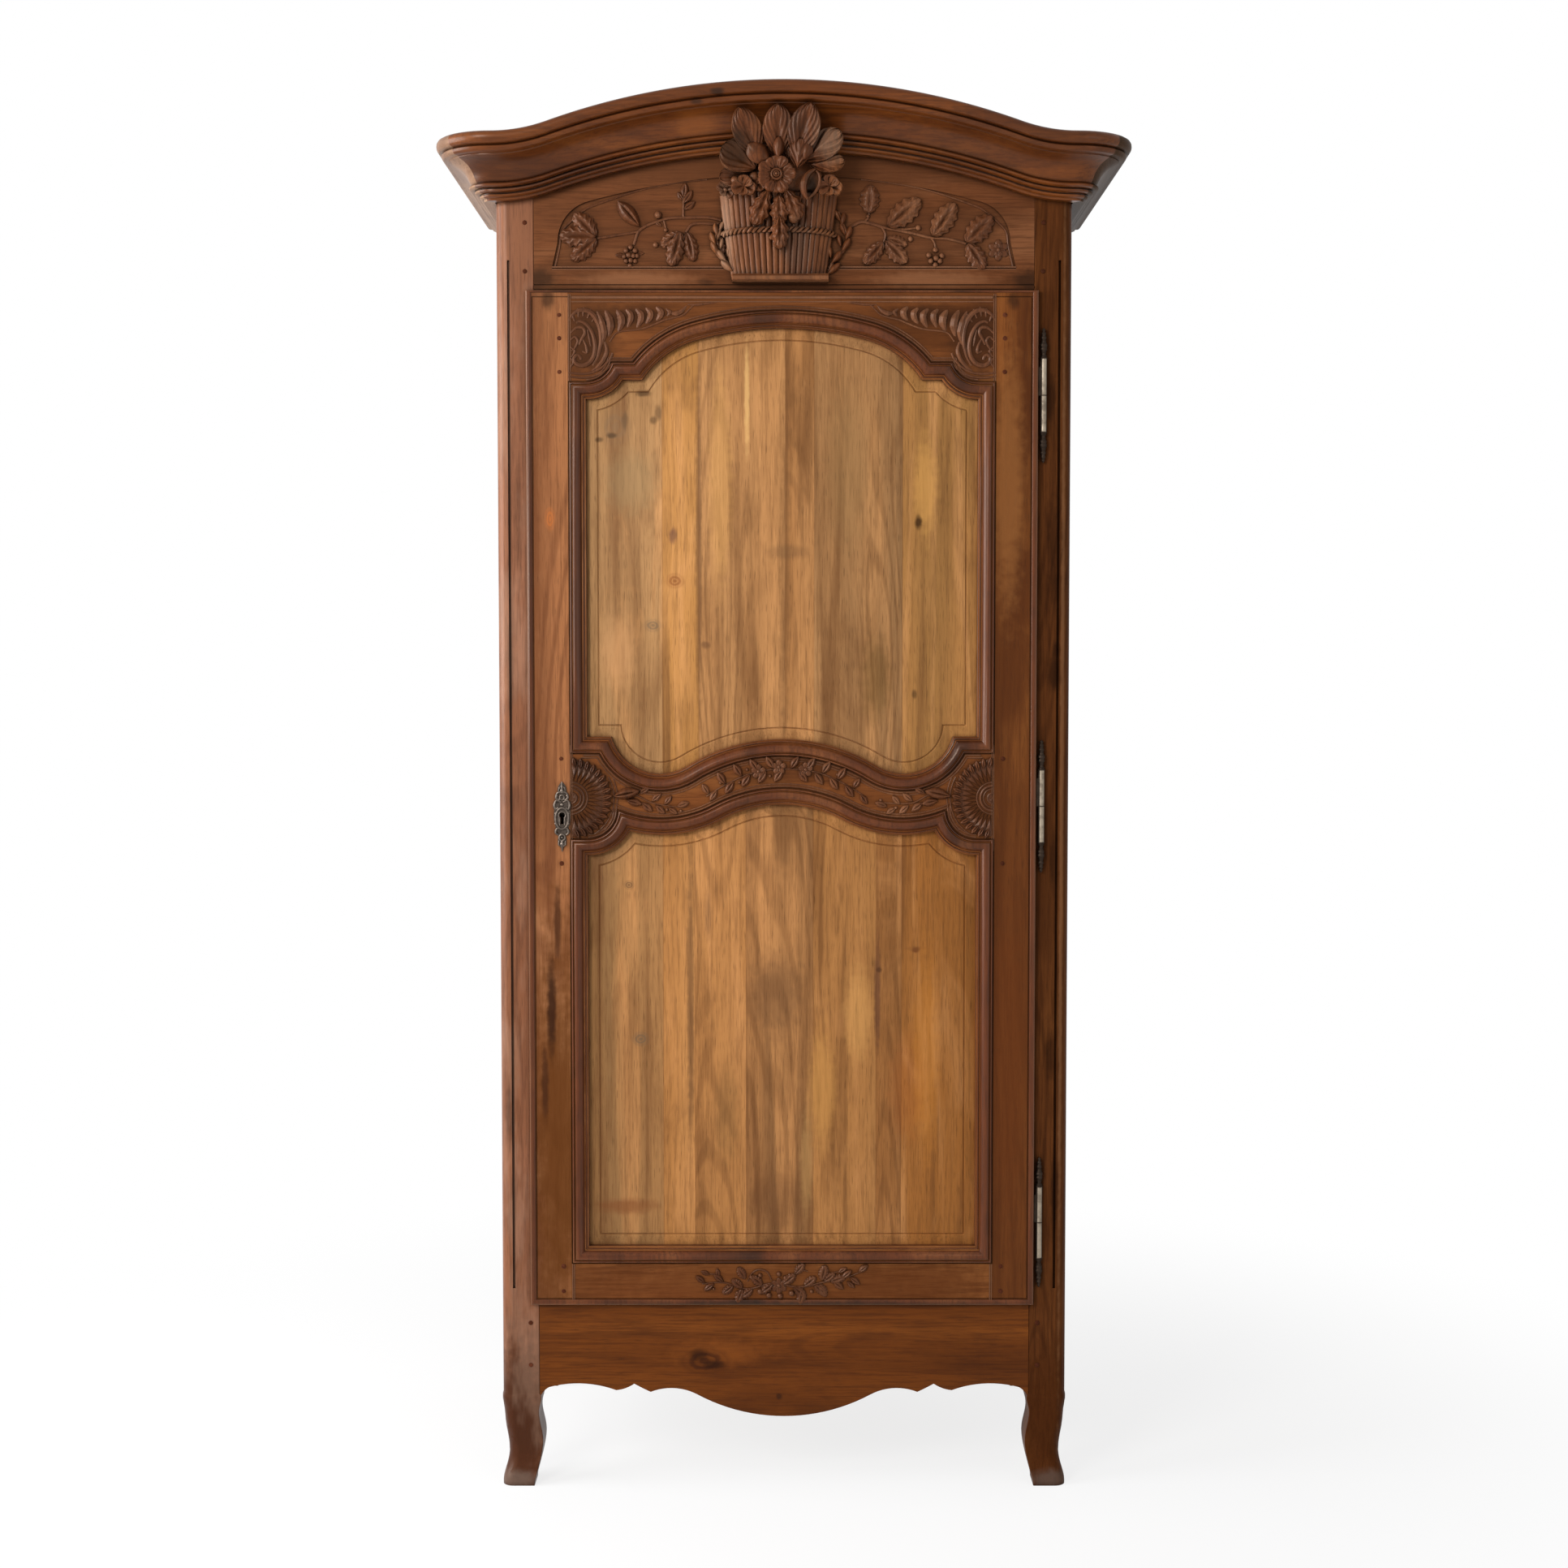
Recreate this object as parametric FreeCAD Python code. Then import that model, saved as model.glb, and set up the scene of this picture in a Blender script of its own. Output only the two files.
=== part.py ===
import FreeCAD
import Part
import math
import os

# Tall one-door wardrobe in frame-and-panel work with a carved frieze and an arched cornice.
# Millimetres. The origin is on the floor, under the middle of the overall box.
# +X is to the right, the front faces -Y and +Z is up.

V = FreeCAD.Vector

# Overall sizes
HEIGHT = 2200.0
BODY_WIDTH = 900.0
BODY_DEPTH = 550.0

# Cornice
CORNICE_REACH = 90.0
CORNICE_DROP = 92.0
CORNICE_RISE = 77.0
CORNICE_CROWN_SHARE = 0.808
CORNICE_CORNER_RADIUS = 3.0
TORUS_HEIGHT = 20.0
TORUS_BULGE = 6.0
BAND_HEIGHT = 10.0
BAND_STEP = 4.0
COVE_LIP = 6.0
COVE_RADIUS = 38.0
BEAD_HEIGHT = 7.0
BEAD_BULGE = 2.5
BEAD_STEP = 8.0
CORNICE_CAP_GAP = 14.0

# Posts and legs
POST_FACE = 60.0
POST_DEPTH = 60.0
REAR_POST_FACE = 45.0
REAR_POST_DEPTH = 45.0
POST_NOSE_RADIUS = 18.0
POST_EDGE_RADIUS = 2.0
LEG_HEIGHT = 150.0
POST_GROOVE_WIDTH = 4.0
POST_GROOVE_DEPTH = 5.0
POST_GROOVE_FOOT = 16.0
POST_GROOVE_HEAD = 56.0
# Each row: height, outer inset and inner inset of the leg, as shares of leg height and post face.
LEG_SHARES = (
    (0.00, -0.010, 0.150),
    (0.10, 0.010, 0.110),
    (0.22, 0.095, 0.030),
    (0.34, 0.140, -0.035),
    (0.50, 0.105, -0.070),
    (0.68, 0.045, 0.000),
    (0.84, 0.010, 0.015),
    (1.00, 0.000, 0.005),
)

# Frieze board over the door, measured down from the crest of the cornice
FRIEZE_HEIGHT = 314.0
FRIEZE_THICK = 28.0
FRIEZE_BEAD_LOW = 10.0
FRIEZE_BEAD_HEIGHT = 7.0
FRIEZE_LINE_WIDTH = 2.0
FRIEZE_LINE_DEPTH = 2.0
FIELD_SINK = 3.0
FIELD_LOW = 43.0
FIELD_HEIGHT = 145.0
# Sizes across the sunk field, as shares of the doorway half-width
FIELD_CROWN_RADIUS_SHARE = 2.949
FIELD_CROWN_REACH_SHARE = 0.782
FIELD_SHOULDER_RADIUS_SHARE = 0.167
FIELD_FOOT_SHARE = 0.928

# Apron under the door
DOORWAY_SILL = 304.0
APRON_THICK = 25.0
APRON_LOW = 113.0
APRON_LOBE_RISE = 45.5
APRON_EDGE_RISE = 54.0
# Radii of the scalloped edge, and its run beyond the hollow, as shares of the doorway half-width
# and of the rise of the edge
APRON_LOBE_RADIUS_SHARE = 0.744
APRON_HOLLOW_RADIUS_SHARE = 0.228
APRON_CUSP_SHARE = 0.546
APRON_TAIL_SHARES = (
    ((0.582, 0.852), (0.613, 0.972)),
    ((0.638, 0.870), (0.687, 0.778)),
    ((0.830, 0.981), (0.962, 0.870)),
    ((0.987, 0.722), (1.000, 0.556)),
)

# Side and back framing
SIDE_RAIL_THICK = 25.0
SIDE_SETBACK = 3.0
TOP_RAIL_HEIGHT = 100.0
MIDDLE_RAIL_LOW = 1060.0
MIDDLE_RAIL_HEIGHT = 90.0
BOTTOM_RAIL_LOW = 165.0
SIDE_PANEL_THICK = 10.0
SIDE_PANEL_INSET = 7.0
SIDE_GROOVE_DEPTH = 10.0
SIDE_FIELD_MARGIN = 12.0
SIDE_FIELD_SLOPE = 30.0
SIDE_FIELD_RISE = 5.0
BACK_RAIL_THICK = 22.0
BACK_BOARD_THICK = 12.0
BACK_BOARD_COUNT = 5
BACK_BOARD_OVERLAP = 40.0
PANEL_SLACK = 1.0
BOARD_GAP = 1.0

# Floor, roof, shelf and hanging rail
FLOOR_THICK = 20.0
FLOOR_BOARD_COUNT = 3
BATTEN_WIDTH = 20.0
BATTEN_HEIGHT = 25.0
ROOF_THICK = 15.0
ROOF_BOARD_COUNT = 3
ROOF_DROP = 23.0
SHELF_DROP = 226.0
SHELF_THICK = 20.0
SHELF_FRONT_GAP = 6.0
RAIL_RADIUS = 14.0
RAIL_DROP = 45.0
RAIL_CLEARANCE = 0.1
RAIL_END_GAP = 3.0
RAIL_BLOCK_WIDTH = 60.0
RAIL_BLOCK_THICK = 24.0
RAIL_BLOCK_WALL = 12.0

# Door
DOOR_THICK = 28.0
DOOR_PROUD = 10.0
LIP_BACK_GAP = 0.5
DOOR_GAP = 2.0
LIP_OVER_LOCK_SIDE = 12.0
LIP_OVER_HINGE_SIDE = 6.0
LIP_OVER_HEAD = 8.0
LIP_OVER_SILL = 8.0
STILE_WIDTH = 92.0
LIP_LINE_IN = 9.0
LIP_LINE_WIDTH = 2.0
LIP_LINE_DEPTH = 1.5

# Moulding round each door panel, measured outward from the sight edge of the panel
MOULD_WIDTH = 27.0
MOULD_QUIRK_WIDTH = 2.0
MOULD_QUIRK_DEPTH = 2.0
MOULD_RISE = 3.0
MOULD_OUTER_SLOPE = 4.0
MOULD_CREST_WIDTH = 5.0
MOULD_SINK = 5.0

# Door panels
DOOR_PANEL_THICK = 8.0
DOOR_PANEL_BACK = 5.0
DOOR_GROOVE_DEPTH = 11.0
DOOR_FIELD_MARGIN = 4.0
DOOR_FIELD_IN = 19.0
DOOR_FIELD_RISE = 4.0

# Arched top of the upper panel: least height of the top rail, then shares of the panel half-width
HEAD_RAIL_LEAST = 57.0
HEAD_CREST_RADIUS_SHARE = 1.629
HEAD_CREST_REACH_SHARE = 0.433
HEAD_SHOULDER_RADIUS_SHARE = 0.495
HEAD_LEDGE_SHARE = 0.261
HEAD_EAR_SHARE = 0.358
HEAD_EAR_RADIUS_SHARE = 0.218
EAR_FLAT = 2.0

# Middle rail: level and height at its crest, then its two wavy edges as shares of the panel half-width
CROSSRAIL_LEVEL = 1144.0
CROSSRAIL_HEIGHT = 102.0
CROWN_RADIUS_SHARE = 0.928
TROUGH_RADIUS_SHARE = 0.261
TROUGH_OUT_SHARE = 0.625
CROWN_LEDGE_SHARE = 0.013
ARCH_RADIUS_SHARE = 0.651
ARCH_TROUGH_RADIUS_SHARE = 0.651
ARCH_TROUGH_OUT_SHARE = 0.619
ARCH_EAR_SHARE = 0.261
ARCH_EAR_RADIUS_SHARE = 0.238

# Bottom rail
BOTTOM_RAIL_HEIGHT = 93.0

# Hinges
HINGE_FROM_HEAD = 154.0
HINGE_UNDER_CROSSRAIL = 54.0
HINGE_FROM_SILL = 124.0
HINGE_AXIS_OUT = 15.0
HINGE_AXIS_PROUD = 5.5
HINGE_BARREL_RADIUS = 5.0
HINGE_HALF_LENGTH = 58.0
HINGE_PIN_RADIUS = 2.5
HINGE_PIN_LENGTH = 30.0
HINGE_PIN_CLEARANCE = 0.05
HINGE_JOINT_GAP = 0.4
HINGE_LEAF_THICK = 2.5
HINGE_LEAF_LENGTH = 44.0
HINGE_LEAF_DEPTH = 30.0
HINGE_SLOT_CLEARANCE = 0.2
FINIAL_LENGTH = 46.0
FINIAL_NECK_RADIUS = 3.0
FINIAL_URN_RADIUS = 5.0
FINIAL_TIP_RADIUS = 2.0
# Places along the finial of its neck, urn, collar, button and tip, as shares of its length
FINIAL_SHARES = (0.12, 0.40, 0.62, 0.78, 0.90)

# Lock, keyhole and escutcheon
LOCK_UNDER_CROSSRAIL = 68.0
KEYHOLE_IN = 53.0
KEYHOLE_RADIUS = 4.5
KEYHOLE_SLOT_WIDTH = 5.0
KEYHOLE_SLOT_DROP = 14.0
ESCUTCHEON_WIDTH = 26.0
ESCUTCHEON_HEIGHT = 105.0
ESCUTCHEON_THICK = 1.5
# Waist of the plate, as shares of its half-width and half-height
ESCUTCHEON_BUD_SHARES = (0.50, 0.82)
ESCUTCHEON_WAIST_SHARES = (0.35, 0.60)
LOCK_CASE_LENGTH = 96.0
LOCK_CASE_HEIGHT = 70.0
LOCK_CASE_DEPTH = 14.0
LOCK_WALL = 1.5
LOCK_EDGE_GAP = 1.0
LOCK_SCREW_RADIUS = 2.0
LOCK_SCREW_HEAD_RADIUS = 4.0
LOCK_SCREW_HEAD = 1.5
LOCK_SCREW_LENGTH = 10.0
LOCK_EAR_LENGTH = 12.0
KEY_PIN_RADIUS = 1.5
BOLT_LENGTH = 70.0
BOLT_HEIGHT = 18.0
BOLT_THICK = 6.0
BOLT_RAISE = 17.0
BOLT_BACK_GAP = 2.5
BOLT_CLEARANCE = 0.3
BOLT_THROW = 12.0
TALON_WIDTH = 9.0
TALON_HEIGHT = 5.0
SPRING_THICK = 0.8
SPRING_WIDTH = 5.0
SPRING_LENGTH = 44.0
KEEP_THICK = 2.0
KEEP_MARGIN = 9.0
KEEP_DEPTH = 16.0
KEEP_CLEARANCE = 1.0

# Oak pegs through the joints
PEG_RADIUS = 3.5
PEG_LENGTH = 24.0
PEG_PROUD = 0.8
PEG_CLEARANCE = 0.05
DOOR_PEG_RADIUS = 3.0
DOOR_PEG_LENGTH = 18.0
POST_PEG_IN = 46.0
POST_PEGS_OVER_HEAD = (114.0, 39.0)
POST_PEGS_UNDER_SILL = (40.0, 108.0)
STILE_PEG_IN = 52.0
STILE_PEGS_UNDER_HEAD = (30.0, 66.0, 118.0)
STILE_PEGS_OVER_CROSSRAIL = (21.0, -144.0)
STILE_PEGS_OVER_SILL = (14.0, 54.0)

# Carved basket and its spray of leaves, with heights that are shares of the frieze height
BASKET_HEIGHT_SHARE = 0.4076
SPRAY_HEIGHT_SHARE = 0.4363
BASKET_FOOT_HALF = 73.0
BASKET_RIM_HALF = 92.0
BASKET_FOOT_RISE = 17.0
BASKET_FOOT_BULGE = 22.0
BASKET_RIM_BULGE = 34.0
BASKET_PLINTH_HALF = 78.0
BASKET_PLINTH_HEIGHT = 8.0
BASKET_PLINTH_REACH = 26.0
SPRAY_HALF = 98.0
SPRAY_REACH_LOW = 42.0
SPRAY_REACH_HIGH = 70.0
# Core behind the leaves: its shoulder and crown, as shares of the spray height and half-width
SPRAY_SHOULDER_SHARE = 0.62
SPRAY_CROWN_SHARES = (0.62, 0.90)
SPRAY_FOOT_SHARE = 0.90
LEAF_LENGTH = 74.0
LEAF_WIDTH = 34.0
LEAF_THICK = 7.0
LEAF_BELLY_SHARE = 0.55
LEAF_ROOT_RISE = 63.0
LEAF_TURNS = (-38.0, -6.0, 24.0, 58.0)
LEAF_SPREAD = 40.0
ROSE_ASIDE = -12.0
ROSE_RISE = 31.0
ROSE_RADIUS = 33.0
ROSE_REACH = 56.0
ROSE_BOSS_RADIUS = 10.0
ROSE_BOSS_REACH = 62.0

# One overrun serves every cut
OVER = 5.0

# Places worked out from the sizes above
BODY_HALF = BODY_WIDTH / 2
Y_BACK = (BODY_DEPTH + CORNICE_REACH) / 2
Y_FACE = Y_BACK - BODY_DEPTH
DOORWAY_HALF = BODY_HALF - POST_FACE
DOORWAY_HEAD = HEIGHT - FRIEZE_HEIGHT
CORNICE_SIDE_TOP = HEIGHT - CORNICE_RISE
POST_TOP = CORNICE_SIDE_TOP - CORNICE_CAP_GAP
Y_SIDE_FRONT = Y_FACE + POST_DEPTH
Y_SIDE_BACK = Y_BACK - REAR_POST_DEPTH
REAR_INNER = BODY_HALF - REAR_POST_FACE
ROOF_TOP = CORNICE_SIDE_TOP - ROOF_DROP
ROOF_UNDER = ROOF_TOP - ROOF_THICK
SHELF_TOP = DOORWAY_HEAD - SHELF_DROP
SIDE_OUT = BODY_HALF - SIDE_SETBACK
SIDE_IN = SIDE_OUT - SIDE_RAIL_THICK
SIDE_PANEL_OUT = SIDE_OUT - SIDE_PANEL_INSET
SIDE_PANEL_IN = SIDE_PANEL_OUT - SIDE_PANEL_THICK
BACK_RAIL_FRONT = Y_BACK - BACK_RAIL_THICK
BACK_BOARD_FRONT = BACK_RAIL_FRONT - BACK_BOARD_THICK
DOOR_FACE = Y_FACE - DOOR_PROUD
DOOR_BACK = DOOR_FACE + DOOR_THICK
LIP_BACK = Y_FACE - LIP_BACK_GAP
LIP_LEFT = -DOORWAY_HALF - LIP_OVER_LOCK_SIDE
LIP_RIGHT = DOORWAY_HALF + LIP_OVER_HINGE_SIDE
LIP_TOP = DOORWAY_HEAD + LIP_OVER_HEAD
LIP_BOTTOM = DOORWAY_SILL - LIP_OVER_SILL
DOOR_MIDDLE = (LIP_LEFT + LIP_RIGHT) / 2
PANEL_HALF = (LIP_RIGHT - LIP_LEFT) / 2 - STILE_WIDTH
PANEL_BACK_FACE = DOOR_BACK - DOOR_PANEL_BACK
PANEL_FACE = PANEL_BACK_FACE - DOOR_PANEL_THICK
HEAD_CREST = LIP_TOP - HEAD_RAIL_LEAST
HEAD_LEDGE = HEAD_CREST - HEAD_LEDGE_SHARE * PANEL_HALF
HEAD_EAR = HEAD_CREST - HEAD_EAR_SHARE * PANEL_HALF
HEAD_EAR_RADIUS = HEAD_EAR_RADIUS_SHARE * PANEL_HALF
CROWN = CROSSRAIL_LEVEL + CROSSRAIL_HEIGHT / 2
CROWN_LEDGE = CROWN + CROWN_LEDGE_SHARE * PANEL_HALF
ARCH_CREST = CROSSRAIL_LEVEL - CROSSRAIL_HEIGHT / 2
ARCH_EAR = ARCH_CREST - ARCH_EAR_SHARE * PANEL_HALF
ARCH_EAR_RADIUS = ARCH_EAR_RADIUS_SHARE * PANEL_HALF
BOTTOM_SIGHT = LIP_BOTTOM + BOTTOM_RAIL_HEIGHT
HINGE_LEVELS = (
    DOORWAY_HEAD - HINGE_FROM_HEAD,
    CROSSRAIL_LEVEL - HINGE_UNDER_CROSSRAIL,
    DOORWAY_SILL + HINGE_FROM_SILL,
)
HINGE_X = DOORWAY_HALF + HINGE_AXIS_OUT
HINGE_Y = Y_FACE - HINGE_AXIS_PROUD
LOCK_LEVEL = CROSSRAIL_LEVEL - LOCK_UNDER_CROSSRAIL
LOCK_LEFT = -DOORWAY_HALF + DOOR_GAP + LOCK_EDGE_GAP
KEYHOLE_X = LIP_LEFT + KEYHOLE_IN
BOLT_LOW = LOCK_LEVEL + BOLT_RAISE - BOLT_HEIGHT / 2
BOLT_TOP = BOLT_LOW + BOLT_HEIGHT
BOLT_FRONT = DOOR_BACK + BOLT_BACK_GAP
BOLT_REAR = BOLT_FRONT + BOLT_THICK
BASKET_FOOT = DOORWAY_HEAD + BASKET_FOOT_RISE
BASKET_RIM = BASKET_FOOT + BASKET_HEIGHT_SHARE * FRIEZE_HEIGHT
SPRAY_HEIGHT = SPRAY_HEIGHT_SHARE * FRIEZE_HEIGHT
SPRAY_TOP = BASKET_RIM + SPRAY_HEIGHT

PARTS = {}


def box(low_x, high_x, low_y, high_y, low_z, high_z):
    """Block between two corners."""
    return Part.makeBox(high_x - low_x, high_y - low_y, high_z - low_z, V(low_x, low_y, low_z))


def mirrored(shape):
    """The same shape on the other side of the middle plane."""
    return shape.mirror(V(0, 0, 0), V(1, 0, 0))


def cut_all(shape, tools):
    """Shape with every tool cut away."""
    for tool in tools:
        shape = shape.cut(tool)
    return shape


def only_solid(shape):
    """The one solid of a boolean result, or the result itself when it has several."""
    return shape.Solids[0] if len(shape.Solids) == 1 else shape


def line(start, end):
    """Straight step of an outline, between two (x, z) points."""
    return ("line", start, end)


def arc(centre, radius, start, end):
    """Round step of under half a turn, between two (x, z) points on one circle."""
    lean = V((start[0] + end[0]) / 2 - centre[0], (start[1] + end[1]) / 2 - centre[1], 0)
    lean.normalize()
    middle = (centre[0] + radius * lean.x, centre[1] + radius * lean.y)
    return ("arc", start, middle, end)


def flipped(steps):
    """The same steps on the other side of the middle line, run backwards."""
    result = []
    for step in reversed(steps):
        points = tuple((-point[0], point[1]) for point in reversed(step[1:]))
        result.append((step[0],) + points)
    return result


def outline_wire(steps, depth, shift=0):
    """Closed wire of the steps in the plane y = depth, moved sideways by shift."""
    edges = []
    for step in steps:
        points = [V(point[0] + shift, depth, point[1]) for point in step[1:]]
        if step[0] == "line":
            edges.append(Part.LineSegment(*points).toShape())
        else:
            edges.append(Part.Arc(*points).toShape())
    return Part.Wire(edges)


def slab(steps, front, back, shift=0):
    """Board with the steps as its outline, from the depth front to the depth back."""
    face = Part.Face(outline_wire(steps, front, shift))
    return face.extrude(V(0, back - front, 0))


def slope(steps_a, depth_a, steps_b, depth_b, shift=0):
    """Solid that runs straight from one outline to another at a second depth."""
    wires = [outline_wire(steps_a, depth_a, shift), outline_wire(steps_b, depth_b, shift)]
    return Part.makeLoft(wires, True, True)


def polygon(points):
    """Straight steps round a list of (x, z) points."""
    closed = list(points) + [points[0]]
    return [line(start, end) for start, end in zip(closed, closed[1:])]


def circles_meet(centre_a, radius_a, centre_b, radius_b):
    """Upper crossing of two circles."""
    run = V(centre_b[0] - centre_a[0], centre_b[1] - centre_a[1], 0)
    apart = run.Length
    along = (radius_a ** 2 - radius_b ** 2 + apart ** 2) / (2 * apart)
    aside = math.sqrt(radius_a ** 2 - along ** 2)
    run.normalize()
    points = []
    for side in (aside, -aside):
        points.append((centre_a[0] + along * run.x - side * run.y, centre_a[1] + along * run.y + side * run.x))
    return points


def arch_steps(drop):
    """Arch of the cornice crown, from the left corner to the right, let down by drop."""
    reach = BODY_HALF - CORNICE_CORNER_RADIUS
    turn = 2 * math.atan(CORNICE_RISE / reach)
    crown_radius = CORNICE_CROWN_SHARE * reach / math.sin(turn)
    hollow_radius = reach / math.sin(turn) - crown_radius
    crown_centre = (0, HEIGHT - crown_radius - drop)
    hollow_centre = (reach, CORNICE_SIDE_TOP + hollow_radius - drop)
    top = (0, HEIGHT - drop)
    join = (crown_radius * math.sin(turn), crown_centre[1] + crown_radius * math.cos(turn))
    end = (reach, CORNICE_SIDE_TOP - drop)
    right = [arc(crown_centre, crown_radius, top, join), arc(hollow_centre, hollow_radius, join, end)]
    return flipped(right) + right


def cornice_profile():
    """Section of the cornice as (reach, height) steps, from the back top round to the back bottom."""
    torus_x = CORNICE_REACH - TORUS_BULGE
    band_x = torus_x - BAND_STEP
    cove_x = band_x - COVE_LIP
    z_torus = -TORUS_HEIGHT
    z_band = z_torus - BAND_HEIGHT
    z_cove = z_band - COVE_RADIUS
    foot_x = cove_x - COVE_RADIUS
    steps = [
        line((0, 0), (torus_x, 0)),
        ("arc", (torus_x, 0), (CORNICE_REACH, z_torus / 2), (torus_x, z_torus)),
        line((torus_x, z_torus), (band_x, z_torus)),
        line((band_x, z_torus), (band_x, z_band)),
        line((band_x, z_band), (cove_x, z_band)),
        arc((cove_x, z_cove), COVE_RADIUS, (cove_x, z_band), (foot_x, z_cove)),
    ]
    high = z_cove
    reach = foot_x
    while high - BEAD_HEIGHT >= -CORNICE_DROP:
        low = high - BEAD_HEIGHT
        steps.append(("arc", (reach, high), (reach + BEAD_BULGE, (high + low) / 2), (reach, low)))
        steps.append(line((reach, low), (reach - BEAD_STEP, low)))
        high = low
        reach = reach - BEAD_STEP
    steps.append(line((reach, high), (reach, -CORNICE_DROP)))
    steps.append(line((reach, -CORNICE_DROP), (0, -CORNICE_DROP)))
    steps.append(line((0, -CORNICE_DROP), (0, 0)))
    return steps


def profile_wire(along_x, start, high):
    """The cornice section stood up at the point start, with its reach along -Y, or +X at the side."""
    edges = []
    for step in cornice_profile():
        if along_x:
            points = [V(start.x + point[0], start.y, high + point[1]) for point in step[1:]]
        else:
            points = [V(start.x, start.y - point[0], high + point[1]) for point in step[1:]]
        if step[0] == "line":
            edges.append(Part.LineSegment(*points).toShape())
        else:
            edges.append(Part.Arc(*points).toShape())
    return Part.Wire(edges)


def make_cornice():
    """Arched front moulding and two straight returns, mitred at the round corners."""
    reach = BODY_HALF - CORNICE_CORNER_RADIUS
    turn_y = Y_FACE + CORNICE_CORNER_RADIUS
    path_edges = []
    for step in arch_steps(0):
        points = [V(point[0], Y_FACE, point[1]) for point in step[1:]]
        path_edges.append(Part.Arc(*points).toShape())
    sweep = Part.BRepOffsetAPI.MakePipeShell(Part.Wire(path_edges))
    sweep.setBiNormalMode(V(0, 0, 1))
    sweep.add(profile_wire(False, V(-reach, Y_FACE, 0), CORNICE_SIDE_TOP), False, False)
    sweep.build()
    sweep.makeSolid()
    run = sweep.shape()
    front_face = Part.Face(profile_wire(False, V(reach, Y_FACE, 0), CORNICE_SIDE_TOP))
    half_turn = front_face.revolve(V(reach, turn_y, 0), V(0, 0, 1), 45)
    PARTS["cornice_front"] = run.fuse(half_turn).fuse(mirrored(half_turn)).removeSplitter()
    side_face = Part.Face(profile_wire(True, V(BODY_HALF, turn_y, 0), CORNICE_SIDE_TOP))
    side_turn = side_face.revolve(V(reach, turn_y, 0), V(0, 0, 1), -45)
    side_run = side_face.extrude(V(0, Y_BACK - turn_y, 0))
    right = side_run.fuse(side_turn).removeSplitter()
    PARTS["cornice_return_right"] = right
    PARTS["cornice_return_left"] = mirrored(right)


def rounded_section(low_x, high_x, low_y, high_y, level, nose, edge):
    """Rectangle at a level, with a large radius at its front outer corner and small ones elsewhere."""
    corners = (
        (high_x, low_y, nose, -1, 1),
        (high_x, high_y, edge, -1, -1),
        (low_x, high_y, edge, 1, -1),
        (low_x, low_y, edge, 1, 1),
    )
    share = 1 - math.sqrt(0.5)
    starts = []
    ends = []
    middles = []
    for index, (x, y, radius, way_x, way_y) in enumerate(corners):
        on_x = V(x + way_x * radius, y, level)
        on_y = V(x, y + way_y * radius, level)
        middles.append(V(x + way_x * radius * share, y + way_y * radius * share, level))
        starts.append(on_x if index % 2 == 0 else on_y)
        ends.append(on_y if index % 2 == 0 else on_x)
    edges = []
    for index in range(len(corners)):
        edges.append(Part.Arc(starts[index], middles[index], ends[index]).toShape())
        follow = (index + 1) % len(corners)
        edges.append(Part.LineSegment(ends[index], starts[follow]).toShape())
    return Part.Wire(edges)


def turned_post(face_width, depth, front, nose, top, rear):
    """Right-hand post whose leg swells and draws in towards the foot."""
    inner = BODY_HALF - face_width
    wires = []
    for height, outer_share, inner_share in LEG_SHARES:
        out = BODY_HALF - outer_share * face_width
        inn = inner + inner_share * face_width
        near = front + (inner_share if rear else outer_share) * depth
        far = front + depth - (0 if rear else inner_share) * depth
        wires.append(rounded_section(inn, out, near, far, height * LEG_HEIGHT, nose, POST_EDGE_RADIUS))
    leg = Part.makeLoft(wires, True, False)
    section = rounded_section(inner, BODY_HALF, front, front + depth, LEG_HEIGHT, nose, POST_EDGE_RADIUS)
    shaft = Part.Face(section).extrude(V(0, 0, top - LEG_HEIGHT))
    return leg.fuse(shaft)


def side_grooves():
    """Grooves in the right-hand posts and rails that hold the two side panels."""
    tools = []
    for low, high in side_panel_levels():
        tools.append(box(
            SIDE_PANEL_IN, SIDE_PANEL_OUT,
            Y_SIDE_FRONT - SIDE_GROOVE_DEPTH, Y_SIDE_BACK + SIDE_GROOVE_DEPTH,
            low - SIDE_GROOVE_DEPTH, high + SIDE_GROOVE_DEPTH,
        ))
    return tools


def side_panel_levels():
    """Sight openings of the lower and upper side panels as (low, high)."""
    middle_top = MIDDLE_RAIL_LOW + MIDDLE_RAIL_HEIGHT
    return ((DOORWAY_SILL, MIDDLE_RAIL_LOW), (middle_top, ROOF_UNDER - TOP_RAIL_HEIGHT))


def peg_hole(radius, x, front, level, length):
    """Round hole for a peg, from the front."""
    return Part.makeCylinder(radius, length + OVER, V(x, front - OVER, level), V(0, 1, 0))


def post_peg_levels():
    """Heights of the pegs in each front post."""
    high = [DOORWAY_HEAD + rise for rise in POST_PEGS_OVER_HEAD]
    return high + [DOORWAY_SILL - drop for drop in POST_PEGS_UNDER_SILL]


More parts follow.
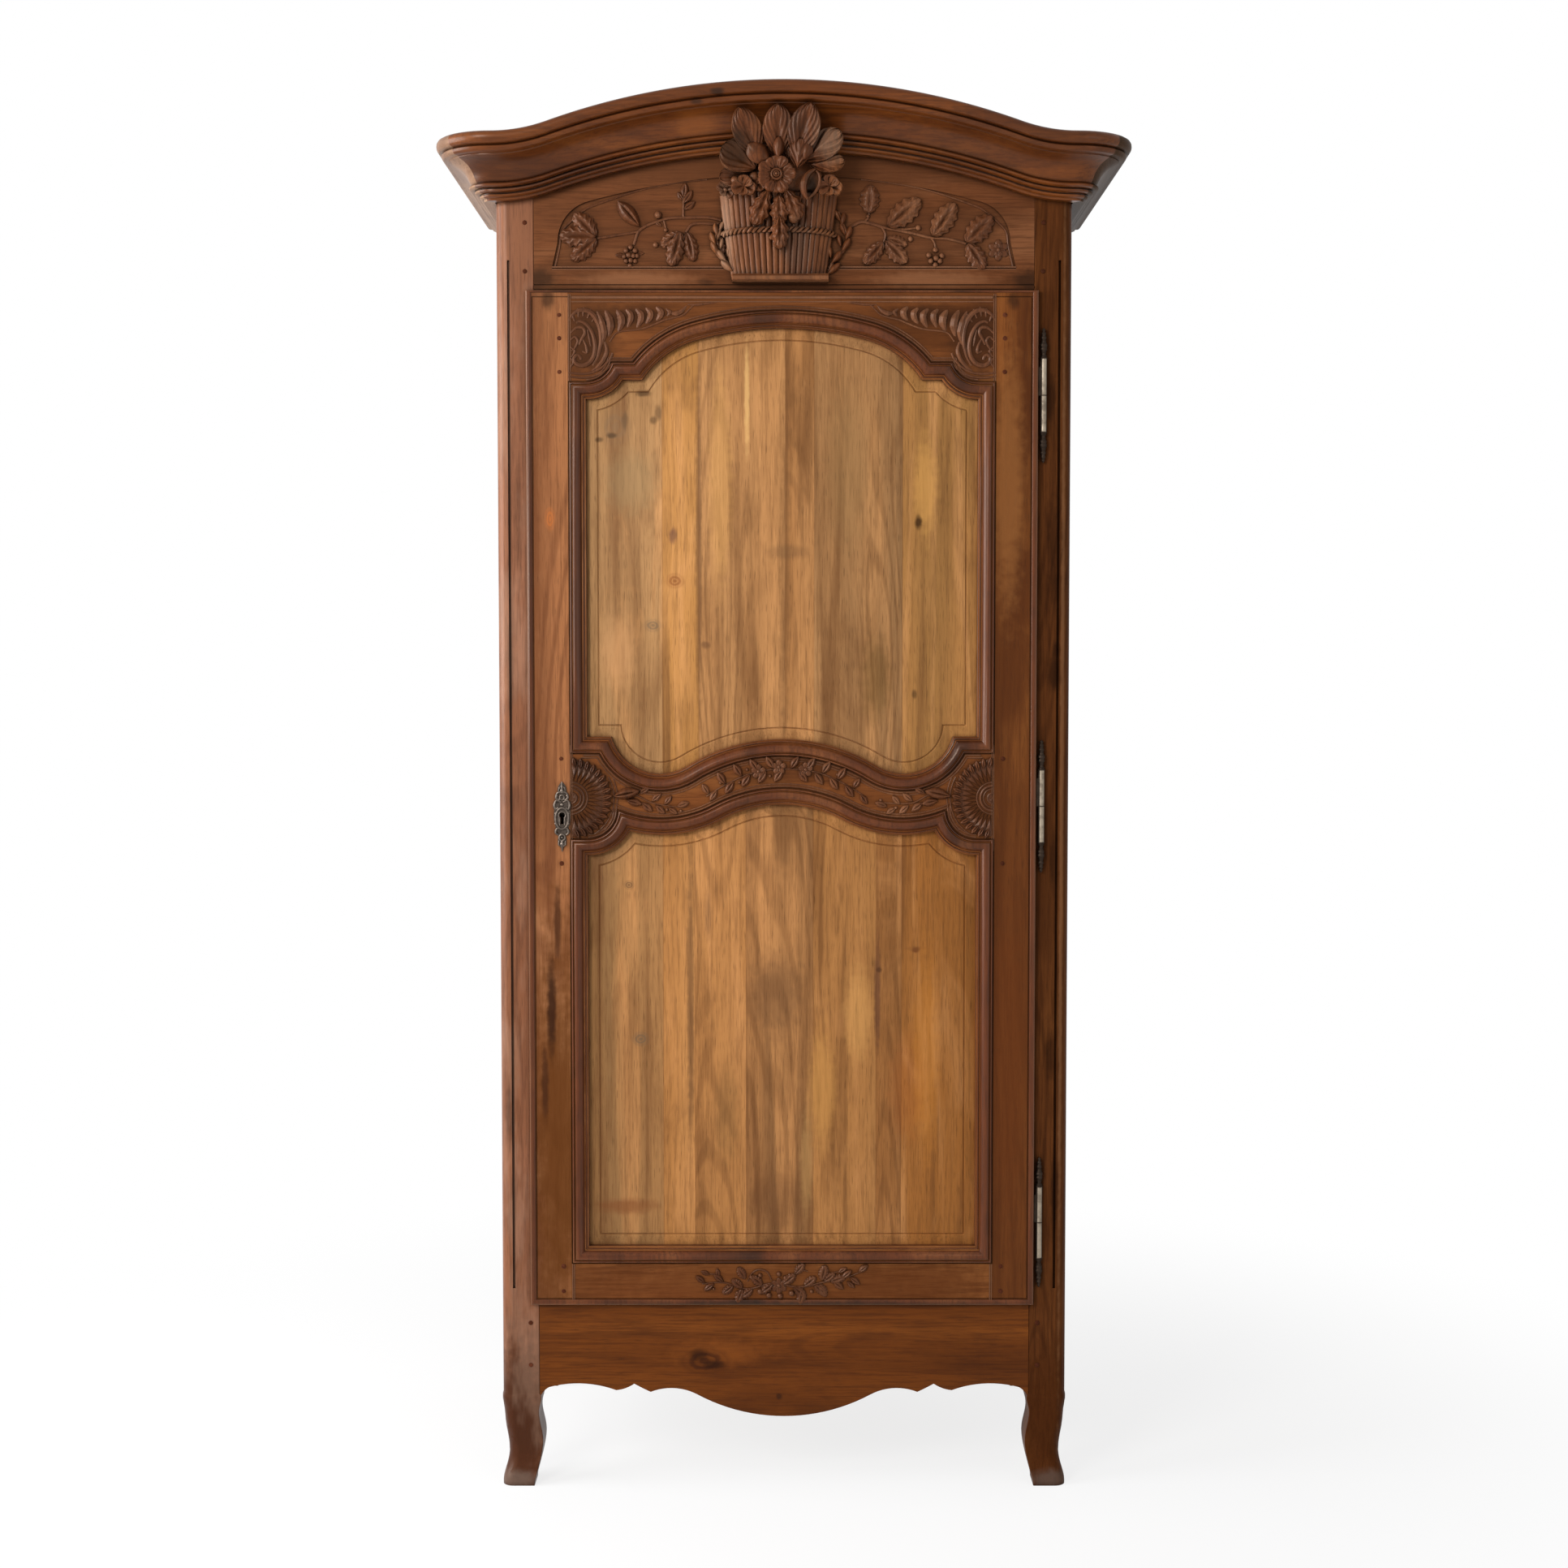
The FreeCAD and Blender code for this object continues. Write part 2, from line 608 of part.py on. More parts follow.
def make_posts():
    """Four posts, the front pair with a round nose, a stopped groove and peg holes."""
    front = turned_post(POST_FACE, POST_DEPTH, Y_FACE, POST_NOSE_RADIUS, POST_TOP, False)
    groove_out = BODY_HALF - POST_NOSE_RADIUS
    groove = box(
        groove_out - POST_GROOVE_WIDTH, groove_out, Y_FACE - OVER, Y_FACE + POST_GROOVE_DEPTH,
        DOORWAY_SILL + POST_GROOVE_FOOT, DOORWAY_HEAD + POST_GROOVE_HEAD,
    )
    holes = []
    for level in post_peg_levels():
        hole_radius = PEG_RADIUS + PEG_CLEARANCE
        holes.append(peg_hole(hole_radius, BODY_HALF - POST_PEG_IN, Y_FACE, level, PEG_LENGTH - PEG_PROUD))
    front = cut_all(front, [groove] + holes + side_grooves())
    hinge_slots = []
    slot_half = HINGE_LEAF_THICK / 2 + HINGE_SLOT_CLEARANCE
    for level in HINGE_LEVELS:
        low = level - HINGE_JOINT_GAP - HINGE_LEAF_LENGTH - HINGE_SLOT_CLEARANCE
        high = level - HINGE_JOINT_GAP + HINGE_SLOT_CLEARANCE
        far = Y_FACE + HINGE_LEAF_DEPTH + HINGE_SLOT_CLEARANCE
        hinge_slots.append(box(HINGE_X - slot_half, HINGE_X + slot_half, Y_FACE - OVER, far, low, high))
    keep_half_height = BOLT_HEIGHT / 2 + KEEP_MARGIN
    keep_middle = BOLT_LOW + BOLT_HEIGHT / 2
    sink = box(
        -DOORWAY_HALF - KEEP_THICK, -DOORWAY_HALF + OVER, BOLT_FRONT - KEEP_MARGIN / 2,
        BOLT_REAR + KEEP_MARGIN, keep_middle - keep_half_height, keep_middle + keep_half_height,
    )
    mortise = box(
        -DOORWAY_HALF - KEEP_DEPTH, -DOORWAY_HALF + OVER, BOLT_FRONT - KEEP_CLEARANCE,
        BOLT_REAR + KEEP_CLEARANCE, BOLT_LOW - KEEP_CLEARANCE, BOLT_TOP + KEEP_CLEARANCE,
    )
    PARTS["post_front_right"] = cut_all(front, hinge_slots)
    PARTS["post_front_left"] = cut_all(mirrored(front), [sink, mortise])
    keep = box(
        -DOORWAY_HALF - KEEP_THICK, -DOORWAY_HALF, BOLT_FRONT - KEEP_MARGIN / 2,
        BOLT_REAR + KEEP_MARGIN, keep_middle - keep_half_height, keep_middle + keep_half_height,
    )
    PARTS["lock_keep"] = keep.cut(mortise)
    rear = turned_post(
        REAR_POST_FACE, REAR_POST_DEPTH, Y_SIDE_BACK, POST_EDGE_RADIUS, ROOF_UNDER, True)
    rear = cut_all(rear, side_grooves())
    PARTS["post_rear_right"] = rear
    PARTS["post_rear_left"] = mirrored(rear)


def field_steps():
    """Outline of the sunk carved field of the frieze."""
    foot = DOORWAY_HEAD + FIELD_LOW
    crest = foot + FIELD_HEIGHT
    crown_radius = FIELD_CROWN_RADIUS_SHARE * DOORWAY_HALF
    crown_reach = FIELD_CROWN_REACH_SHARE * DOORWAY_HALF
    shoulder_radius = FIELD_SHOULDER_RADIUS_SHARE * DOORWAY_HALF
    foot_half = FIELD_FOOT_SHARE * DOORWAY_HALF
    turn = math.asin(crown_reach / crown_radius)
    crown_centre = (0, crest - crown_radius)
    slip = crown_radius - shoulder_radius
    shoulder = (slip * math.sin(turn), crown_centre[1] + slip * math.cos(turn))
    join = (crown_reach, crown_centre[1] + crown_radius * math.cos(turn))
    side = (shoulder[0] + shoulder_radius, shoulder[1])
    right = [
        arc(crown_centre, crown_radius, (0, crest), join),
        arc(shoulder, shoulder_radius, join, side),
        line(side, (foot_half, foot)),
        line((foot_half, foot), (0, foot)),
    ]
    return right + flipped(right)


def make_frieze():
    """Board over the doorway: arched top under the cornice, a bead line and the sunk field."""
    arch = arch_steps(CORNICE_CAP_GAP)
    left_end = arch[0][1]
    right_end = arch[-1][-1]
    foot_left = (left_end[0], DOORWAY_HEAD)
    foot_right = (right_end[0], DOORWAY_HEAD)
    steps = arch + [line(right_end, foot_right), line(foot_right, foot_left), line(foot_left, left_end)]
    board = slab(steps, Y_FACE, Y_FACE + FRIEZE_THICK)
    width = box(-DOORWAY_HALF, DOORWAY_HALF, Y_FACE - OVER, Y_FACE + FRIEZE_THICK + OVER, 0, HEIGHT)
    board = board.common(width)
    field = slab(field_steps(), Y_FACE - OVER, Y_FACE + FIELD_SINK)
    lines = []
    for low in (FRIEZE_BEAD_LOW, FRIEZE_BEAD_LOW + FRIEZE_BEAD_HEIGHT):
        level = DOORWAY_HEAD + low
        lines.append(box(
            -DOORWAY_HALF, DOORWAY_HALF, Y_FACE - OVER, Y_FACE + FRIEZE_LINE_DEPTH,
            level, level + FRIEZE_LINE_WIDTH,
        ))
    PARTS["frieze_board"] = only_solid(cut_all(board, [field] + lines))


def make_apron():
    """Board under the doorway with its scalloped lower edge, scribed to the legs."""
    lobe_radius = APRON_LOBE_RADIUS_SHARE * DOORWAY_HALF
    hollow_radius = APRON_HOLLOW_RADIUS_SHARE * DOORWAY_HALF
    reach = lobe_radius + hollow_radius
    out = math.sqrt(2 * APRON_LOBE_RISE * reach - APRON_LOBE_RISE ** 2)
    lobe_centre = (0, APRON_LOW + lobe_radius)
    hollow_centre = (out, APRON_LOW + APRON_LOBE_RISE - hollow_radius)
    share = lobe_radius / reach
    join = (
        lobe_centre[0] + share * (hollow_centre[0] - lobe_centre[0]),
        lobe_centre[1] + share * (hollow_centre[1] - lobe_centre[1]),
    )
    cusp_x = APRON_CUSP_SHARE * DOORWAY_HALF
    cusp = (cusp_x, hollow_centre[1] + math.sqrt(hollow_radius ** 2 - (cusp_x - out) ** 2))
    right = [
        arc(lobe_centre, lobe_radius, (0, APRON_LOW), join),
        arc(hollow_centre, hollow_radius, join, cusp),
    ]
    last = cusp
    for middle_share, end_share in APRON_TAIL_SHARES:
        middle = (middle_share[0] * DOORWAY_HALF, APRON_LOW + middle_share[1] * APRON_EDGE_RISE)
        end = (end_share[0] * DOORWAY_HALF, APRON_LOW + end_share[1] * APRON_EDGE_RISE)
        right.append(("arc", last, middle, end))
        last = end
    right.append(line(last, (DOORWAY_HALF, DOORWAY_SILL)))
    right.append(line((DOORWAY_HALF, DOORWAY_SILL), (0, DOORWAY_SILL)))
    board = slab(right + flipped(right), Y_FACE, Y_FACE + APRON_THICK)
    legs = [PARTS["post_front_right"], PARTS["post_front_left"]]
    PARTS["apron"] = only_solid(cut_all(board, legs))


def raised_side_panel(low, high):
    """Side panel in its grooves, with a raised field on its outer face."""
    hold = SIDE_GROOVE_DEPTH - PANEL_SLACK
    board = box(
        SIDE_PANEL_IN, SIDE_PANEL_OUT, Y_SIDE_FRONT - hold, Y_SIDE_BACK + hold, low - hold, high + hold)
    wires = []
    for inset, out in (
        (SIDE_FIELD_MARGIN, SIDE_PANEL_OUT),
        (SIDE_FIELD_MARGIN + SIDE_FIELD_SLOPE, SIDE_PANEL_OUT + SIDE_FIELD_RISE),
    ):
        corners = [
            V(out, Y_SIDE_FRONT + inset, low + inset),
            V(out, Y_SIDE_BACK - inset, low + inset),
            V(out, Y_SIDE_BACK - inset, high - inset),
            V(out, Y_SIDE_FRONT + inset, high - inset),
        ]
        wires.append(Part.makePolygon(corners + [corners[0]]))
    return board.fuse(Part.makeLoft(wires, True, True))


def make_sides():
    """Three rails and two panels on each side."""
    rails = {
        "top": (ROOF_UNDER - TOP_RAIL_HEIGHT, ROOF_UNDER),
        "middle": (MIDDLE_RAIL_LOW, MIDDLE_RAIL_LOW + MIDDLE_RAIL_HEIGHT),
        "bottom": (BOTTOM_RAIL_LOW, DOORWAY_SILL),
    }
    for name, (low, high) in rails.items():
        rail = box(SIDE_IN, SIDE_OUT, Y_SIDE_FRONT, Y_SIDE_BACK, low, high)
        rail = only_solid(cut_all(rail, side_grooves()))
        PARTS["side_rail_" + name + "_right"] = rail
        PARTS["side_rail_" + name + "_left"] = mirrored(rail)
        back = box(-REAR_INNER, REAR_INNER, BACK_RAIL_FRONT, Y_BACK, low, high)
        PARTS["back_rail_" + name] = back
    for name, (low, high) in zip(("lower", "upper"), side_panel_levels()):
        panel = raised_side_panel(low, high)
        PARTS["side_panel_" + name + "_right"] = panel
        PARTS["side_panel_" + name + "_left"] = mirrored(panel)


def make_back_boards():
    """Upright boards nailed to the inside of the back rails."""
    low = DOORWAY_SILL - FLOOR_THICK - BACK_BOARD_OVERLAP
    high = ROOF_UNDER
    pitch = 2 * REAR_INNER / BACK_BOARD_COUNT
    for index in range(BACK_BOARD_COUNT):
        left = -REAR_INNER + index * pitch + BOARD_GAP / 2
        right = left + pitch - BOARD_GAP
        board = box(left, right, BACK_BOARD_FRONT, BACK_RAIL_FRONT, low, high)
        PARTS["back_board_" + str(index + 1)] = board


def post_clearances():
    """Blocks round the posts and the lower legs that boards are notched for."""
    tools = []
    front_y = Y_FACE + POST_DEPTH + BOARD_GAP
    back_y = Y_SIDE_BACK - BOARD_GAP
    for sign in (-1, 1):
        inner = sorted((sign * (DOORWAY_HALF - BOARD_GAP), sign * (BODY_HALF + OVER)))
        tools.append(box(inner[0], inner[1], Y_FACE - OVER, front_y, 0, HEIGHT))
        inner = sorted((sign * (REAR_INNER - BOARD_GAP), sign * (BODY_HALF + OVER)))
        tools.append(box(inner[0], inner[1], back_y, Y_BACK + OVER, 0, HEIGHT))
    return tools


def make_boards(name, count, half, front, back, low, high, tools):
    """Row of boards that run across the wardrobe, from front to back."""
    pitch = (back - front) / count
    for index in range(count):
        near = front + index * pitch + BOARD_GAP / 2
        board = box(-half, half, near, near + pitch - BOARD_GAP, low, high)
        PARTS[name + str(index + 1)] = only_solid(cut_all(board, tools))


def make_floor_and_roof():
    """Floor boards on two battens, and roof boards on the side and back rails."""
    floor_low = DOORWAY_SILL - FLOOR_THICK
    make_boards(
        "floor_board_", FLOOR_BOARD_COUNT, SIDE_IN, Y_FACE + APRON_THICK, BACK_BOARD_FRONT,
        floor_low, DOORWAY_SILL, post_clearances())
    batten = box(
        SIDE_IN - BATTEN_WIDTH, SIDE_IN, Y_SIDE_FRONT, Y_SIDE_BACK, floor_low - BATTEN_HEIGHT, floor_low)
    PARTS["floor_batten_right"] = batten
    PARTS["floor_batten_left"] = mirrored(batten)
    front_posts = post_clearances()[::2]
    make_boards(
        "roof_board_", ROOF_BOARD_COUNT, SIDE_OUT, Y_FACE + FRIEZE_THICK, Y_BACK,
        ROOF_UNDER, ROOF_TOP, front_posts)


def make_shelf_and_rail():
    """Hat shelf on two cleats, with a round hanging rail in two blocks under them."""
    shelf_low = SHELF_TOP - SHELF_THICK
    front = Y_SIDE_FRONT + SHELF_FRONT_GAP
    shelf_half = SIDE_PANEL_IN - BOARD_GAP
    shelf = box(-shelf_half, shelf_half, front, BACK_BOARD_FRONT - BOARD_GAP, shelf_low, SHELF_TOP)
    PARTS["hat_shelf"] = only_solid(cut_all(shelf, post_clearances()))
    cleat_in = SIDE_PANEL_IN - BATTEN_WIDTH
    cleat_low = shelf_low - BATTEN_HEIGHT
    cleat = box(cleat_in, SIDE_PANEL_IN, Y_SIDE_FRONT, Y_SIDE_BACK, cleat_low, shelf_low)
    PARTS["shelf_cleat_right"] = cleat
    PARTS["shelf_cleat_left"] = mirrored(cleat)
    rail_level = cleat_low - RAIL_DROP + BATTEN_HEIGHT / 2
    rail_y = (Y_SIDE_FRONT + Y_SIDE_BACK) / 2
    block_in = SIDE_PANEL_IN - RAIL_BLOCK_THICK
    block = box(
        block_in, SIDE_PANEL_IN, rail_y - RAIL_BLOCK_WIDTH / 2, rail_y + RAIL_BLOCK_WIDTH / 2,
        rail_level - RAIL_RADIUS - RAIL_BLOCK_WALL, cleat_low)
    socket = Part.makeCylinder(
        RAIL_RADIUS + RAIL_CLEARANCE, RAIL_BLOCK_THICK + OVER, V(block_in - OVER, rail_y, rail_level), V(1, 0, 0))
    block = block.cut(socket)
    PARTS["rail_block_right"] = block
    PARTS["rail_block_left"] = mirrored(block)
    rail_half = SIDE_PANEL_IN - RAIL_END_GAP
    PARTS["hanging_rail"] = Part.makeCylinder(
        RAIL_RADIUS, 2 * rail_half, V(-rail_half, rail_y, rail_level), V(1, 0, 0))


def make_frame_pegs():
    """Wooden pegs through the post joints."""
    pegs = []
    for x in (POST_PEG_IN - BODY_HALF, BODY_HALF - POST_PEG_IN):
        for level in post_peg_levels():
            pegs.append(Part.makeCylinder(PEG_RADIUS, PEG_LENGTH, V(x, Y_FACE - PEG_PROUD, level), V(0, 1, 0)))
    PARTS["frame_pegs"] = Part.makeCompound(pegs)


def ear_steps(ear_z, radius, grow, start):
    """Round ear at the upper corner of an opening, from start to the side of the opening."""
    centre = (PANEL_HALF - EAR_FLAT, ear_z + radius)
    reach = radius - grow
    side = PANEL_HALF + grow
    if side > centre[0]:
        foot = (centre[0], centre[1] - reach)
        return [arc(centre, reach, start, foot), line(foot, (side, foot[1]))]
    drop = math.sqrt(reach ** 2 - (side - centre[0]) ** 2)
    return [arc(centre, reach, start, (side, centre[1] - drop))]


def upper_opening(grow):
    """Outline of the upper panel opening, grown outward by grow."""
    turn = math.asin(HEAD_CREST_REACH_SHARE / HEAD_CREST_RADIUS_SHARE)
    crest_radius = HEAD_CREST_RADIUS_SHARE * PANEL_HALF + grow
    shoulder_radius = HEAD_SHOULDER_RADIUS_SHARE * PANEL_HALF + grow
    crest_centre = (0, HEAD_CREST + grow - crest_radius)
    slip = crest_radius - shoulder_radius
    shoulder = (slip * math.sin(turn), crest_centre[1] + slip * math.cos(turn))
    ledge = HEAD_LEDGE + grow
    join = (crest_radius * math.sin(turn), crest_centre[1] + crest_radius * math.cos(turn))
    corner = (shoulder[0] + math.sqrt(shoulder_radius ** 2 - (ledge - shoulder[1]) ** 2), ledge)
    ear_centre = (PANEL_HALF - EAR_FLAT, HEAD_EAR + HEAD_EAR_RADIUS)
    ear_radius = HEAD_EAR_RADIUS - grow
    tip = (ear_centre[0] - math.sqrt(ear_radius ** 2 - (ear_centre[1] - ledge) ** 2), ledge)
    right = [
        arc(crest_centre, crest_radius, (0, HEAD_CREST + grow), join),
        arc(shoulder, shoulder_radius, join, corner),
        line(corner, tip),
    ]
    right += ear_steps(HEAD_EAR, HEAD_EAR_RADIUS, grow, tip)
    trough_out = TROUGH_OUT_SHARE * PANEL_HALF
    trough_radius = TROUGH_RADIUS_SHARE * PANEL_HALF + grow
    crown_radius = CROWN_RADIUS_SHARE * PANEL_HALF - grow
    reach = crown_radius + trough_radius
    crown_centre = (0, CROWN - grow - crown_radius)
    rise = math.sqrt(reach ** 2 - trough_out ** 2)
    trough_centre = (trough_out, crown_centre[1] + rise)
    ledge_low = CROWN_LEDGE - grow
    side_foot = (PANEL_HALF + grow, ledge_low)
    step_x = trough_out + math.sqrt(trough_radius ** 2 - (trough_centre[1] - ledge_low) ** 2)
    low_join = (crown_radius * trough_out / reach, crown_centre[1] + crown_radius * rise / reach)
    right.append(line(right[-1][-1], side_foot))
    right.append(line(side_foot, (step_x, ledge_low)))
    right.append(arc(trough_centre, trough_radius, (step_x, ledge_low), low_join))
    right.append(arc(crown_centre, crown_radius, low_join, (0, CROWN - grow)))
    return right + flipped(right)


def lower_opening(grow):
    """Outline of the lower panel opening, grown outward by grow."""
    trough_out = ARCH_TROUGH_OUT_SHARE * PANEL_HALF
    arch_radius = ARCH_RADIUS_SHARE * PANEL_HALF + grow
    trough_radius = ARCH_TROUGH_RADIUS_SHARE * PANEL_HALF - grow
    reach = arch_radius + trough_radius
    arch_centre = (0, ARCH_CREST + grow - arch_radius)
    rise = math.sqrt(reach ** 2 - trough_out ** 2)
    trough_centre = (trough_out, arch_centre[1] + rise)
    join = (arch_radius * trough_out / reach, arch_centre[1] + arch_radius * rise / reach)
    ear_centre = (PANEL_HALF - EAR_FLAT, ARCH_EAR + ARCH_EAR_RADIUS)
    crossings = circles_meet(trough_centre, trough_radius, ear_centre, ARCH_EAR_RADIUS - grow)
    corner = min(crossings)
    right = [
        arc(arch_centre, arch_radius, (0, ARCH_CREST + grow), join),
        arc(trough_centre, trough_radius, join, corner),
    ]
    right += ear_steps(ARCH_EAR, ARCH_EAR_RADIUS, grow, corner)
    foot = (PANEL_HALF + grow, BOTTOM_SIGHT - grow)
    right.append(line(right[-1][-1], foot))
    right.append(line(foot, (0, BOTTOM_SIGHT - grow)))
    return right + flipped(right)


def moulded_blank():
    """The whole door frame in one piece, with both panel openings moulded and grooved."""
    lip = box(LIP_LEFT, LIP_RIGHT, DOOR_FACE, LIP_BACK, LIP_BOTTOM, LIP_TOP)
    core = box(
        -DOORWAY_HALF + DOOR_GAP, DOORWAY_HALF - DOOR_GAP, LIP_BACK, DOOR_BACK,
        DOORWAY_SILL + DOOR_GAP, DOORWAY_HEAD - DOOR_GAP,
    )
    outer_line = box(
        LIP_LEFT + LIP_LINE_IN, LIP_RIGHT - LIP_LINE_IN, DOOR_FACE - OVER, DOOR_FACE + LIP_LINE_DEPTH,
        LIP_BOTTOM + LIP_LINE_IN, LIP_TOP - LIP_LINE_IN,
    )
    inside = LIP_LINE_IN + LIP_LINE_WIDTH
    inner_line = box(
        LIP_LEFT + inside, LIP_RIGHT - inside, DOOR_FACE - 2 * OVER, DOOR_FACE + 2 * OVER,
        LIP_BOTTOM + inside, LIP_TOP - inside,
    )
    blank = lip.fuse(core).cut(outer_line.cut(inner_line))
    crest = DOOR_FACE - MOULD_RISE
    bead_out = MOULD_WIDTH - MOULD_QUIRK_WIDTH
    crest_out = bead_out - MOULD_OUTER_SLOPE
    crest_in = crest_out - MOULD_CREST_WIDTH
    for opening in (upper_opening, lower_opening):
        ring = slab(opening(MOULD_WIDTH), DOOR_FACE - OVER, DOOR_FACE + MOULD_QUIRK_DEPTH, DOOR_MIDDLE)
        inner = slab(opening(bead_out), DOOR_FACE - 2 * OVER, DOOR_FACE + 2 * OVER, DOOR_MIDDLE)
        blank = blank.cut(ring.cut(inner))
        raised = slope(opening(bead_out), DOOR_FACE, opening(crest_out), crest, DOOR_MIDDLE)
        blank = blank.fuse(raised)
        hollow = slope(opening(crest_in), crest, opening(0), DOOR_FACE + MOULD_SINK, DOOR_MIDDLE)
        hole = slab(opening(0), DOOR_FACE, DOOR_BACK + OVER, DOOR_MIDDLE)
        groove = slab(opening(DOOR_GROOVE_DEPTH), PANEL_FACE, PANEL_BACK_FACE, DOOR_MIDDLE)
        blank = cut_all(blank, [hollow, hole, groove])
    return blank


def stile_region():
    """Plan of the right-hand stile, mitred into the rail mouldings, about the door's middle."""
    out = PANEL_HALF + MOULD_WIDTH
    edge = PANEL_HALF + STILE_WIDTH + OVER
    foot = BOTTOM_SIGHT - MOULD_WIDTH
    points = [
        (edge, LIP_BOTTOM - OVER), (out, LIP_BOTTOM - OVER), (out, foot), (PANEL_HALF, BOTTOM_SIGHT),
        (PANEL_HALF, ARCH_EAR), (out, ARCH_EAR + MOULD_WIDTH), (out, CROWN_LEDGE - MOULD_WIDTH),
        (PANEL_HALF, CROWN_LEDGE), (PANEL_HALF, HEAD_EAR), (out, HEAD_EAR + MOULD_WIDTH),
        (out, LIP_TOP + OVER), (edge, LIP_TOP + OVER),
    ]
    return polygon(points)


def keyhole():
    """Round hole with a slot under it, through the stile and the escutcheon."""
    length = DOOR_THICK + 2 * OVER
    start = DOOR_FACE - OVER
    eye = Part.makeCylinder(KEYHOLE_RADIUS, length, V(KEYHOLE_X, start, LOCK_LEVEL), V(0, 1, 0))
    half = KEYHOLE_SLOT_WIDTH / 2
    slot = box(
        KEYHOLE_X - half, KEYHOLE_X + half, start, start + length,
        LOCK_LEVEL - KEYHOLE_SLOT_DROP, LOCK_LEVEL)
    return eye.fuse(slot)


def stile_peg_levels():
    """Heights of the pegs in each door stile."""
    high = [DOORWAY_HEAD - drop for drop in STILE_PEGS_UNDER_HEAD]
    middle = [CROSSRAIL_LEVEL + rise for rise in STILE_PEGS_OVER_CROSSRAIL]
    return high + middle + [DOORWAY_SILL + rise for rise in STILE_PEGS_OVER_SILL]


def make_door_frame():
    """Two stiles and three rails, with peg holes, hinge slots and the keyhole."""
    blank = moulded_blank()
    front = DOOR_FACE - 2 * OVER
    back = DOOR_BACK + 2 * OVER
    right_region = slab(stile_region(), front, back, DOOR_MIDDLE)
    left_region = slab(flipped(stile_region()), front, back, DOOR_MIDDLE)
    holes = []
    for x in (LIP_LEFT + STILE_PEG_IN, LIP_RIGHT - STILE_PEG_IN):
        for level in stile_peg_levels():
            radius = DOOR_PEG_RADIUS + PEG_CLEARANCE
            holes.append(peg_hole(radius, x, DOOR_FACE, level, DOOR_PEG_LENGTH - PEG_PROUD))
    slots = []
    slot_half = HINGE_LEAF_THICK / 2 + HINGE_SLOT_CLEARANCE
    leaf_in = LIP_RIGHT - HINGE_LEAF_DEPTH - HINGE_SLOT_CLEARANCE
    for level in HINGE_LEVELS:
        high = level + HINGE_LEAF_LENGTH + HINGE_SLOT_CLEARANCE
        slots.append(box(
            leaf_in, LIP_RIGHT + OVER, HINGE_Y - slot_half, HINGE_Y + slot_half,
            level - HINGE_SLOT_CLEARANCE, high))
    screws = lock_screw_holes()
    PARTS["hinge_stile"] = only_solid(cut_all(blank.common(right_region), holes + slots))
    PARTS["lock_stile"] = only_solid(cut_all(blank.common(left_region), holes + [keyhole()] + screws))
    rails = blank.cut(right_region).cut(left_region).Solids
    rails.sort(key=lambda solid: solid.CenterOfMass.z)
    for name, solid in zip(("bottom", "middle", "top"), rails):
        PARTS["door_rail_" + name] = only_solid(cut_all(solid, screws))


def make_door_panels():
    """Floating panels with a raised field that follows each opening."""
    hold = DOOR_GROOVE_DEPTH - PANEL_SLACK
    for name, opening in (("upper", upper_opening), ("lower", lower_opening)):
        board = slab(opening(hold), PANEL_FACE, PANEL_BACK_FACE, DOOR_MIDDLE)
        field = slope(
            opening(-DOOR_FIELD_MARGIN), PANEL_FACE, opening(-DOOR_FIELD_IN), PANEL_FACE - DOOR_FIELD_RISE,
            DOOR_MIDDLE)
        PARTS["door_panel_" + name] = board.fuse(field)


def finial(level, way):
    """Turned urn finial that leaves a barrel end along way."""
    neck, urn, collar, button, tip = FINIAL_SHARES
    points = (
        (0, HINGE_BARREL_RADIUS),
        (neck, FINIAL_NECK_RADIUS),
        (urn, FINIAL_URN_RADIUS),
        (collar, FINIAL_NECK_RADIUS),
        (button, FINIAL_NECK_RADIUS),
        (tip, FINIAL_TIP_RADIUS),
        (1, FINIAL_TIP_RADIUS / 2),
    )
    rim = [V(radius, 0, level + way * share * FINIAL_LENGTH) for share, radius in points]
    ends = [V(0, 0, rim[-1].z), V(0, 0, rim[0].z)]
    face = Part.Face(Part.makePolygon(rim + ends + [rim[0]]))
    turned = face.revolve(V(0, 0, 0), V(0, 0, 1), 360)
    turned.translate(V(HINGE_X, HINGE_Y, 0))
    return turned


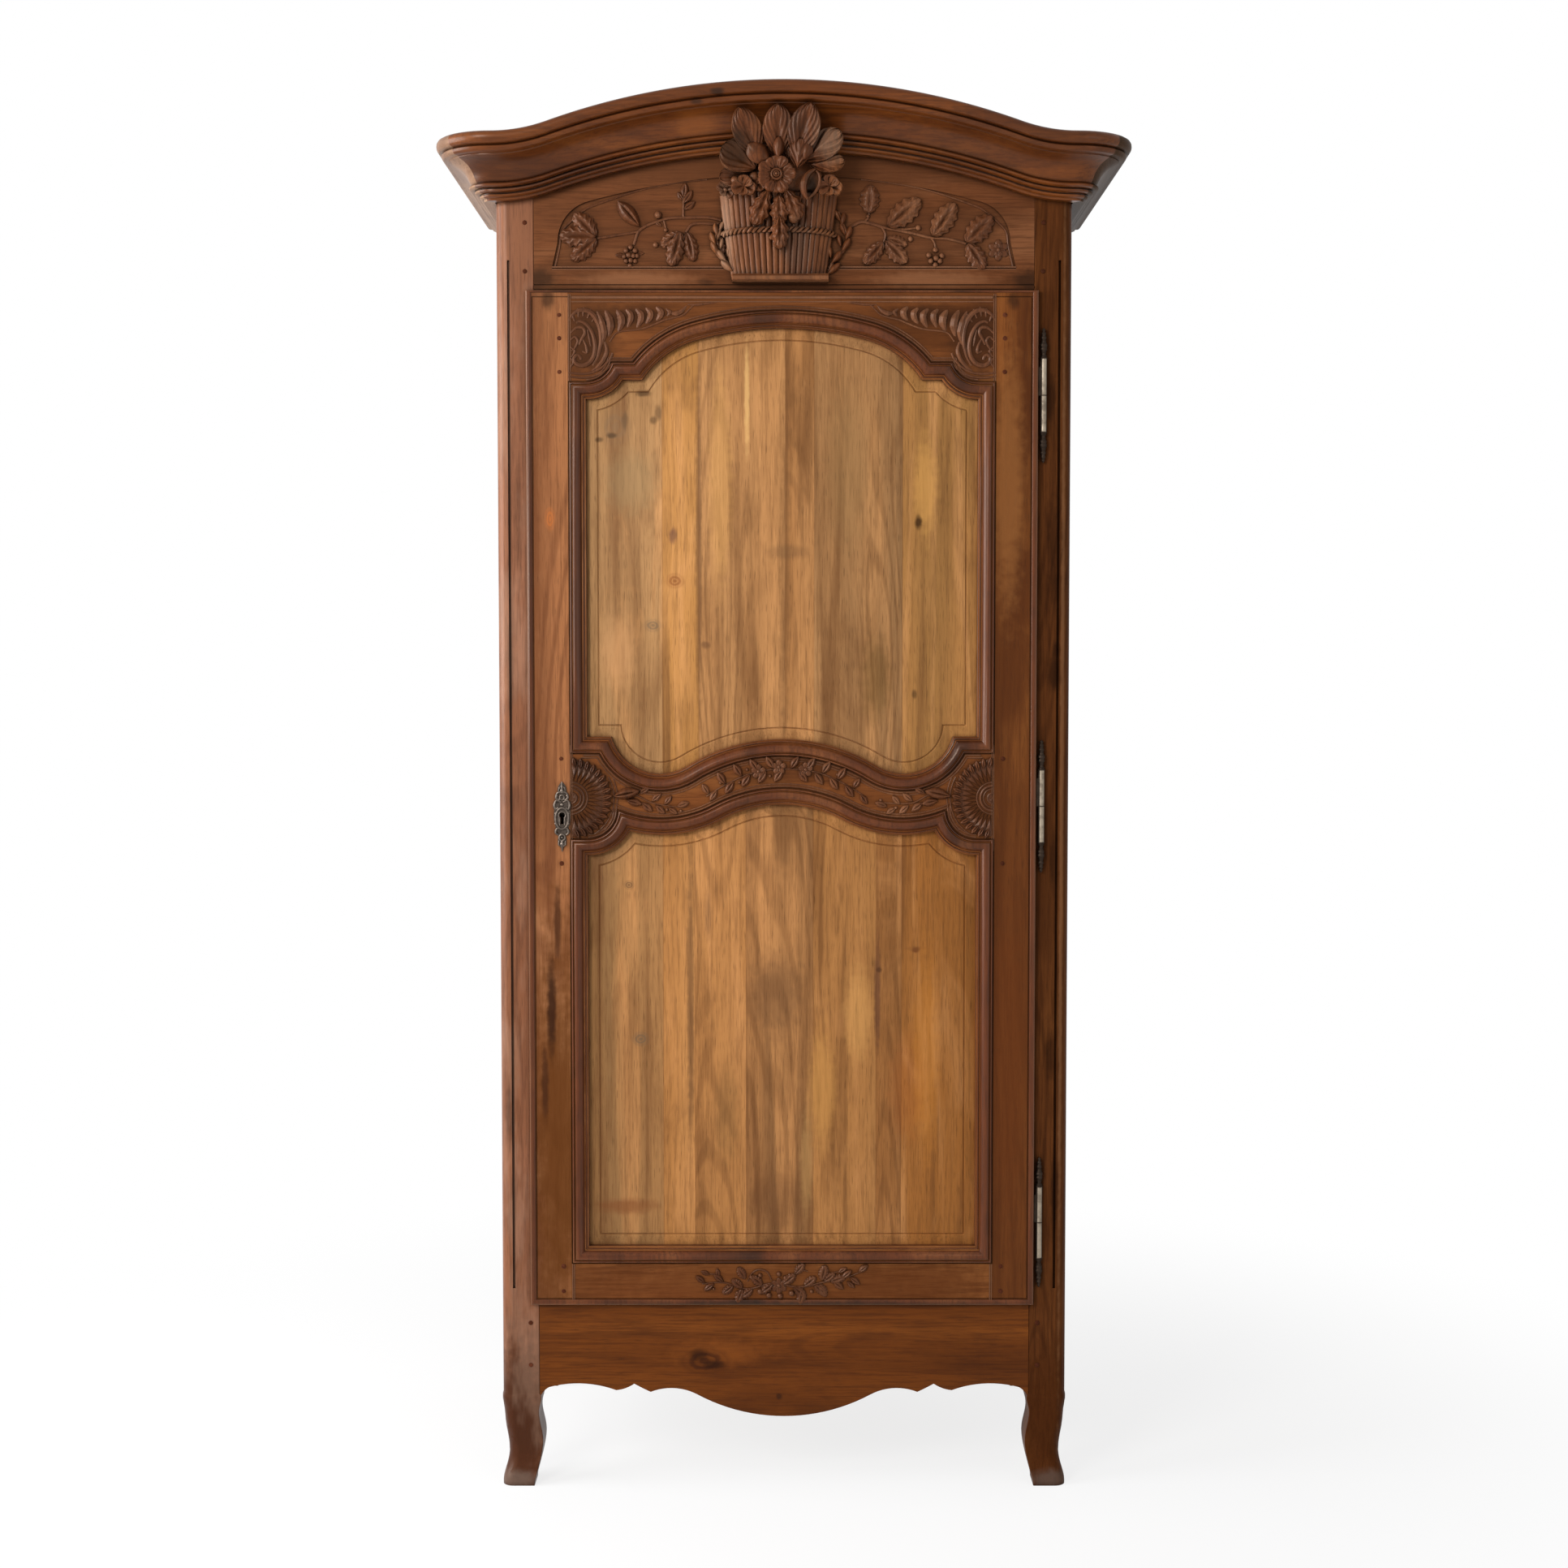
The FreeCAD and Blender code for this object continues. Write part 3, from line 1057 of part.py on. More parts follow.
def make_hinges():
    """Three lift-off hinges: the post half carries the pin and the door half turns on it."""
    post_halves = []
    door_halves = []
    leaf_half = HINGE_LEAF_THICK / 2
    for level in HINGE_LEVELS:
        low = level - HINGE_JOINT_GAP - HINGE_HALF_LENGTH
        post_top = level - HINGE_JOINT_GAP
        barrel = Part.makeCylinder(HINGE_BARREL_RADIUS, HINGE_HALF_LENGTH, V(HINGE_X, HINGE_Y, low))
        pin_length = HINGE_PIN_LENGTH + HINGE_JOINT_GAP
        pin = Part.makeCylinder(HINGE_PIN_RADIUS, pin_length, V(HINGE_X, HINGE_Y, post_top))
        leaf = box(
            HINGE_X - leaf_half, HINGE_X + leaf_half, HINGE_Y, Y_FACE + HINGE_LEAF_DEPTH,
            post_top - HINGE_LEAF_LENGTH, post_top)
        half = barrel.fuse(pin).fuse(leaf).fuse(finial(low, -1))
        post_halves.append(half)
        sleeve = Part.makeCylinder(HINGE_BARREL_RADIUS, HINGE_HALF_LENGTH, V(HINGE_X, HINGE_Y, level))
        plate = box(
            LIP_RIGHT - HINGE_LEAF_DEPTH, HINGE_X, HINGE_Y - leaf_half, HINGE_Y + leaf_half,
            level, level + HINGE_LEAF_LENGTH)
        bore = Part.makeCylinder(
            HINGE_PIN_RADIUS + HINGE_PIN_CLEARANCE, HINGE_PIN_LENGTH + 2 * OVER,
            V(HINGE_X, HINGE_Y, level - OVER))
        top = level + HINGE_HALF_LENGTH
        door_halves.append(sleeve.fuse(plate).cut(bore).fuse(finial(top, 1)))
    PARTS["hinge_post_halves"] = Part.makeCompound([only_solid(half) for half in post_halves])
    PARTS["hinge_door_halves"] = Part.makeCompound([only_solid(half) for half in door_halves])


def lock_screw_places():
    """Heights and the two edges where screws hold the lock case, as (x, z)."""
    right = LOCK_LEFT + LOCK_CASE_LENGTH + LOCK_EAR_LENGTH / 2
    left = LOCK_LEFT + LOCK_EAR_LENGTH
    inset = LOCK_CASE_HEIGHT / 4
    return (
        (right, LOCK_LEVEL - inset), (right, LOCK_LEVEL + inset),
        (left, LOCK_LEVEL - LOCK_CASE_HEIGHT / 2 - LOCK_EAR_LENGTH / 2),
        (left, LOCK_LEVEL + LOCK_CASE_HEIGHT / 2 + LOCK_EAR_LENGTH / 2),
    )


def lock_screw_holes():
    """Pilot holes in the back of the door frame for the lock screws."""
    holes = []
    for x, z in lock_screw_places():
        start = V(x, DOOR_BACK + OVER, z)
        radius = LOCK_SCREW_RADIUS + PEG_CLEARANCE
        holes.append(Part.makeCylinder(radius, LOCK_SCREW_LENGTH + OVER, start, V(0, -1, 0)))
    return holes


def make_lock():
    """Rim lock on the back of the stile: case, screws, sliding bolt and its bow spring."""
    right = LOCK_LEFT + LOCK_CASE_LENGTH
    low = LOCK_LEVEL - LOCK_CASE_HEIGHT / 2
    high = LOCK_LEVEL + LOCK_CASE_HEIGHT / 2
    case = box(LOCK_LEFT, right, DOOR_BACK, DOOR_BACK + LOCK_CASE_DEPTH, low, high)
    hollow = box(
        LOCK_LEFT + LOCK_WALL, right - LOCK_WALL, DOOR_BACK - OVER,
        DOOR_BACK + LOCK_CASE_DEPTH - LOCK_WALL, low + LOCK_WALL, high - LOCK_WALL)
    case = case.cut(hollow)
    ear = box(right, right + LOCK_EAR_LENGTH, DOOR_BACK, DOOR_BACK + LOCK_WALL, low, high)
    case = case.fuse(ear)
    left_ear = LOCK_LEFT + 2 * LOCK_EAR_LENGTH
    for edge, way in ((low, -1), (high, 1)):
        levels = sorted((edge, edge + way * LOCK_EAR_LENGTH))
        case = case.fuse(box(LOCK_LEFT, left_ear, DOOR_BACK, DOOR_BACK + LOCK_WALL, levels[0], levels[1]))
    bolt_way = box(
        LOCK_LEFT - OVER, LOCK_LEFT + 2 * LOCK_WALL, BOLT_FRONT - BOLT_CLEARANCE, BOLT_REAR + BOLT_CLEARANCE,
        BOLT_LOW - BOLT_CLEARANCE, BOLT_TOP + BOLT_CLEARANCE)
    case = case.cut(bolt_way)
    shelf_low = BOLT_LOW - BOLT_CLEARANCE - LOCK_WALL
    for x in (LOCK_LEFT + LOCK_EAR_LENGTH, right - 2 * LOCK_EAR_LENGTH):
        ledge = box(
            x, x + LOCK_EAR_LENGTH / 2, BOLT_FRONT, DOOR_BACK + LOCK_CASE_DEPTH - LOCK_WALL,
            shelf_low, shelf_low + LOCK_WALL)
        case = case.fuse(ledge)
    pin_length = LOCK_CASE_DEPTH - LOCK_WALL
    pin = Part.makeCylinder(KEY_PIN_RADIUS, pin_length, V(KEYHOLE_X, DOOR_BACK, LOCK_LEVEL), V(0, 1, 0))
    case = case.fuse(pin)
    screws = []
    for x, z in lock_screw_places():
        start = V(x, DOOR_BACK + LOCK_WALL, z)
        shank = Part.makeCylinder(LOCK_SCREW_RADIUS, LOCK_SCREW_LENGTH + LOCK_WALL, start, V(0, -1, 0))
        head = Part.makeCylinder(LOCK_SCREW_HEAD_RADIUS, LOCK_SCREW_HEAD, start, V(0, 1, 0))
        screws.append(shank.fuse(head))
        through = Part.makeCylinder(
            LOCK_SCREW_RADIUS + PEG_CLEARANCE, 2 * LOCK_WALL + OVER, start + V(0, LOCK_WALL, 0), V(0, -1, 0))
        case = case.cut(through)
    PARTS["lock_case"] = only_solid(case)
    PARTS["lock_screws"] = Part.makeCompound(screws)
    bolt = box(LOCK_LEFT, LOCK_LEFT + BOLT_LENGTH, BOLT_FRONT, BOLT_REAR, BOLT_LOW, BOLT_TOP)
    talon_left = KEYHOLE_X - TALON_WIDTH / 2
    talon = box(
        talon_left, talon_left + TALON_WIDTH, BOLT_FRONT - OVER, BOLT_REAR + OVER,
        BOLT_LOW - OVER, BOLT_LOW + TALON_HEIGHT)
    PARTS["lock_bolt"] = bolt.cut(talon)
    PARTS["bolt_spring"] = bow_spring(high - LOCK_WALL - BOLT_CLEARANCE)


def bow_spring(crest):
    """Flat bow spring that stands on the bolt and bears up under the case."""
    left = LOCK_LEFT + BOLT_LENGTH - SPRING_LENGTH
    right = LOCK_LEFT + BOLT_LENGTH
    middle = (left + right) / 2
    thick = SPRING_THICK
    steps = [
        ("arc", (left, BOLT_TOP + thick), (middle, crest), (right, BOLT_TOP + thick)),
        line((right, BOLT_TOP + thick), (right, BOLT_TOP)),
        ("arc", (right, BOLT_TOP), (middle, crest - thick), (left, BOLT_TOP)),
        line((left, BOLT_TOP), (left, BOLT_TOP + thick)),
    ]
    near = (BOLT_FRONT + BOLT_REAR - SPRING_WIDTH) / 2
    return slab(steps, near, near + SPRING_WIDTH)


def make_escutcheon():
    """Tall waisted iron plate round the keyhole."""
    half = ESCUTCHEON_WIDTH / 2
    tall = ESCUTCHEON_HEIGHT / 2
    bud_x = half * ESCUTCHEON_BUD_SHARES[0]
    bud_z = tall * ESCUTCHEON_BUD_SHARES[1]
    waist_x = half * ESCUTCHEON_WAIST_SHARES[0]
    waist_z = tall * ESCUTCHEON_WAIST_SHARES[1]
    middle = LOCK_LEVEL
    right = [
        ("arc", (0, middle + tall), (bud_x, middle + bud_z), (waist_x, middle + waist_z)),
        ("arc", (waist_x, middle + waist_z), (half, middle), (waist_x, middle - waist_z)),
        ("arc", (waist_x, middle - waist_z), (bud_x, middle - bud_z), (0, middle - tall)),
    ]
    plate = slab(right + flipped(right), DOOR_FACE - ESCUTCHEON_THICK, DOOR_FACE, KEYHOLE_X)
    PARTS["escutcheon"] = only_solid(plate.cut(keyhole()))


def make_door_pegs():
    """Wooden pegs through the door joints."""
    pegs = []
    for x in (LIP_LEFT + STILE_PEG_IN, LIP_RIGHT - STILE_PEG_IN):
        for level in stile_peg_levels():
            start = V(x, DOOR_FACE - PEG_PROUD, level)
            pegs.append(Part.makeCylinder(DOOR_PEG_RADIUS, DOOR_PEG_LENGTH, start, V(0, 1, 0)))
    PARTS["door_pegs"] = Part.makeCompound(pegs)


def bowed_section(half, bulge, level):
    """Flat-backed section of the basket, bowed to the front."""
    left = V(-half, Y_FACE, level)
    right = V(half, Y_FACE, level)
    front = V(0, Y_FACE - bulge, level)
    return Part.Wire([Part.Arc(left, front, right).toShape(), Part.LineSegment(right, left).toShape()])


def leaf(root_x, turn):
    """One pointed leaf, laid on the slanting front of the spray."""
    half = LEAF_WIDTH / 2
    belly = LEAF_LENGTH * LEAF_BELLY_SHARE
    steps = [
        ("arc", (0, 0), (half, belly), (0, LEAF_LENGTH)),
        ("arc", (0, LEAF_LENGTH), (-half, belly), (0, 0)),
    ]
    shape = slab(steps, -LEAF_THICK, LEAF_THICK)
    shape.rotate(V(0, 0, 0), V(0, 1, 0), turn)
    lean = math.degrees(math.atan((SPRAY_REACH_HIGH - SPRAY_REACH_LOW) / SPRAY_HEIGHT))
    shape.rotate(V(0, 0, 0), V(1, 0, 0), lean)
    share = LEAF_ROOT_RISE / SPRAY_HEIGHT
    reach = SPRAY_REACH_LOW + share * (SPRAY_REACH_HIGH - SPRAY_REACH_LOW)
    shape.translate(V(root_x, Y_FACE - reach, BASKET_RIM + LEAF_ROOT_RISE))
    return shape


def make_basket():
    """Fluted basket with a spray of leaves and one open rose, seated on frieze and cornice."""
    wires = [
        bowed_section(BASKET_FOOT_HALF, BASKET_FOOT_BULGE, BASKET_FOOT),
        bowed_section(BASKET_RIM_HALF, BASKET_RIM_BULGE, BASKET_RIM),
    ]
    carving = Part.makeLoft(wires, True, True)
    backing = slab(polygon((
        (-BASKET_FOOT_HALF, BASKET_FOOT), (BASKET_FOOT_HALF, BASKET_FOOT),
        (BASKET_RIM_HALF, BASKET_RIM), (-BASKET_RIM_HALF, BASKET_RIM),
    )), Y_FACE, Y_FACE + FIELD_SINK)
    plinth = box(
        -BASKET_PLINTH_HALF, BASKET_PLINTH_HALF, Y_FACE - BASKET_PLINTH_REACH, Y_FACE,
        BASKET_FOOT - BASKET_PLINTH_HEIGHT, BASKET_FOOT)
    carving = carving.fuse(backing).fuse(plinth)
    high_half = SPRAY_HALF * SPRAY_CROWN_SHARES[0]
    low_half = BASKET_RIM_HALF * SPRAY_FOOT_SHARE
    shoulder = BASKET_RIM + SPRAY_HEIGHT * SPRAY_SHOULDER_SHARE
    crown = BASKET_RIM + SPRAY_HEIGHT * SPRAY_CROWN_SHARES[1]
    core_steps = polygon((
        (-low_half, BASKET_RIM), (low_half, BASKET_RIM), (SPRAY_HALF, shoulder),
        (high_half, crown), (-high_half, crown), (-SPRAY_HALF, shoulder),
    ))
    deep = Y_FACE + FIELD_SINK
    core = slab(core_steps, Y_FACE - SPRAY_REACH_HIGH, deep)
    lean = Part.makePolygon([
        V(0, Y_FACE - SPRAY_REACH_LOW, BASKET_RIM - OVER), V(0, Y_FACE - SPRAY_REACH_HIGH, SPRAY_TOP),
        V(0, Y_FACE - 2 * SPRAY_REACH_HIGH, SPRAY_TOP), V(0, Y_FACE - 2 * SPRAY_REACH_HIGH, BASKET_RIM - OVER),
        V(0, Y_FACE - SPRAY_REACH_LOW, BASKET_RIM - OVER),
    ])
    wedge = Part.Face(lean).extrude(V(4 * SPRAY_HALF, 0, 0))
    wedge.translate(V(-2 * SPRAY_HALF, 0, 0))
    carving = carving.fuse(core.cut(wedge))
    for index, turn in enumerate(LEAF_TURNS):
        root_x = LEAF_SPREAD * (2 * index / (len(LEAF_TURNS) - 1) - 1)
        carving = carving.fuse(leaf(root_x, turn))
    heart = V(ROSE_ASIDE, Y_FACE, BASKET_RIM + ROSE_RISE)
    rose = Part.makeCylinder(ROSE_RADIUS, ROSE_REACH, heart, V(0, -1, 0))
    boss = Part.makeCylinder(ROSE_BOSS_RADIUS, ROSE_BOSS_REACH, heart, V(0, -1, 0))
    carving = carving.fuse(rose).fuse(boss)
    carving = carving.cut(PARTS["cornice_front"]).cut(PARTS["frieze_board"])
    PARTS["basket_carving"] = only_solid(carving)


def main():
    """Make every piece and write each to its own file."""
    make_cornice()
    make_posts()
    make_frieze()
    make_apron()
    make_sides()
    make_back_boards()
    make_floor_and_roof()
    make_shelf_and_rail()
    make_frame_pegs()
    make_door_frame()
    make_door_panels()
    make_hinges()
    make_lock()
    make_escutcheon()
    make_door_pegs()
    make_basket()
    os.makedirs("parts", exist_ok=True)
    for name, shape in PARTS.items():
        shape.exportStep(os.path.join("parts", name + ".step"))
        print(name, len(shape.Solids), shape.isValid(), round(shape.Volume / 1000))
    print(len(PARTS), "nodes")


main()
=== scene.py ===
"""A tall one-door wardrobe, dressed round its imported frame. Sizes are in millimetres until a mesh is made."""

import logging
import math
from collections.abc import Callable, Sequence
from dataclasses import dataclass, field
from enum import Enum

import bmesh
import bpy
from mathutils import Matrix, Vector


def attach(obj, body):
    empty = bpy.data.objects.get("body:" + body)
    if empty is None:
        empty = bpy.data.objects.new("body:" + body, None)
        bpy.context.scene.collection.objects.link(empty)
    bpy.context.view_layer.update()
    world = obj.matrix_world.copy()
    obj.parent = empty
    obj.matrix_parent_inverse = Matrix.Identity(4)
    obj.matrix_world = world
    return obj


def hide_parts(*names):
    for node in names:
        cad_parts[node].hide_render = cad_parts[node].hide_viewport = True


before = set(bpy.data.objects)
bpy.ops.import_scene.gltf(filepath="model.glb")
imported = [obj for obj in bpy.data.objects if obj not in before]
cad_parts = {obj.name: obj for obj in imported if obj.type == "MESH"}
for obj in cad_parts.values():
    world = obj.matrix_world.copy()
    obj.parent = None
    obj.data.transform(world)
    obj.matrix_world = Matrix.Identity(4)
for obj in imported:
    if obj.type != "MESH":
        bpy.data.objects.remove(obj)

LOG = logging.getLogger("wardrobe")
MM = 0.001
Pair = tuple[float, float]
Triple = tuple[float, float, float]


class Body(Enum):
    """Bodies of the frame that pieces ride on."""

    CARCASS = "carcass"
    DOOR = "door"
    BOLT = "bolt"


class Grain(Enum):
    """Axis that the grain of a wooden piece runs along."""

    UPRIGHT = (1.0, 1.0, 0.045)
    ACROSS = (0.045, 1.0, 1.0)
    DEEP = (1.0, 0.045, 1.0)


# Colours

def tint(code: str) -> tuple[float, float, float, float]:
    """Turn a six-digit screen colour into a linear colour with full alpha."""
    parts = [int(code[index:index + 2], 16) / 255 for index in (0, 2, 4)]
    linear = [part / 12.92 if part <= 0.04045 else ((part + 0.055) / 1.055) ** 2.4 for part in parts]
    return (linear[0], linear[1], linear[2], 1.0)


# Node trees

class Shader:
    """A material whose nodes are added and joined by short calls."""

    def __init__(self, name: str) -> None:
        """Start an empty node material called name."""
        self.material = bpy.data.materials.new(name)
        self.material.use_nodes = True
        self.tree = self.material.node_tree
        self.tree.nodes.clear()
        self.place = self.add("ShaderNodeTexCoord").outputs["Object"]

    def add(self, kind: str, inputs: dict | None = None, **settings: object) -> bpy.types.Node:
        """Add a node.

        Args:
            kind: Blender's name for the node type.
            inputs: Input names or numbers, each with a value or with the socket that feeds it.
            settings: Properties set on the node before its inputs.

        Returns:
            The new node.
        """
        node = self.tree.nodes.new(kind)
        for key, value in settings.items():
            setattr(node, key, value)
        for key, value in (inputs or {}).items():
            if isinstance(value, bpy.types.NodeSocket):
                self.tree.links.new(value, node.inputs[key])
            else:
                node.inputs[key].default_value = value
        return node

    def math(self, operation: str, *values: object) -> bpy.types.NodeSocket:
        """Return the result of one arithmetic step on the given numbers or sockets."""
        return self.add("ShaderNodeMath", dict(enumerate(values)), operation=operation).outputs[0]

    def stretch(self, scale: Sequence[float], shift: Sequence[float] = (0, 0, 0)) -> bpy.types.NodeSocket:
        """Return object coordinates scaled and shifted."""
        settings = {"Vector": self.place, "Scale": tuple(scale), "Location": tuple(shift)}
        return self.add("ShaderNodeMapping", settings).outputs[0]

    def noise(self, vector: bpy.types.NodeSocket, scale: float, detail: float = 3.0, rough: float = 0.55,
              warp: float = 0.0) -> bpy.types.NodeSocket:
        """Return the height of a noise texture on the given coordinates."""
        settings = {"Vector": vector, "Scale": scale, "Detail": detail, "Roughness": rough, "Distortion": warp}
        return self.add("ShaderNodeTexNoise", settings).outputs["Fac"]

    def band(self, value: bpy.types.NodeSocket, low: float, high: float, start: float = 0.0,
             end: float = 1.0) -> bpy.types.NodeSocket:
        """Return value carried from low to high onto start to end, and held at the ends."""
        settings = {"Value": value, "From Min": low, "From Max": high, "To Min": start, "To Max": end}
        return self.add("ShaderNodeMapRange", settings, interpolation_type="SMOOTHSTEP").outputs[0]

    def blend(self, share: object, first: object, second: object, way: str = "MIX") -> bpy.types.NodeSocket:
        """Return a mix of two colours by share."""
        node = self.add("ShaderNodeMix", data_type="RGBA", blend_type=way)
        for key, value in ((0, share), (6, first), (7, second)):
            if isinstance(value, bpy.types.NodeSocket):
                self.tree.links.new(value, node.inputs[key])
            else:
                node.inputs[key].default_value = value
        return node.outputs[2]

    def finish(self, colour: object, rough: object, bump: object = None, lift: float = 0.0,
               **shared: object) -> bpy.types.Material:
        """Close the material.

        Args:
            colour: Base colour or the socket that gives it.
            rough: Roughness or the socket that gives it.
            bump: Height in metres for the bump, if any.
            lift: Strength of the bump.
            shared: Further inputs of the surface shader, with underscores for spaces.

        Returns:
            The finished material.
        """
        inputs = {key.replace("_", " "): value for key, value in shared.items()}
        inputs.update({"Base Color": colour, "Roughness": rough})
        if bump is not None:
            inputs["Normal"] = self.add(
                "ShaderNodeBump", {"Strength": lift, "Distance": 1.0, "Height": bump}).outputs[0]
        surface = self.add("ShaderNodeBsdfPrincipled", inputs)
        self.add("ShaderNodeOutputMaterial", {"Surface": surface.outputs[0]})
        return self.material


@dataclass(frozen=True)
class Mark:
    """A soft spot on wood: a knot, a stain, a rubbed place, a painted shade or a painted highlight.

    The place and the half-sizes are in millimetres on the X and Z axes. A deep of zero goes right through, and any
    other ends that far behind the face of the door.
    """

    x: float
    z: float
    wide: float
    tall: float
    colour: str
    strength: float = 0.8
    ringed: bool = False
    deep: float = 0.0
    face: float = -240.0


@dataclass(frozen=True)
class WoodFinish:
    """Waxed or dry wood with streaks, growth rings, pores and marks, grime and painted shade in its corners, and pale
    edges that are partly rubbing and partly a painted highlight.
    """

    name: str
    dark: str
    middle: str
    light: str
    grain: Grain = Grain.UPRIGHT
    seed: float = 0.0
    rough: float = 0.42
    gloss: float = 0.16
    coat: float = 0.0
    rings: float = 0.35
    streaks: float = 0.45
    pores: float = 0.35
    mottle: float = 0.55
    bands: float = 0.0
    # Corner darkening by occlusion: partly grime, partly painted shade.
    grime_and_shade: float = 0.75
    grime_and_shade_reach: float = 10.0
    grime_and_shade_colour: str = "1A0B05"
    # Pale colour of rubbed patches and raised edges: partly rubbing, partly a painted highlight.
    pale_wear_and_sheen: str = "A9785A"
    wear: float = 0.0
    edge_rub_and_highlight: float = 0.0
    boards: tuple[tuple[float, str], ...] = ()
    marks: tuple[Mark, ...] = ()

    def material(self) -> bpy.types.Material:
        """Build the node material of this finish."""
        sheet = Shader(self.name)
        own_place = sheet.place
        shift = (self.seed * 1.7, self.seed * 0.9, self.seed * 2.3)
        if self.boards:
            step = sheet.add("ShaderNodeCombineXYZ", {"Y": self._board_count(sheet), "Z": self._board_count(sheet)})
            sheet.place = sheet.add("ShaderNodeVectorMath", {0: own_place, 1: step.outputs[0]}).outputs[0]
        along = sheet.stretch(self.grain.value, shift)
        looser = tuple(max(share, 0.13) for share in self.grain.value)
        slow = sheet.noise(along, 7.0, 3.0, 0.5, 0.6)
        colour = self._ramp(sheet, slow)
        if self.boards:
            sheet.place, moved = own_place, sheet.place
            colour = sheet.blend(0.55, colour, self._boards(sheet))
            sheet.place = moved
        if self.bands > 0:
            broad = sheet.noise(sheet.stretch((1.0, 1.0, 0.055), shift), 21.0, 3.0, 0.55, 0.5)
            colour = sheet.blend(sheet.band(broad, 0.50, 0.70, 0.0, self.bands), colour, tint(self.dark))
            colour = sheet.blend(sheet.band(broad, 0.30, 0.46, 0.8 * self.bands, 0.0), colour, tint(self.light))
        cloud = sheet.noise(sheet.stretch(tuple(max(share, 0.32) for share in self.grain.value), shift), 9.0, 5.0, 0.6,
                            0.8)
        colour = sheet.blend(sheet.band(cloud, 0.50, 0.74, 0.0, self.mottle), colour, tint(self.dark))
        colour = sheet.blend(sheet.band(cloud, 0.28, 0.47, 0.8 * self.mottle, 0.0), colour, tint(self.light))
        field_value = sheet.noise(sheet.stretch(looser, (shift[1], shift[2], shift[0])), 4.6, 2.0, 0.42, 0.3)
        contour = sheet.math("SINE", sheet.math("MULTIPLY", field_value, 210.0))
        vague = sheet.band(sheet.noise(sheet.stretch(looser, shift), 6.0, 2.0), 0.42, 0.62)
        ring_line = sheet.math("MULTIPLY", sheet.band(contour, 0.1, 1.0), vague)
        colour = sheet.blend(sheet.math("MULTIPLY", ring_line, self.rings), colour, tint(self.dark))
        fine = sheet.noise(along, 240.0, 3.0, 0.65)
        streak = sheet.band(fine, 0.44, 0.66)
        colour = sheet.blend(sheet.math("MULTIPLY", streak, self.streaks), colour, tint(self.dark))
        pore = sheet.band(sheet.noise(along, 900.0, 1.0, 0.4), 0.58, 0.72)
        colour = sheet.blend(sheet.math("MULTIPLY", pore, self.pores), colour, tint("2A160C"))
        sheet.place = own_place
        wobble = sheet.add("ShaderNodeTexNoise", {"Vector": sheet.place, "Scale": 70.0, "Detail": 3.0})
        for mark in self.marks:
            colour = self._marked(sheet, colour, mark, wobble.outputs["Color"])
        if self.wear > 0:
            rub = sheet.noise(sheet.stretch((1, 1, 0.3), shift), 14.0, 4.0, 0.7)
            colour = sheet.blend(sheet.band(rub, 0.48, 0.68, 0.0, self.wear), colour, tint(self.pale_wear_and_sheen))
        # Lighten raised edges: partly rubbed wear, partly a painted highlight.
        if self.edge_rub_and_highlight > 0:
            raised = sheet.add("ShaderNodeNewGeometry").outputs["Pointiness"]
            colour = sheet.blend(sheet.band(raised, 0.53, 0.68, 0.0, self.edge_rub_and_highlight), colour, tint(self.pale_wear_and_sheen))
        # Darken corners and hollows by occlusion: partly grime, partly painted shade where parts shade each other.
        shade = sheet.add("ShaderNodeAmbientOcclusion", {"Distance": self.grime_and_shade_reach * MM}, samples=6)
        corner_grime_and_shade = sheet.band(shade.outputs["AO"], 0.2, 0.98, self.grime_and_shade, 0.0)
        colour = sheet.blend(corner_grime_and_shade, colour, tint(self.grime_and_shade_colour))
        rough = sheet.band(slow, 0.2, 0.8, self.rough - 0.07, self.rough + 0.09)
        grit = sheet.math("MULTIPLY", fine, 0.00022)
        height = sheet.math("SUBTRACT", grit, sheet.math("MULTIPLY", pore, 0.00012))
        ripple = sheet.math("MULTIPLY", sheet.noise(along, 40.0, 2.0), 0.0009)
        return sheet.finish(
            colour, rough, sheet.math("ADD", height, ripple), 0.5, Coat_Weight=self.coat, Coat_Roughness=0.28,
            Specular_IOR_Level=self.gloss, Specular_Tint=(1.0, 0.6, 0.36, 1.0))

    def _ramp(self, sheet: Shader, value: bpy.types.NodeSocket) -> bpy.types.NodeSocket:
        """Return the base colour of the wood at a slowly changing value."""
        low = sheet.blend(sheet.band(value, 0.28, 0.50), tint(self.dark), tint(self.middle))
        return sheet.blend(sheet.band(value, 0.50, 0.74), low, tint(self.light))

    def _board_count(self, sheet: Shader) -> bpy.types.NodeSocket:
        """Return a number that jumps from board to board, so that the figure breaks at each joint."""
        across = sheet.add("ShaderNodeSeparateXYZ", {0: sheet.place}).outputs["X"]
        total = sheet.math("MULTIPLY", across, 0.0)
        for edge, _code in self.boards[1:]:
            total = sheet.math("ADD", total, sheet.math("GREATER_THAN", across, edge * MM))
        return sheet.math("MULTIPLY", total, 1.7)

    def _boards(self, sheet: Shader) -> bpy.types.NodeSocket:
        """Return the tone of the glued board under each place, with a thin dark joint between boards."""
        across = sheet.add("ShaderNodeSeparateXYZ", {0: sheet.place}).outputs["X"]
        colour = sheet.blend(0.0, tint(self.boards[0][1]), tint(self.boards[0][1]))
        for edge, code in self.boards[1:]:
            side = sheet.band(across, (edge - 0.8) * MM, (edge + 0.8) * MM)
            colour = sheet.blend(side, colour, tint(code))
        for edge, _code in self.boards[1:]:
            gap = sheet.math("ABSOLUTE", sheet.math("SUBTRACT", across, edge * MM))
            colour = sheet.blend(sheet.band(gap, 0.0002, 0.0011, 0.55, 0.0), colour, tint(self.dark))
        return colour

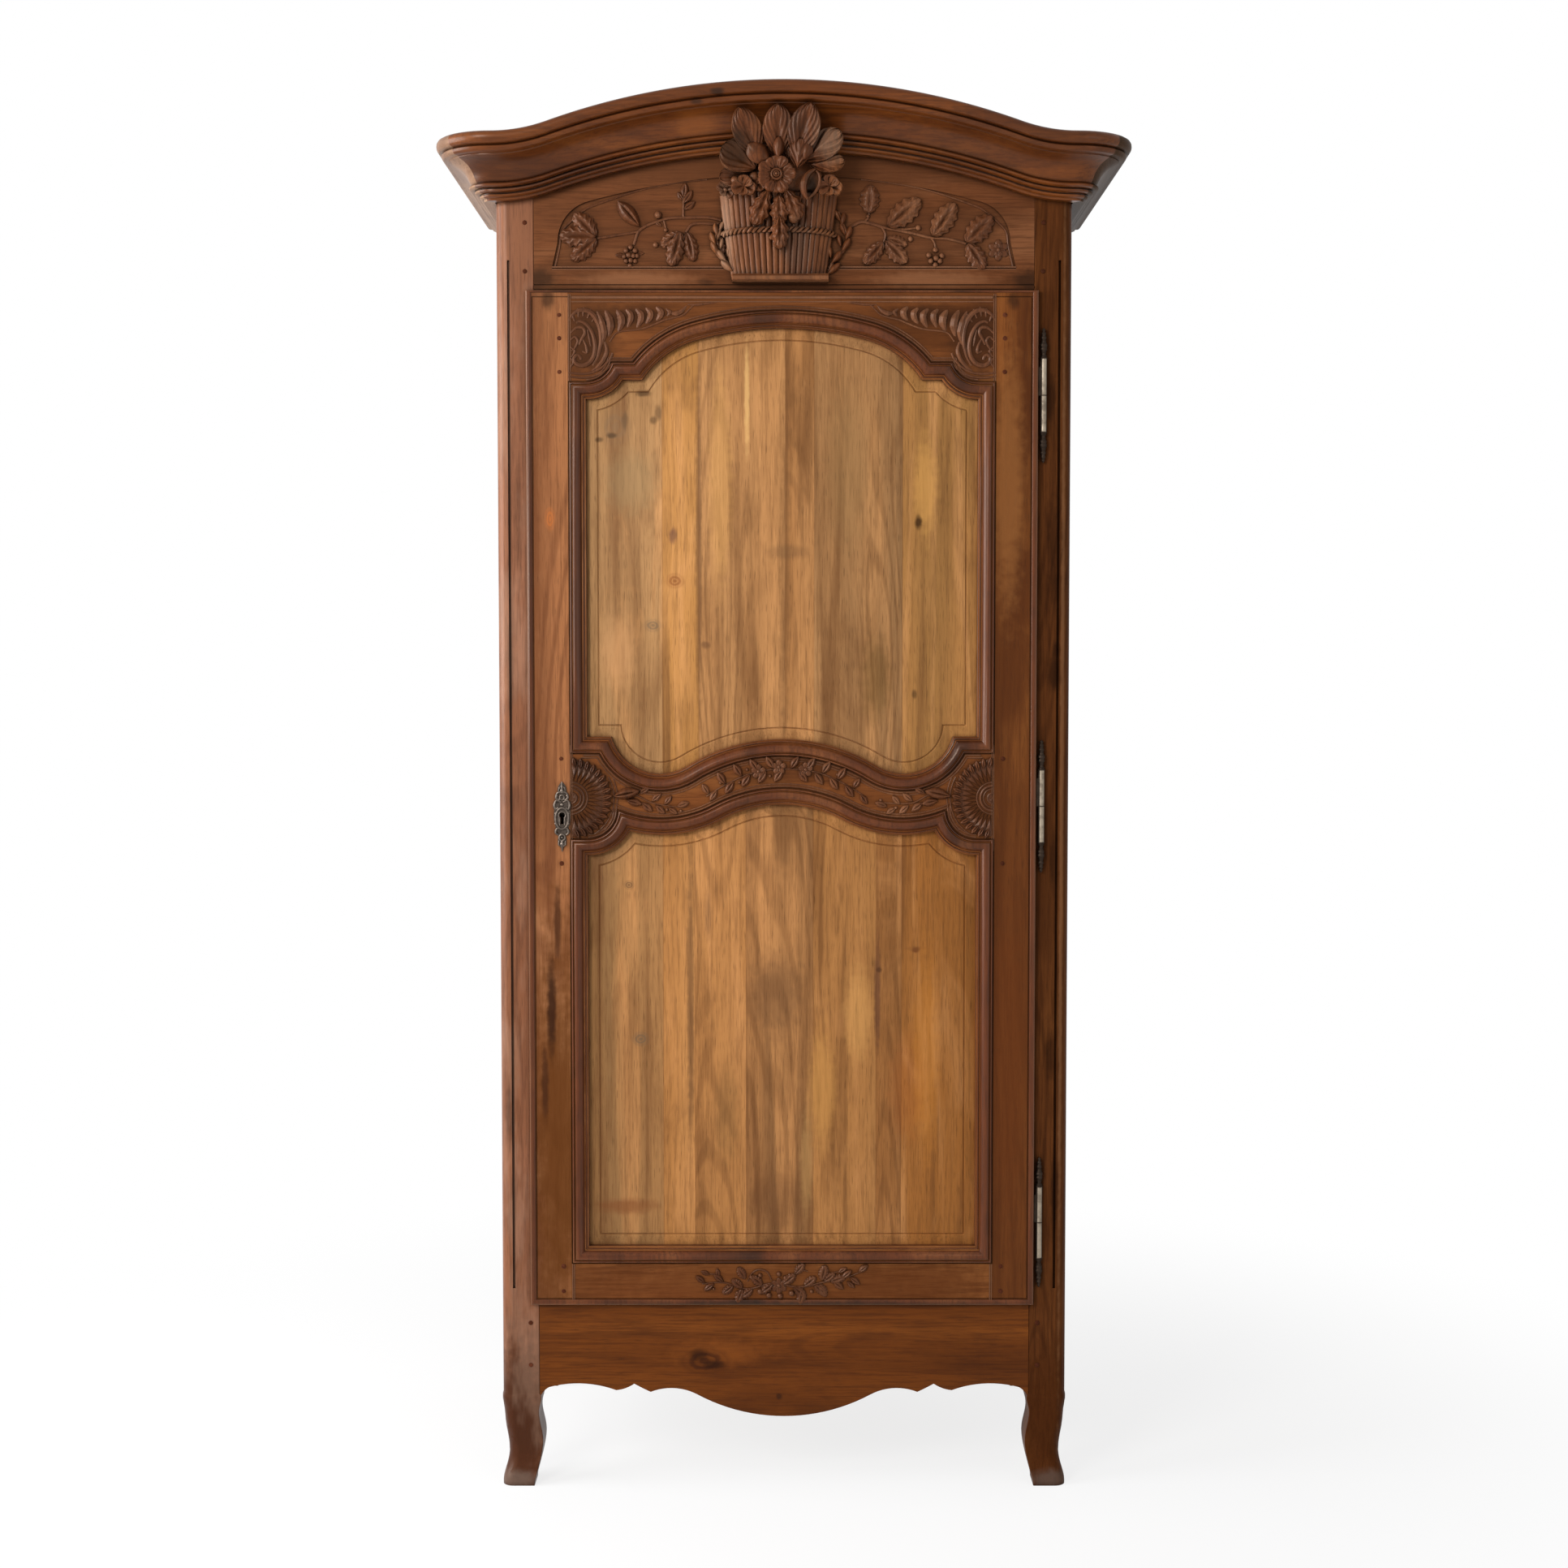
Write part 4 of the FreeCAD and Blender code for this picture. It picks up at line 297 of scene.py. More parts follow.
    def _marked(self, sheet: Shader, colour: bpy.types.NodeSocket, mark: Mark,
                wobble: bpy.types.NodeSocket) -> bpy.types.NodeSocket:
        """Return the colour with one mark laid over it, its edge bent by the wobble."""
        uneven = 0.3 if mark.ringed else 0.7
        deep = 1 / mark.deep if mark.deep else 0.0
        scale = (1 / (mark.wide * MM), deep / MM, 1 / (mark.tall * MM))
        shift = (-mark.x / mark.wide - uneven / 2, -mark.face * deep - uneven / 2, -mark.z / mark.tall - uneven / 2)
        local = sheet.stretch(scale, shift)
        bent = sheet.blend(uneven, local, wobble, "ADD")
        away = sheet.add("ShaderNodeVectorMath", {0: bent}, operation="LENGTH").outputs["Value"]
        share = sheet.band(away, 0.35, 1.15, mark.strength, 0.0)
        if mark.ringed:
            ripple = sheet.math("SINE", sheet.math("MULTIPLY", away, 16.0))
            share = sheet.math("MULTIPLY", share, sheet.band(ripple, -1.0, 0.7, 0.45, 1.0))
        return sheet.blend(share, colour, tint(mark.colour))


@dataclass(frozen=True)
class MetalFinish:
    """Bare or blackened metal with dull patches, fine scratches and, where an edge colour is given, a painted highlight
    on raised edges.

    Where it has levels, it is blackened all over but for the shafts that run up and down from them, and those shafts
    are darkened at their sides with painted shade.
    """

    name: str
    bright: str
    dull: str
    rough: float = 0.35
    patches: float = 60.0
    # Colour of a painted highlight on raised edges, if any.
    edges: str = ""
    levels: tuple[float, ...] = ()
    reach: float = 57.0
    axis: Pair = (405.0, -235.5)
    shaft: float = 5.2
    blackened: str = "382E27"

    def material(self) -> bpy.types.Material:
        """Build the node material of this finish."""
        sheet = Shader(self.name)
        patch = sheet.noise(sheet.place, self.patches, 4.0, 0.65)
        scratch = sheet.noise(sheet.stretch((1.0, 1.0, 0.08)), 900.0, 2.0)
        colour = sheet.blend(sheet.band(patch, 0.42, 0.66), tint(self.bright), tint(self.dull))
        # Lighten raised edges: a painted highlight.
        if self.edges:
            raised = sheet.add("ShaderNodeNewGeometry").outputs["Pointiness"]
            colour = sheet.blend(sheet.band(raised, 0.52, 0.62), colour, tint(self.edges))
        if self.levels:
            upright = sheet.add("ShaderNodeSeparateXYZ", {0: sheet.place}).outputs["Z"]
            gaps = [sheet.math("ABSOLUTE", sheet.math("SUBTRACT", upright, level * MM)) for level in self.levels]
            nearest = gaps[0]
            for gap in gaps[1:]:
                nearest = sheet.math("MINIMUM", nearest, gap)
            aside = sheet.stretch((1.0, 1.0, 0.0), (-self.axis[0] * MM, -self.axis[1] * MM, 0.0))
            out = sheet.add("ShaderNodeVectorMath", {0: aside}, operation="LENGTH").outputs["Value"]
            left = sheet.add("ShaderNodeSeparateXYZ", {0: aside}).outputs["X"]
            black = sheet.math("MAXIMUM", sheet.band(nearest, (self.reach - 1) * MM, (self.reach + 1) * MM),
                               sheet.band(out, self.shaft * MM, (self.shaft + 0.5) * MM))
            # Darken both sides of each bright shaft: painted shade on the barrel's sides.
            black = sheet.math("MAXIMUM", black, sheet.band(left, -3.4 * MM, -2.2 * MM, 0.9, 0.0))
            black = sheet.math("MAXIMUM", black, sheet.band(left, 3.6 * MM, 4.6 * MM, 0.0, 0.9))
            black = sheet.math("MAXIMUM", black, sheet.band(nearest, 0.5 * MM, 1.2 * MM, 0.9, 0.0))
            colour = sheet.blend(black, colour, tint(self.blackened))
        shade = sheet.add("ShaderNodeAmbientOcclusion", {"Distance": 5 * MM}, samples=6)
        colour = sheet.blend(sheet.band(shade.outputs["AO"], 0.2, 0.95, 0.8, 0.0), colour, tint("120C08"))
        rough = sheet.band(patch, 0.35, 0.7, self.rough, self.rough + 0.25)
        height = sheet.math("MULTIPLY", scratch, 0.0001)
        return sheet.finish(colour, rough, height, 0.4, Metallic=1.0)


# Mesh drafts

class Draft:
    """Points in millimetres and faces, gathered before they become a mesh."""

    def __init__(self) -> None:
        """Start with nothing."""
        self.points: list[Triple] = []
        self.faces: list[tuple[int, ...]] = []

    def grid(self, rows: Sequence[Sequence[Triple]], closed: bool = False, ringed: bool = False) -> None:
        """Add a sheet of quads.

        Args:
            rows: Rows of points, all of the same length.
            closed: Whether the last row joins the first.
            ringed: Whether the last point of each row joins its first.
        """
        start = len(self.points)
        wide = len(rows[0])
        for row in rows:
            self.points.extend(row)
        for i in range(len(rows) if closed else len(rows) - 1):
            for j in range(wide if ringed else wide - 1):
                k = (i + 1) % len(rows)
                m = (j + 1) % wide
                self.faces.append((start + i * wide + j, start + k * wide + j, start + k * wide + m,
                                   start + i * wide + m))

    def cap(self, ring: Sequence[Triple]) -> None:
        """Add one flat face round a ring of points."""
        start = len(self.points)
        self.points.extend(ring)
        self.faces.append(tuple(range(start, start + len(ring))))

    def tube(self, rows: Sequence[Sequence[Triple]]) -> None:
        """Add rings joined into a tube with both ends capped."""
        self.grid(rows, ringed=True)
        self.cap(rows[0])
        self.cap(rows[-1])

    def mesh(self, name: str, angle: float = 32.0) -> bpy.types.Mesh:
        """Make the mesh, in metres.

        Args:
            name: Name of the mesh.
            angle: Edges sharper than this many degrees stay sharp.

        Returns:
            A closed mesh with outward normals.
        """
        data = bpy.data.meshes.new(name)
        data.from_pydata([(x * MM, y * MM, z * MM) for x, y, z in self.points], [], self.faces)
        return tidied(data, angle)


def tidied(data: bpy.types.Mesh, angle: float = 32.0, near: float = 0.01) -> bpy.types.Mesh:
    """Merge doubles, turn faces outward and smooth a mesh.

    Args:
        data: The mesh to change.
        angle: Edges sharper than this many degrees stay sharp.
        near: Points closer than this many millimetres are merged.

    Returns:
        The same mesh.
    """
    work = bmesh.new()
    work.from_mesh(data)
    bmesh.ops.remove_doubles(work, verts=work.verts, dist=near * MM)
    bmesh.ops.dissolve_degenerate(work, edges=work.edges, dist=near * MM)
    flat = [face for face in work.faces if len(face.verts) > 4]
    bmesh.ops.triangulate(work, faces=flat)
    bmesh.ops.recalc_face_normals(work, faces=work.faces)
    work.to_mesh(data)
    work.free()
    for polygon in data.polygons:
        polygon.use_smooth = True
    data.set_sharp_from_angle(angle=math.radians(angle))
    return data


def joined(name: str, meshes: Sequence[bpy.types.Mesh]) -> bpy.types.Mesh:
    """Return one mesh that holds all the given meshes."""
    work = bmesh.new()
    for data in meshes:
        work.from_mesh(data)
    result = bpy.data.meshes.new(name)
    work.to_mesh(result)
    work.free()
    return result


def piece(name: str, data: bpy.types.Mesh, body: Body, material: bpy.types.Material,
          nodes: Sequence[str] = ()) -> bpy.types.Object:
    """Put a mesh in the scene as a piece of the wardrobe.

    Args:
        name: Name of the piece.
        data: Its mesh, in place.
        body: The body that it rides on.
        material: Its material.
        nodes: Frame nodes that it stands for.

    Returns:
        The new object.
    """
    data.materials.clear()
    data.materials.append(material)
    item = bpy.data.objects.new(name, data)
    bpy.context.scene.collection.objects.link(item)
    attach(item, body.value)
    if nodes:
        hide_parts(*nodes)
    LOG.info("%s: %d faces on %s", name, len(data.polygons), body.value)
    return item


def eased(node: str, body: Body, material: bpy.types.Material, ease: float = 1.0,
          angle: float = 32.0) -> bpy.types.Object:
    """Replace a frame node by a copy with softened edges.

    Args:
        node: Name of the frame node.
        body: The body that it rides on.
        material: Its material.
        ease: Width of the softened edges in millimetres, or zero for none.
        angle: Edges sharper than this many degrees stay sharp.

    Returns:
        The new object.
    """
    data = tidied(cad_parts[node].data.copy(), angle, 0.02)
    work = bmesh.new()
    work.from_mesh(data)
    bmesh.ops.dissolve_limit(work, angle_limit=math.radians(0.5), verts=work.verts, edges=work.edges)
    if ease > 0:
        corners = [edge for edge in work.edges
                   if len(edge.link_faces) == 2 and edge.calc_face_angle(0.0) > math.radians(40)]
        bmesh.ops.bevel(work, geom=corners, offset=ease * MM, segments=2, profile=0.6, affect="EDGES",
                        clamp_overlap=True)
    work.to_mesh(data)
    work.free()
    for polygon in data.polygons:
        polygon.use_smooth = True
    data.set_sharp_from_angle(angle=math.radians(angle))
    return piece(node + "_eased", evenly_lit(data), body, material, (node,))


def evenly_lit(data: bpy.types.Mesh) -> bpy.types.Mesh:
    """Return the mesh with normals weighted by face, so that large flat faces shade flat beside narrow curves."""
    item = bpy.data.objects.new("work", data)
    bpy.context.scene.collection.objects.link(item)
    weigh = item.modifiers.new("weigh", "WEIGHTED_NORMAL")
    weigh.mode = "FACE_AREA_WITH_ANGLE"
    weigh.keep_sharp = True
    bpy.context.view_layer.update()
    graph = bpy.context.evaluated_depsgraph_get()
    result = bpy.data.meshes.new_from_object(item.evaluated_get(graph), preserve_all_data_layers=True, depsgraph=graph)
    item.modifiers.remove(weigh)
    bpy.data.objects.remove(item)
    return result


# Geometry node trees

class GeoTree:
    """A geometry node tree with named inputs, run on plain meshes."""

    def __init__(self, name: str, inputs: dict[str, str]) -> None:
        """Start a tree.

        Args:
            name: Name of the tree.
            inputs: Labels of its inputs, each with Blender's name for the socket type.
        """
        self.tree = bpy.data.node_groups.new(name, "GeometryNodeTree")
        self.keys: dict[str, str] = {}
        every = {"Geometry": "NodeSocketGeometry", **inputs, "Material": "NodeSocketMaterial"}
        for label, kind in every.items():
            item = self.tree.interface.new_socket(name=label, in_out="INPUT", socket_type=kind)
            self.keys[label] = item.identifier
        self.tree.interface.new_socket(name="Geometry", in_out="OUTPUT", socket_type="NodeSocketGeometry")
        self.start = self.tree.nodes.new("NodeGroupInput")

    def add(self, kind: str, inputs: dict | None = None, **settings: object) -> bpy.types.Node:
        """Add a node with its settings, and its inputs as values or as the sockets that feed them."""
        node = self.tree.nodes.new(kind)
        for key, value in settings.items():
            setattr(node, key, value)
        for key, value in (inputs or {}).items():
            if isinstance(value, bpy.types.NodeSocket):
                self.tree.links.new(value, node.inputs[key])
            else:
                node.inputs[key].default_value = value
        return node

    def stored(self, label: str, kind: str) -> bpy.types.NodeSocket:
        """Return an attribute of the incoming mesh by its label."""
        return self.add("GeometryNodeInputNamedAttribute", {"Name": label}, data_type=kind).outputs["Attribute"]

    def close(self, geometry: bpy.types.NodeSocket) -> None:
        """End the tree in real geometry with the material set."""
        real = self.add("GeometryNodeRealizeInstances", {"Geometry": geometry}).outputs[0]
        dressed = self.add("GeometryNodeSetMaterial", {"Geometry": real, "Material": self.start.outputs["Material"]})
        self.add("NodeGroupOutput", {"Geometry": dressed.outputs[0]})

    def run(self, data: bpy.types.Mesh, material: bpy.types.Material, **values: object) -> bpy.types.Mesh:
        """Run the tree on a mesh.

        Args:
            data: The mesh that goes in.
            material: The material of the result.
            values: Further inputs, by label with underscores for spaces.

        Returns:
            The plain mesh that comes out.
        """
        item = bpy.data.objects.new("work", data)
        bpy.context.scene.collection.objects.link(item)
        step = item.modifiers.new("tree", "NODES")
        step.node_group = self.tree
        step[self.keys["Material"]] = material
        for label, value in values.items():
            step[self.keys[label.replace("_", " ")]] = value
        bpy.context.view_layer.update()
        graph = bpy.context.evaluated_depsgraph_get()
        result = bpy.data.meshes.new_from_object(item.evaluated_get(graph), depsgraph=graph)
        item.modifiers.remove(step)
        bpy.data.objects.remove(item)
        return result


@dataclass(frozen=True)
class Spot:
    """Where one copy of a motif stands.

    The root is at x and z, y in front of the ground. Turn is clockwise from up and lean brings the tip forward, in
    degrees. Wide and lift are shares of the motif's own.
    """

    x: float
    z: float
    length: float
    turn: float = 0.0
    wide: float = 1.0
    lift: float = 1.0
    y: float = 0.0
    lean: float = 0.0
    roll: float = 0.0

    def angles(self) -> Triple:
        """Return the turning of this copy as Euler angles."""
        turned = Matrix.Rotation(math.radians(self.turn), 3, "Y")
        leaned = Matrix.Rotation(math.radians(self.lean), 3, "X")
        rolled = Matrix.Rotation(math.radians(self.roll), 3, "Z")
        return tuple((turned @ leaned @ rolled).to_euler())

    def mirrored(self) -> "Spot":
        """Return the same spot on the other side of x = 0."""
        return Spot(-self.x, self.z, self.length, -self.turn, self.wide, self.lift, self.y, self.lean, -self.roll)


class Carver:
    """Sets motifs on points and ridges on paths, and gathers them into one carved piece."""

    def __init__(self, material: bpy.types.Material) -> None:
        """Build the two trees for carving in a material."""
        self.material = material
        self.parts: list[bpy.types.Mesh] = []
        self.copies = GeoTree("copies_on_points", {"Motif": "NodeSocketObject"})
        info = self.copies.add("GeometryNodeObjectInfo", {"Object": self.copies.start.outputs["Motif"]})
        placed = self.copies.add("GeometryNodeInstanceOnPoints", {
            "Points": self.copies.start.outputs["Geometry"], "Instance": info.outputs["Geometry"],
            "Rotation": self.copies.stored("turn", "FLOAT_VECTOR"),
            "Scale": self.copies.stored("stretch", "FLOAT_VECTOR")})
        self.copies.close(placed.outputs[0])
        self.ridges = GeoTree("ridges_on_paths", {"Sides": "NodeSocketInt"})
        curve = self.ridges.add("GeometryNodeMeshToCurve", {"Mesh": self.ridges.start.outputs["Geometry"]})
        ring = self.ridges.add("GeometryNodeCurvePrimitiveCircle", {
            "Resolution": self.ridges.start.outputs["Sides"], "Radius": 1.0})
        swept = self.ridges.add("GeometryNodeCurveToMesh", {
            "Curve": curve.outputs[0], "Profile Curve": ring.outputs[0], "Fill Caps": True,
            "Scale": self.ridges.stored("thick", "FLOAT")})
        self.ridges.close(swept.outputs[0])

    def set(self, motif: bpy.types.Mesh, spots: Sequence[Spot], ground: float) -> None:
        """Stand copies of a motif at spots in front of the depth ground."""
        points = bpy.data.meshes.new("points")
        points.from_pydata([(spot.x * MM, (ground - spot.y) * MM, spot.z * MM) for spot in spots], [], [])
        turn = points.attributes.new("turn", "FLOAT_VECTOR", "POINT")
        stretch = points.attributes.new("stretch", "FLOAT_VECTOR", "POINT")
        for index, spot in enumerate(spots):
            size = spot.length * MM
            turn.data[index].vector = spot.angles()
            stretch.data[index].vector = (size * spot.wide, size * spot.lift, size)
        pattern = bpy.data.objects.new("motif", motif)
        self.parts.append(self.copies.run(points, self.material, Motif=pattern))
        bpy.data.objects.remove(pattern)

    def ridge(self, path: Sequence[Triple], ground: float, thick: Sequence[float], sides: int = 8) -> None:
        """Run a round ridge along a path.

        Args:
            path: Points as (x, z, height over the ground), closed where the last is the first again.
            ground: Depth that the heights are measured from.
            thick: Radii of the ridge, spread evenly along the path.
            sides: Sides of the ridge's section.
        """
        line = bpy.data.meshes.new("path")
        count = len(path)
        loop = (Vector(path[0]) - Vector(path[-1])).length < 0.01
        places = [(x * MM, (ground - high) * MM, z * MM) for x, z, high in (path[:-1] if loop else path)]
        line.from_pydata(places, [(index, (index + 1) % len(places)) for index in range(count - 1)], [])
        radius = line.attributes.new("thick", "FLOAT", "POINT")
        for index in range(len(places)):
            place = index / (len(path) - 1) * (len(thick) - 1)
            low = min(int(place), len(thick) - 2) if len(thick) > 1 else 0
            high = min(low + 1, len(thick) - 1)
            radius.data[index].value = (thick[low] + (thick[high] - thick[low]) * (place - low)) * MM
        self.parts.append(self.ridges.run(line, self.material, Sides=sides))

    def stem(self, points: Sequence[Pair], ground: float, thick: Sequence[float], height: float = 0.6) -> None:
        """Run a stem smoothly through a few (x, z) points."""
        self.ridge([(x, z, height) for x, z in flowing(points)], ground, thick)

    def finish(self, name: str, body: Body, slot: str, nodes: Sequence[str] = ()) -> bpy.types.Object:
        """Join what was gathered into one piece and start afresh."""
        data = tidied(joined(name, self.parts), 34.0, 0.002)
        self.parts = []
        return piece(name, data, body, self.material, nodes)


def flowing(points: Sequence[Pair], steps: int = 8) -> list[Pair]:
    """Return a smooth line through the points, with the given steps between each two."""
    ends = [points[0]] + list(points) + [points[-1]]
    line = []
    for index in range(len(points) - 1):
        a, b, c, d = (Vector(point) for point in ends[index:index + 4])
        for step in range(steps):
            t = step / steps
            place = 0.5 * (2 * b + (c - a) * t + (2 * a - 5 * b + 4 * c - d) * t * t
                           + (3 * b - a - 3 * c + d) * t ** 3)
            line.append(tuple(place))
    return line + [tuple(points[-1])]


@dataclass(frozen=True)
class LeafShape:
    """Outline and relief of a carved leaf, petal or tongue, as shares of its length."""

    width: float = 0.5
    belly: float = 0.5
    blunt: float = 0.75
    lobes: int = 0
    notch: float = 0.2
    lift: float = 0.16
    edge: float = 0.04
    groove: float = 0.05
    veins: float = 0.0
    vein_count: int = 6
    slant: float = 1.1
    cup: float = 0.0
    bend: float = 0.0
    rows: int = 16
    columns: int = 10

    def mesh(self) -> bpy.types.Mesh:
        """Make the motif with its root at the origin and its tip one metre up."""
        rows = []
        skew = math.log(0.5) / math.log(self.belly)
        for i in range(self.rows + 1):
            t = i / self.rows
            half = self.width / 2 * max(math.sin(math.pi * t ** skew), 0.0) ** self.blunt
            if self.lobes:
                half *= 1 - self.notch * (0.5 + 0.5 * math.cos(2 * math.pi * self.lobes * t))
            spine = self.lift * max(math.sin(math.pi * (0.08 + 0.84 * t)), 0.0) ** 0.5
            aside = self.bend * t * t
            row = []
            for j in range(self.columns + 1):
                s = 2 * j / self.columns - 1
                dome = 1 - abs(s) ** 2.2
                high = self.edge + spine * dome + self.cup * s * s * math.sin(math.pi * t)
                high -= self.groove * math.exp(-(s / 0.2) ** 2) * math.sin(math.pi * min(1.0, t * 1.1))
                fan = math.cos(2 * math.pi * (self.vein_count * t - self.slant * abs(s)))
                high += self.veins * fan * abs(s) * dome ** 0.4
                row.append((1000 * (half * s + aside), -1000 * high, 1000 * t))
            row.append((1000 * (half + aside), 30.0, 1000 * t))
            row.append((1000 * (aside - half), 30.0, 1000 * t))
            rows.append(row)
        draft = Draft()
        draft.tube(rows)
        return draft.mesh("leaf", 50.0)


def turned(profile: Sequence[Pair], sides: int, length: float = 1.0) -> Draft:
    """Turn (height, radius) pairs about the upright axis through the origin."""
    rows = []
    for high, radius in profile:
        angles = [2 * math.pi * index / sides for index in range(sides)]
        rows.append([(radius * math.cos(a) * length, radius * math.sin(a) * length, high * length) for a in angles])
    draft = Draft()
    draft.tube(rows)
    return draft


def berry_mesh() -> bpy.types.Mesh:
    """Make a round berry, one metre across, centred on the ground."""
    rows = [(-0.5 * math.cos(math.pi * index / 6), 0.5 * math.sin(math.pi * index / 6) + 1e-5) for index in range(7)]
    return turned(rows, 10, 1000.0).mesh("berry", 80.0)


# Outlines in the plane of the front, as (x, z)

def arc_points(centre: Pair, radius: float, start: Pair, end: Pair, count: int) -> list[Pair]:
    """Return count + 1 points on the shorter arc from start to end."""
    first = math.atan2(start[1] - centre[1], start[0] - centre[0])
    last = math.atan2(end[1] - centre[1], end[0] - centre[0])
    sweep = (last - first + math.pi) % (2 * math.pi) - math.pi
    turns = [first + sweep * index / count for index in range(count + 1)]
    return [(centre[0] + radius * math.cos(turn), centre[1] + radius * math.sin(turn)) for turn in turns]


def straight(start: Pair, end: Pair, count: int) -> list[Pair]:
    """Return count + 1 evenly spaced points from start to end."""
    shares = [index / count for index in range(count + 1)]
    return [(start[0] + (end[0] - start[0]) * share, start[1] + (end[1] - start[1]) * share) for share in shares]


def both_sides(right: Sequence[Pair]) -> list[Pair]:
    """Return the closed outline of a right half that runs from its top middle to its bottom middle."""
    return list(right) + [(-x, z) for x, z in reversed(right[1:-1])]


@dataclass
class DoorOutlines:
    """The two panel openings of the door, about its own middle line."""

    half: float = 307.0
    ear_flat: float = 2.0
    head_crest: float = 1837.0
    head_radius: float = 500.0
    head_reach: float = 132.9
    shoulder_radius: float = 152.0
    head_ledge: float = 1756.9
    head_ear: float = 1727.1
    head_ear_radius: float = 66.9
    crown: float = 1195.0
    crown_radius: float = 284.9
    trough_radius: float = 80.1
    trough_out: float = 191.9
    crown_ledge: float = 1199.0
    arch_crest: float = 1093.0
    arch_radius: float = 199.9
    arch_trough_out: float = 190.0
    arch_ear: float = 1012.9
    arch_ear_radius: float = 73.1
    sill: float = 389.0

    def _ear(self, level: float, radius: float, grow: float, start: Pair) -> list[Pair]:
        """Return the round ear at an upper corner, from start to the side of the opening."""
        centre = (self.half - self.ear_flat, level + radius)
        reach = radius - grow
        side = self.half + grow
        if side > centre[0]:
            foot = (centre[0], centre[1] - reach)
            return arc_points(centre, reach, start, foot, 12) + [(side, foot[1])]
        drop = math.sqrt(reach ** 2 - (side - centre[0]) ** 2)
        end = (side, centre[1] - drop)
        return arc_points(centre, reach, start, end, 12) + [end]

    def upper(self, grow: float) -> list[Pair]:
        """Return the upper opening grown outward by grow."""
        turn = math.asin(self.head_reach / self.head_radius)
        radius = self.head_radius + grow
        shoulder_radius = self.shoulder_radius + grow
        centre = (0.0, self.head_crest + grow - radius)
        slip = radius - shoulder_radius
        shoulder = (slip * math.sin(turn), centre[1] + slip * math.cos(turn))
        ledge = self.head_ledge + grow
        join = (radius * math.sin(turn), centre[1] + radius * math.cos(turn))
        corner = (shoulder[0] + math.sqrt(shoulder_radius ** 2 - (ledge - shoulder[1]) ** 2), ledge)
        ear = (self.half - self.ear_flat, self.head_ear + self.head_ear_radius)
        ear_radius = self.head_ear_radius - grow
        tip = (ear[0] - math.sqrt(ear_radius ** 2 - (ear[1] - ledge) ** 2), ledge)
        right = arc_points(centre, radius, (0.0, self.head_crest + grow), join, 14)
        right += arc_points(shoulder, shoulder_radius, join, corner, 12)[1:]
        right += straight(corner, tip, 2)[1:]
        right += self._ear(self.head_ear, self.head_ear_radius, grow, tip)[1:]
        trough_radius = self.trough_radius + grow
        crown_radius = self.crown_radius - grow
        reach = crown_radius + trough_radius
        crown_centre = (0.0, self.crown - grow - crown_radius)
        rise = math.sqrt(reach ** 2 - self.trough_out ** 2)
        trough = (self.trough_out, crown_centre[1] + rise)
        level = self.crown_ledge - grow
        foot = (self.half + grow, level)
        step = (self.trough_out + math.sqrt(trough_radius ** 2 - (trough[1] - level) ** 2), level)
        low = (crown_radius * self.trough_out / reach, crown_centre[1] + crown_radius * rise / reach)
        right += straight(right[-1], foot, 4)[1:]
        right += straight(foot, step, 2)[1:]
        right += arc_points(trough, trough_radius, step, low, 14)[1:]
        right += arc_points(crown_centre, crown_radius, low, (0.0, self.crown - grow), 14)[1:]
        return both_sides(right)

    def lower(self, grow: float) -> list[Pair]:
        """Return the lower opening grown outward by grow."""
        arch_radius = self.arch_radius + grow
        trough_radius = self.arch_radius - grow
        reach = arch_radius + trough_radius
        centre = (0.0, self.arch_crest + grow - arch_radius)
        rise = math.sqrt(reach ** 2 - self.arch_trough_out ** 2)
        trough = (self.arch_trough_out, centre[1] + rise)
        join = (arch_radius * self.arch_trough_out / reach, centre[1] + arch_radius * rise / reach)
        ear = (self.half - self.ear_flat, self.arch_ear + self.arch_ear_radius)
        ear_radius = self.arch_ear_radius - grow
        run = Vector((ear[0] - trough[0], ear[1] - trough[1]))
        apart = run.length
        along = (trough_radius ** 2 - ear_radius ** 2 + apart ** 2) / (2 * apart)
        aside = math.sqrt(trough_radius ** 2 - along ** 2)
        run.normalize()
        corner = min(
            (trough[0] + along * run.x - side * run.y, trough[1] + along * run.y + side * run.x)
            for side in (aside, -aside))
        right = arc_points(centre, arch_radius, (0.0, self.arch_crest + grow), join, 14)
        right += arc_points(trough, trough_radius, join, corner, 14)[1:]
        right += self._ear(self.arch_ear, self.arch_ear_radius, grow, corner)[1:]
        foot = (self.half + grow, self.sill - grow)
        right += straight(right[-1], foot, 6)[1:]
        right += straight(foot, (0.0, self.sill - grow), 2)[1:]
        return both_sides(right)


def kept_run(outline: Sequence[Pair], keep: Callable[[Pair], bool]) -> list[Pair]:
    """Return the first unbroken run of kept points on a closed outline."""
    start = next(i for i, point in enumerate(outline) if keep(point) and not keep(outline[i - 1]))
    turned_outline = list(outline[start:]) + list(outline[:start])
    end = next(i for i, point in enumerate(turned_outline) if not keep(point))
    return turned_outline[:end]


def ring_sweep(outline: Callable[[float], list[Pair]], profile: Sequence[Pair], face: float,
               middle: float) -> Draft:
    """Sweep a closed profile round an outline.

    Args:
        outline: Gives the outline grown by a distance, always with as many points.
        profile: Closed profile of (grow, proud) pairs.
        face: Depth of the face that proud is measured from.
        middle: Sideways place of the outline's own middle.

    Returns:
        A draft with one closed ring.
    """
    rows = [[(x + middle, face - proud, z) for x, z in outline(grow)] for grow, proud in profile]
    draft = Draft()
    draft.grid(rows, closed=True, ringed=True)
    return draft


# Door

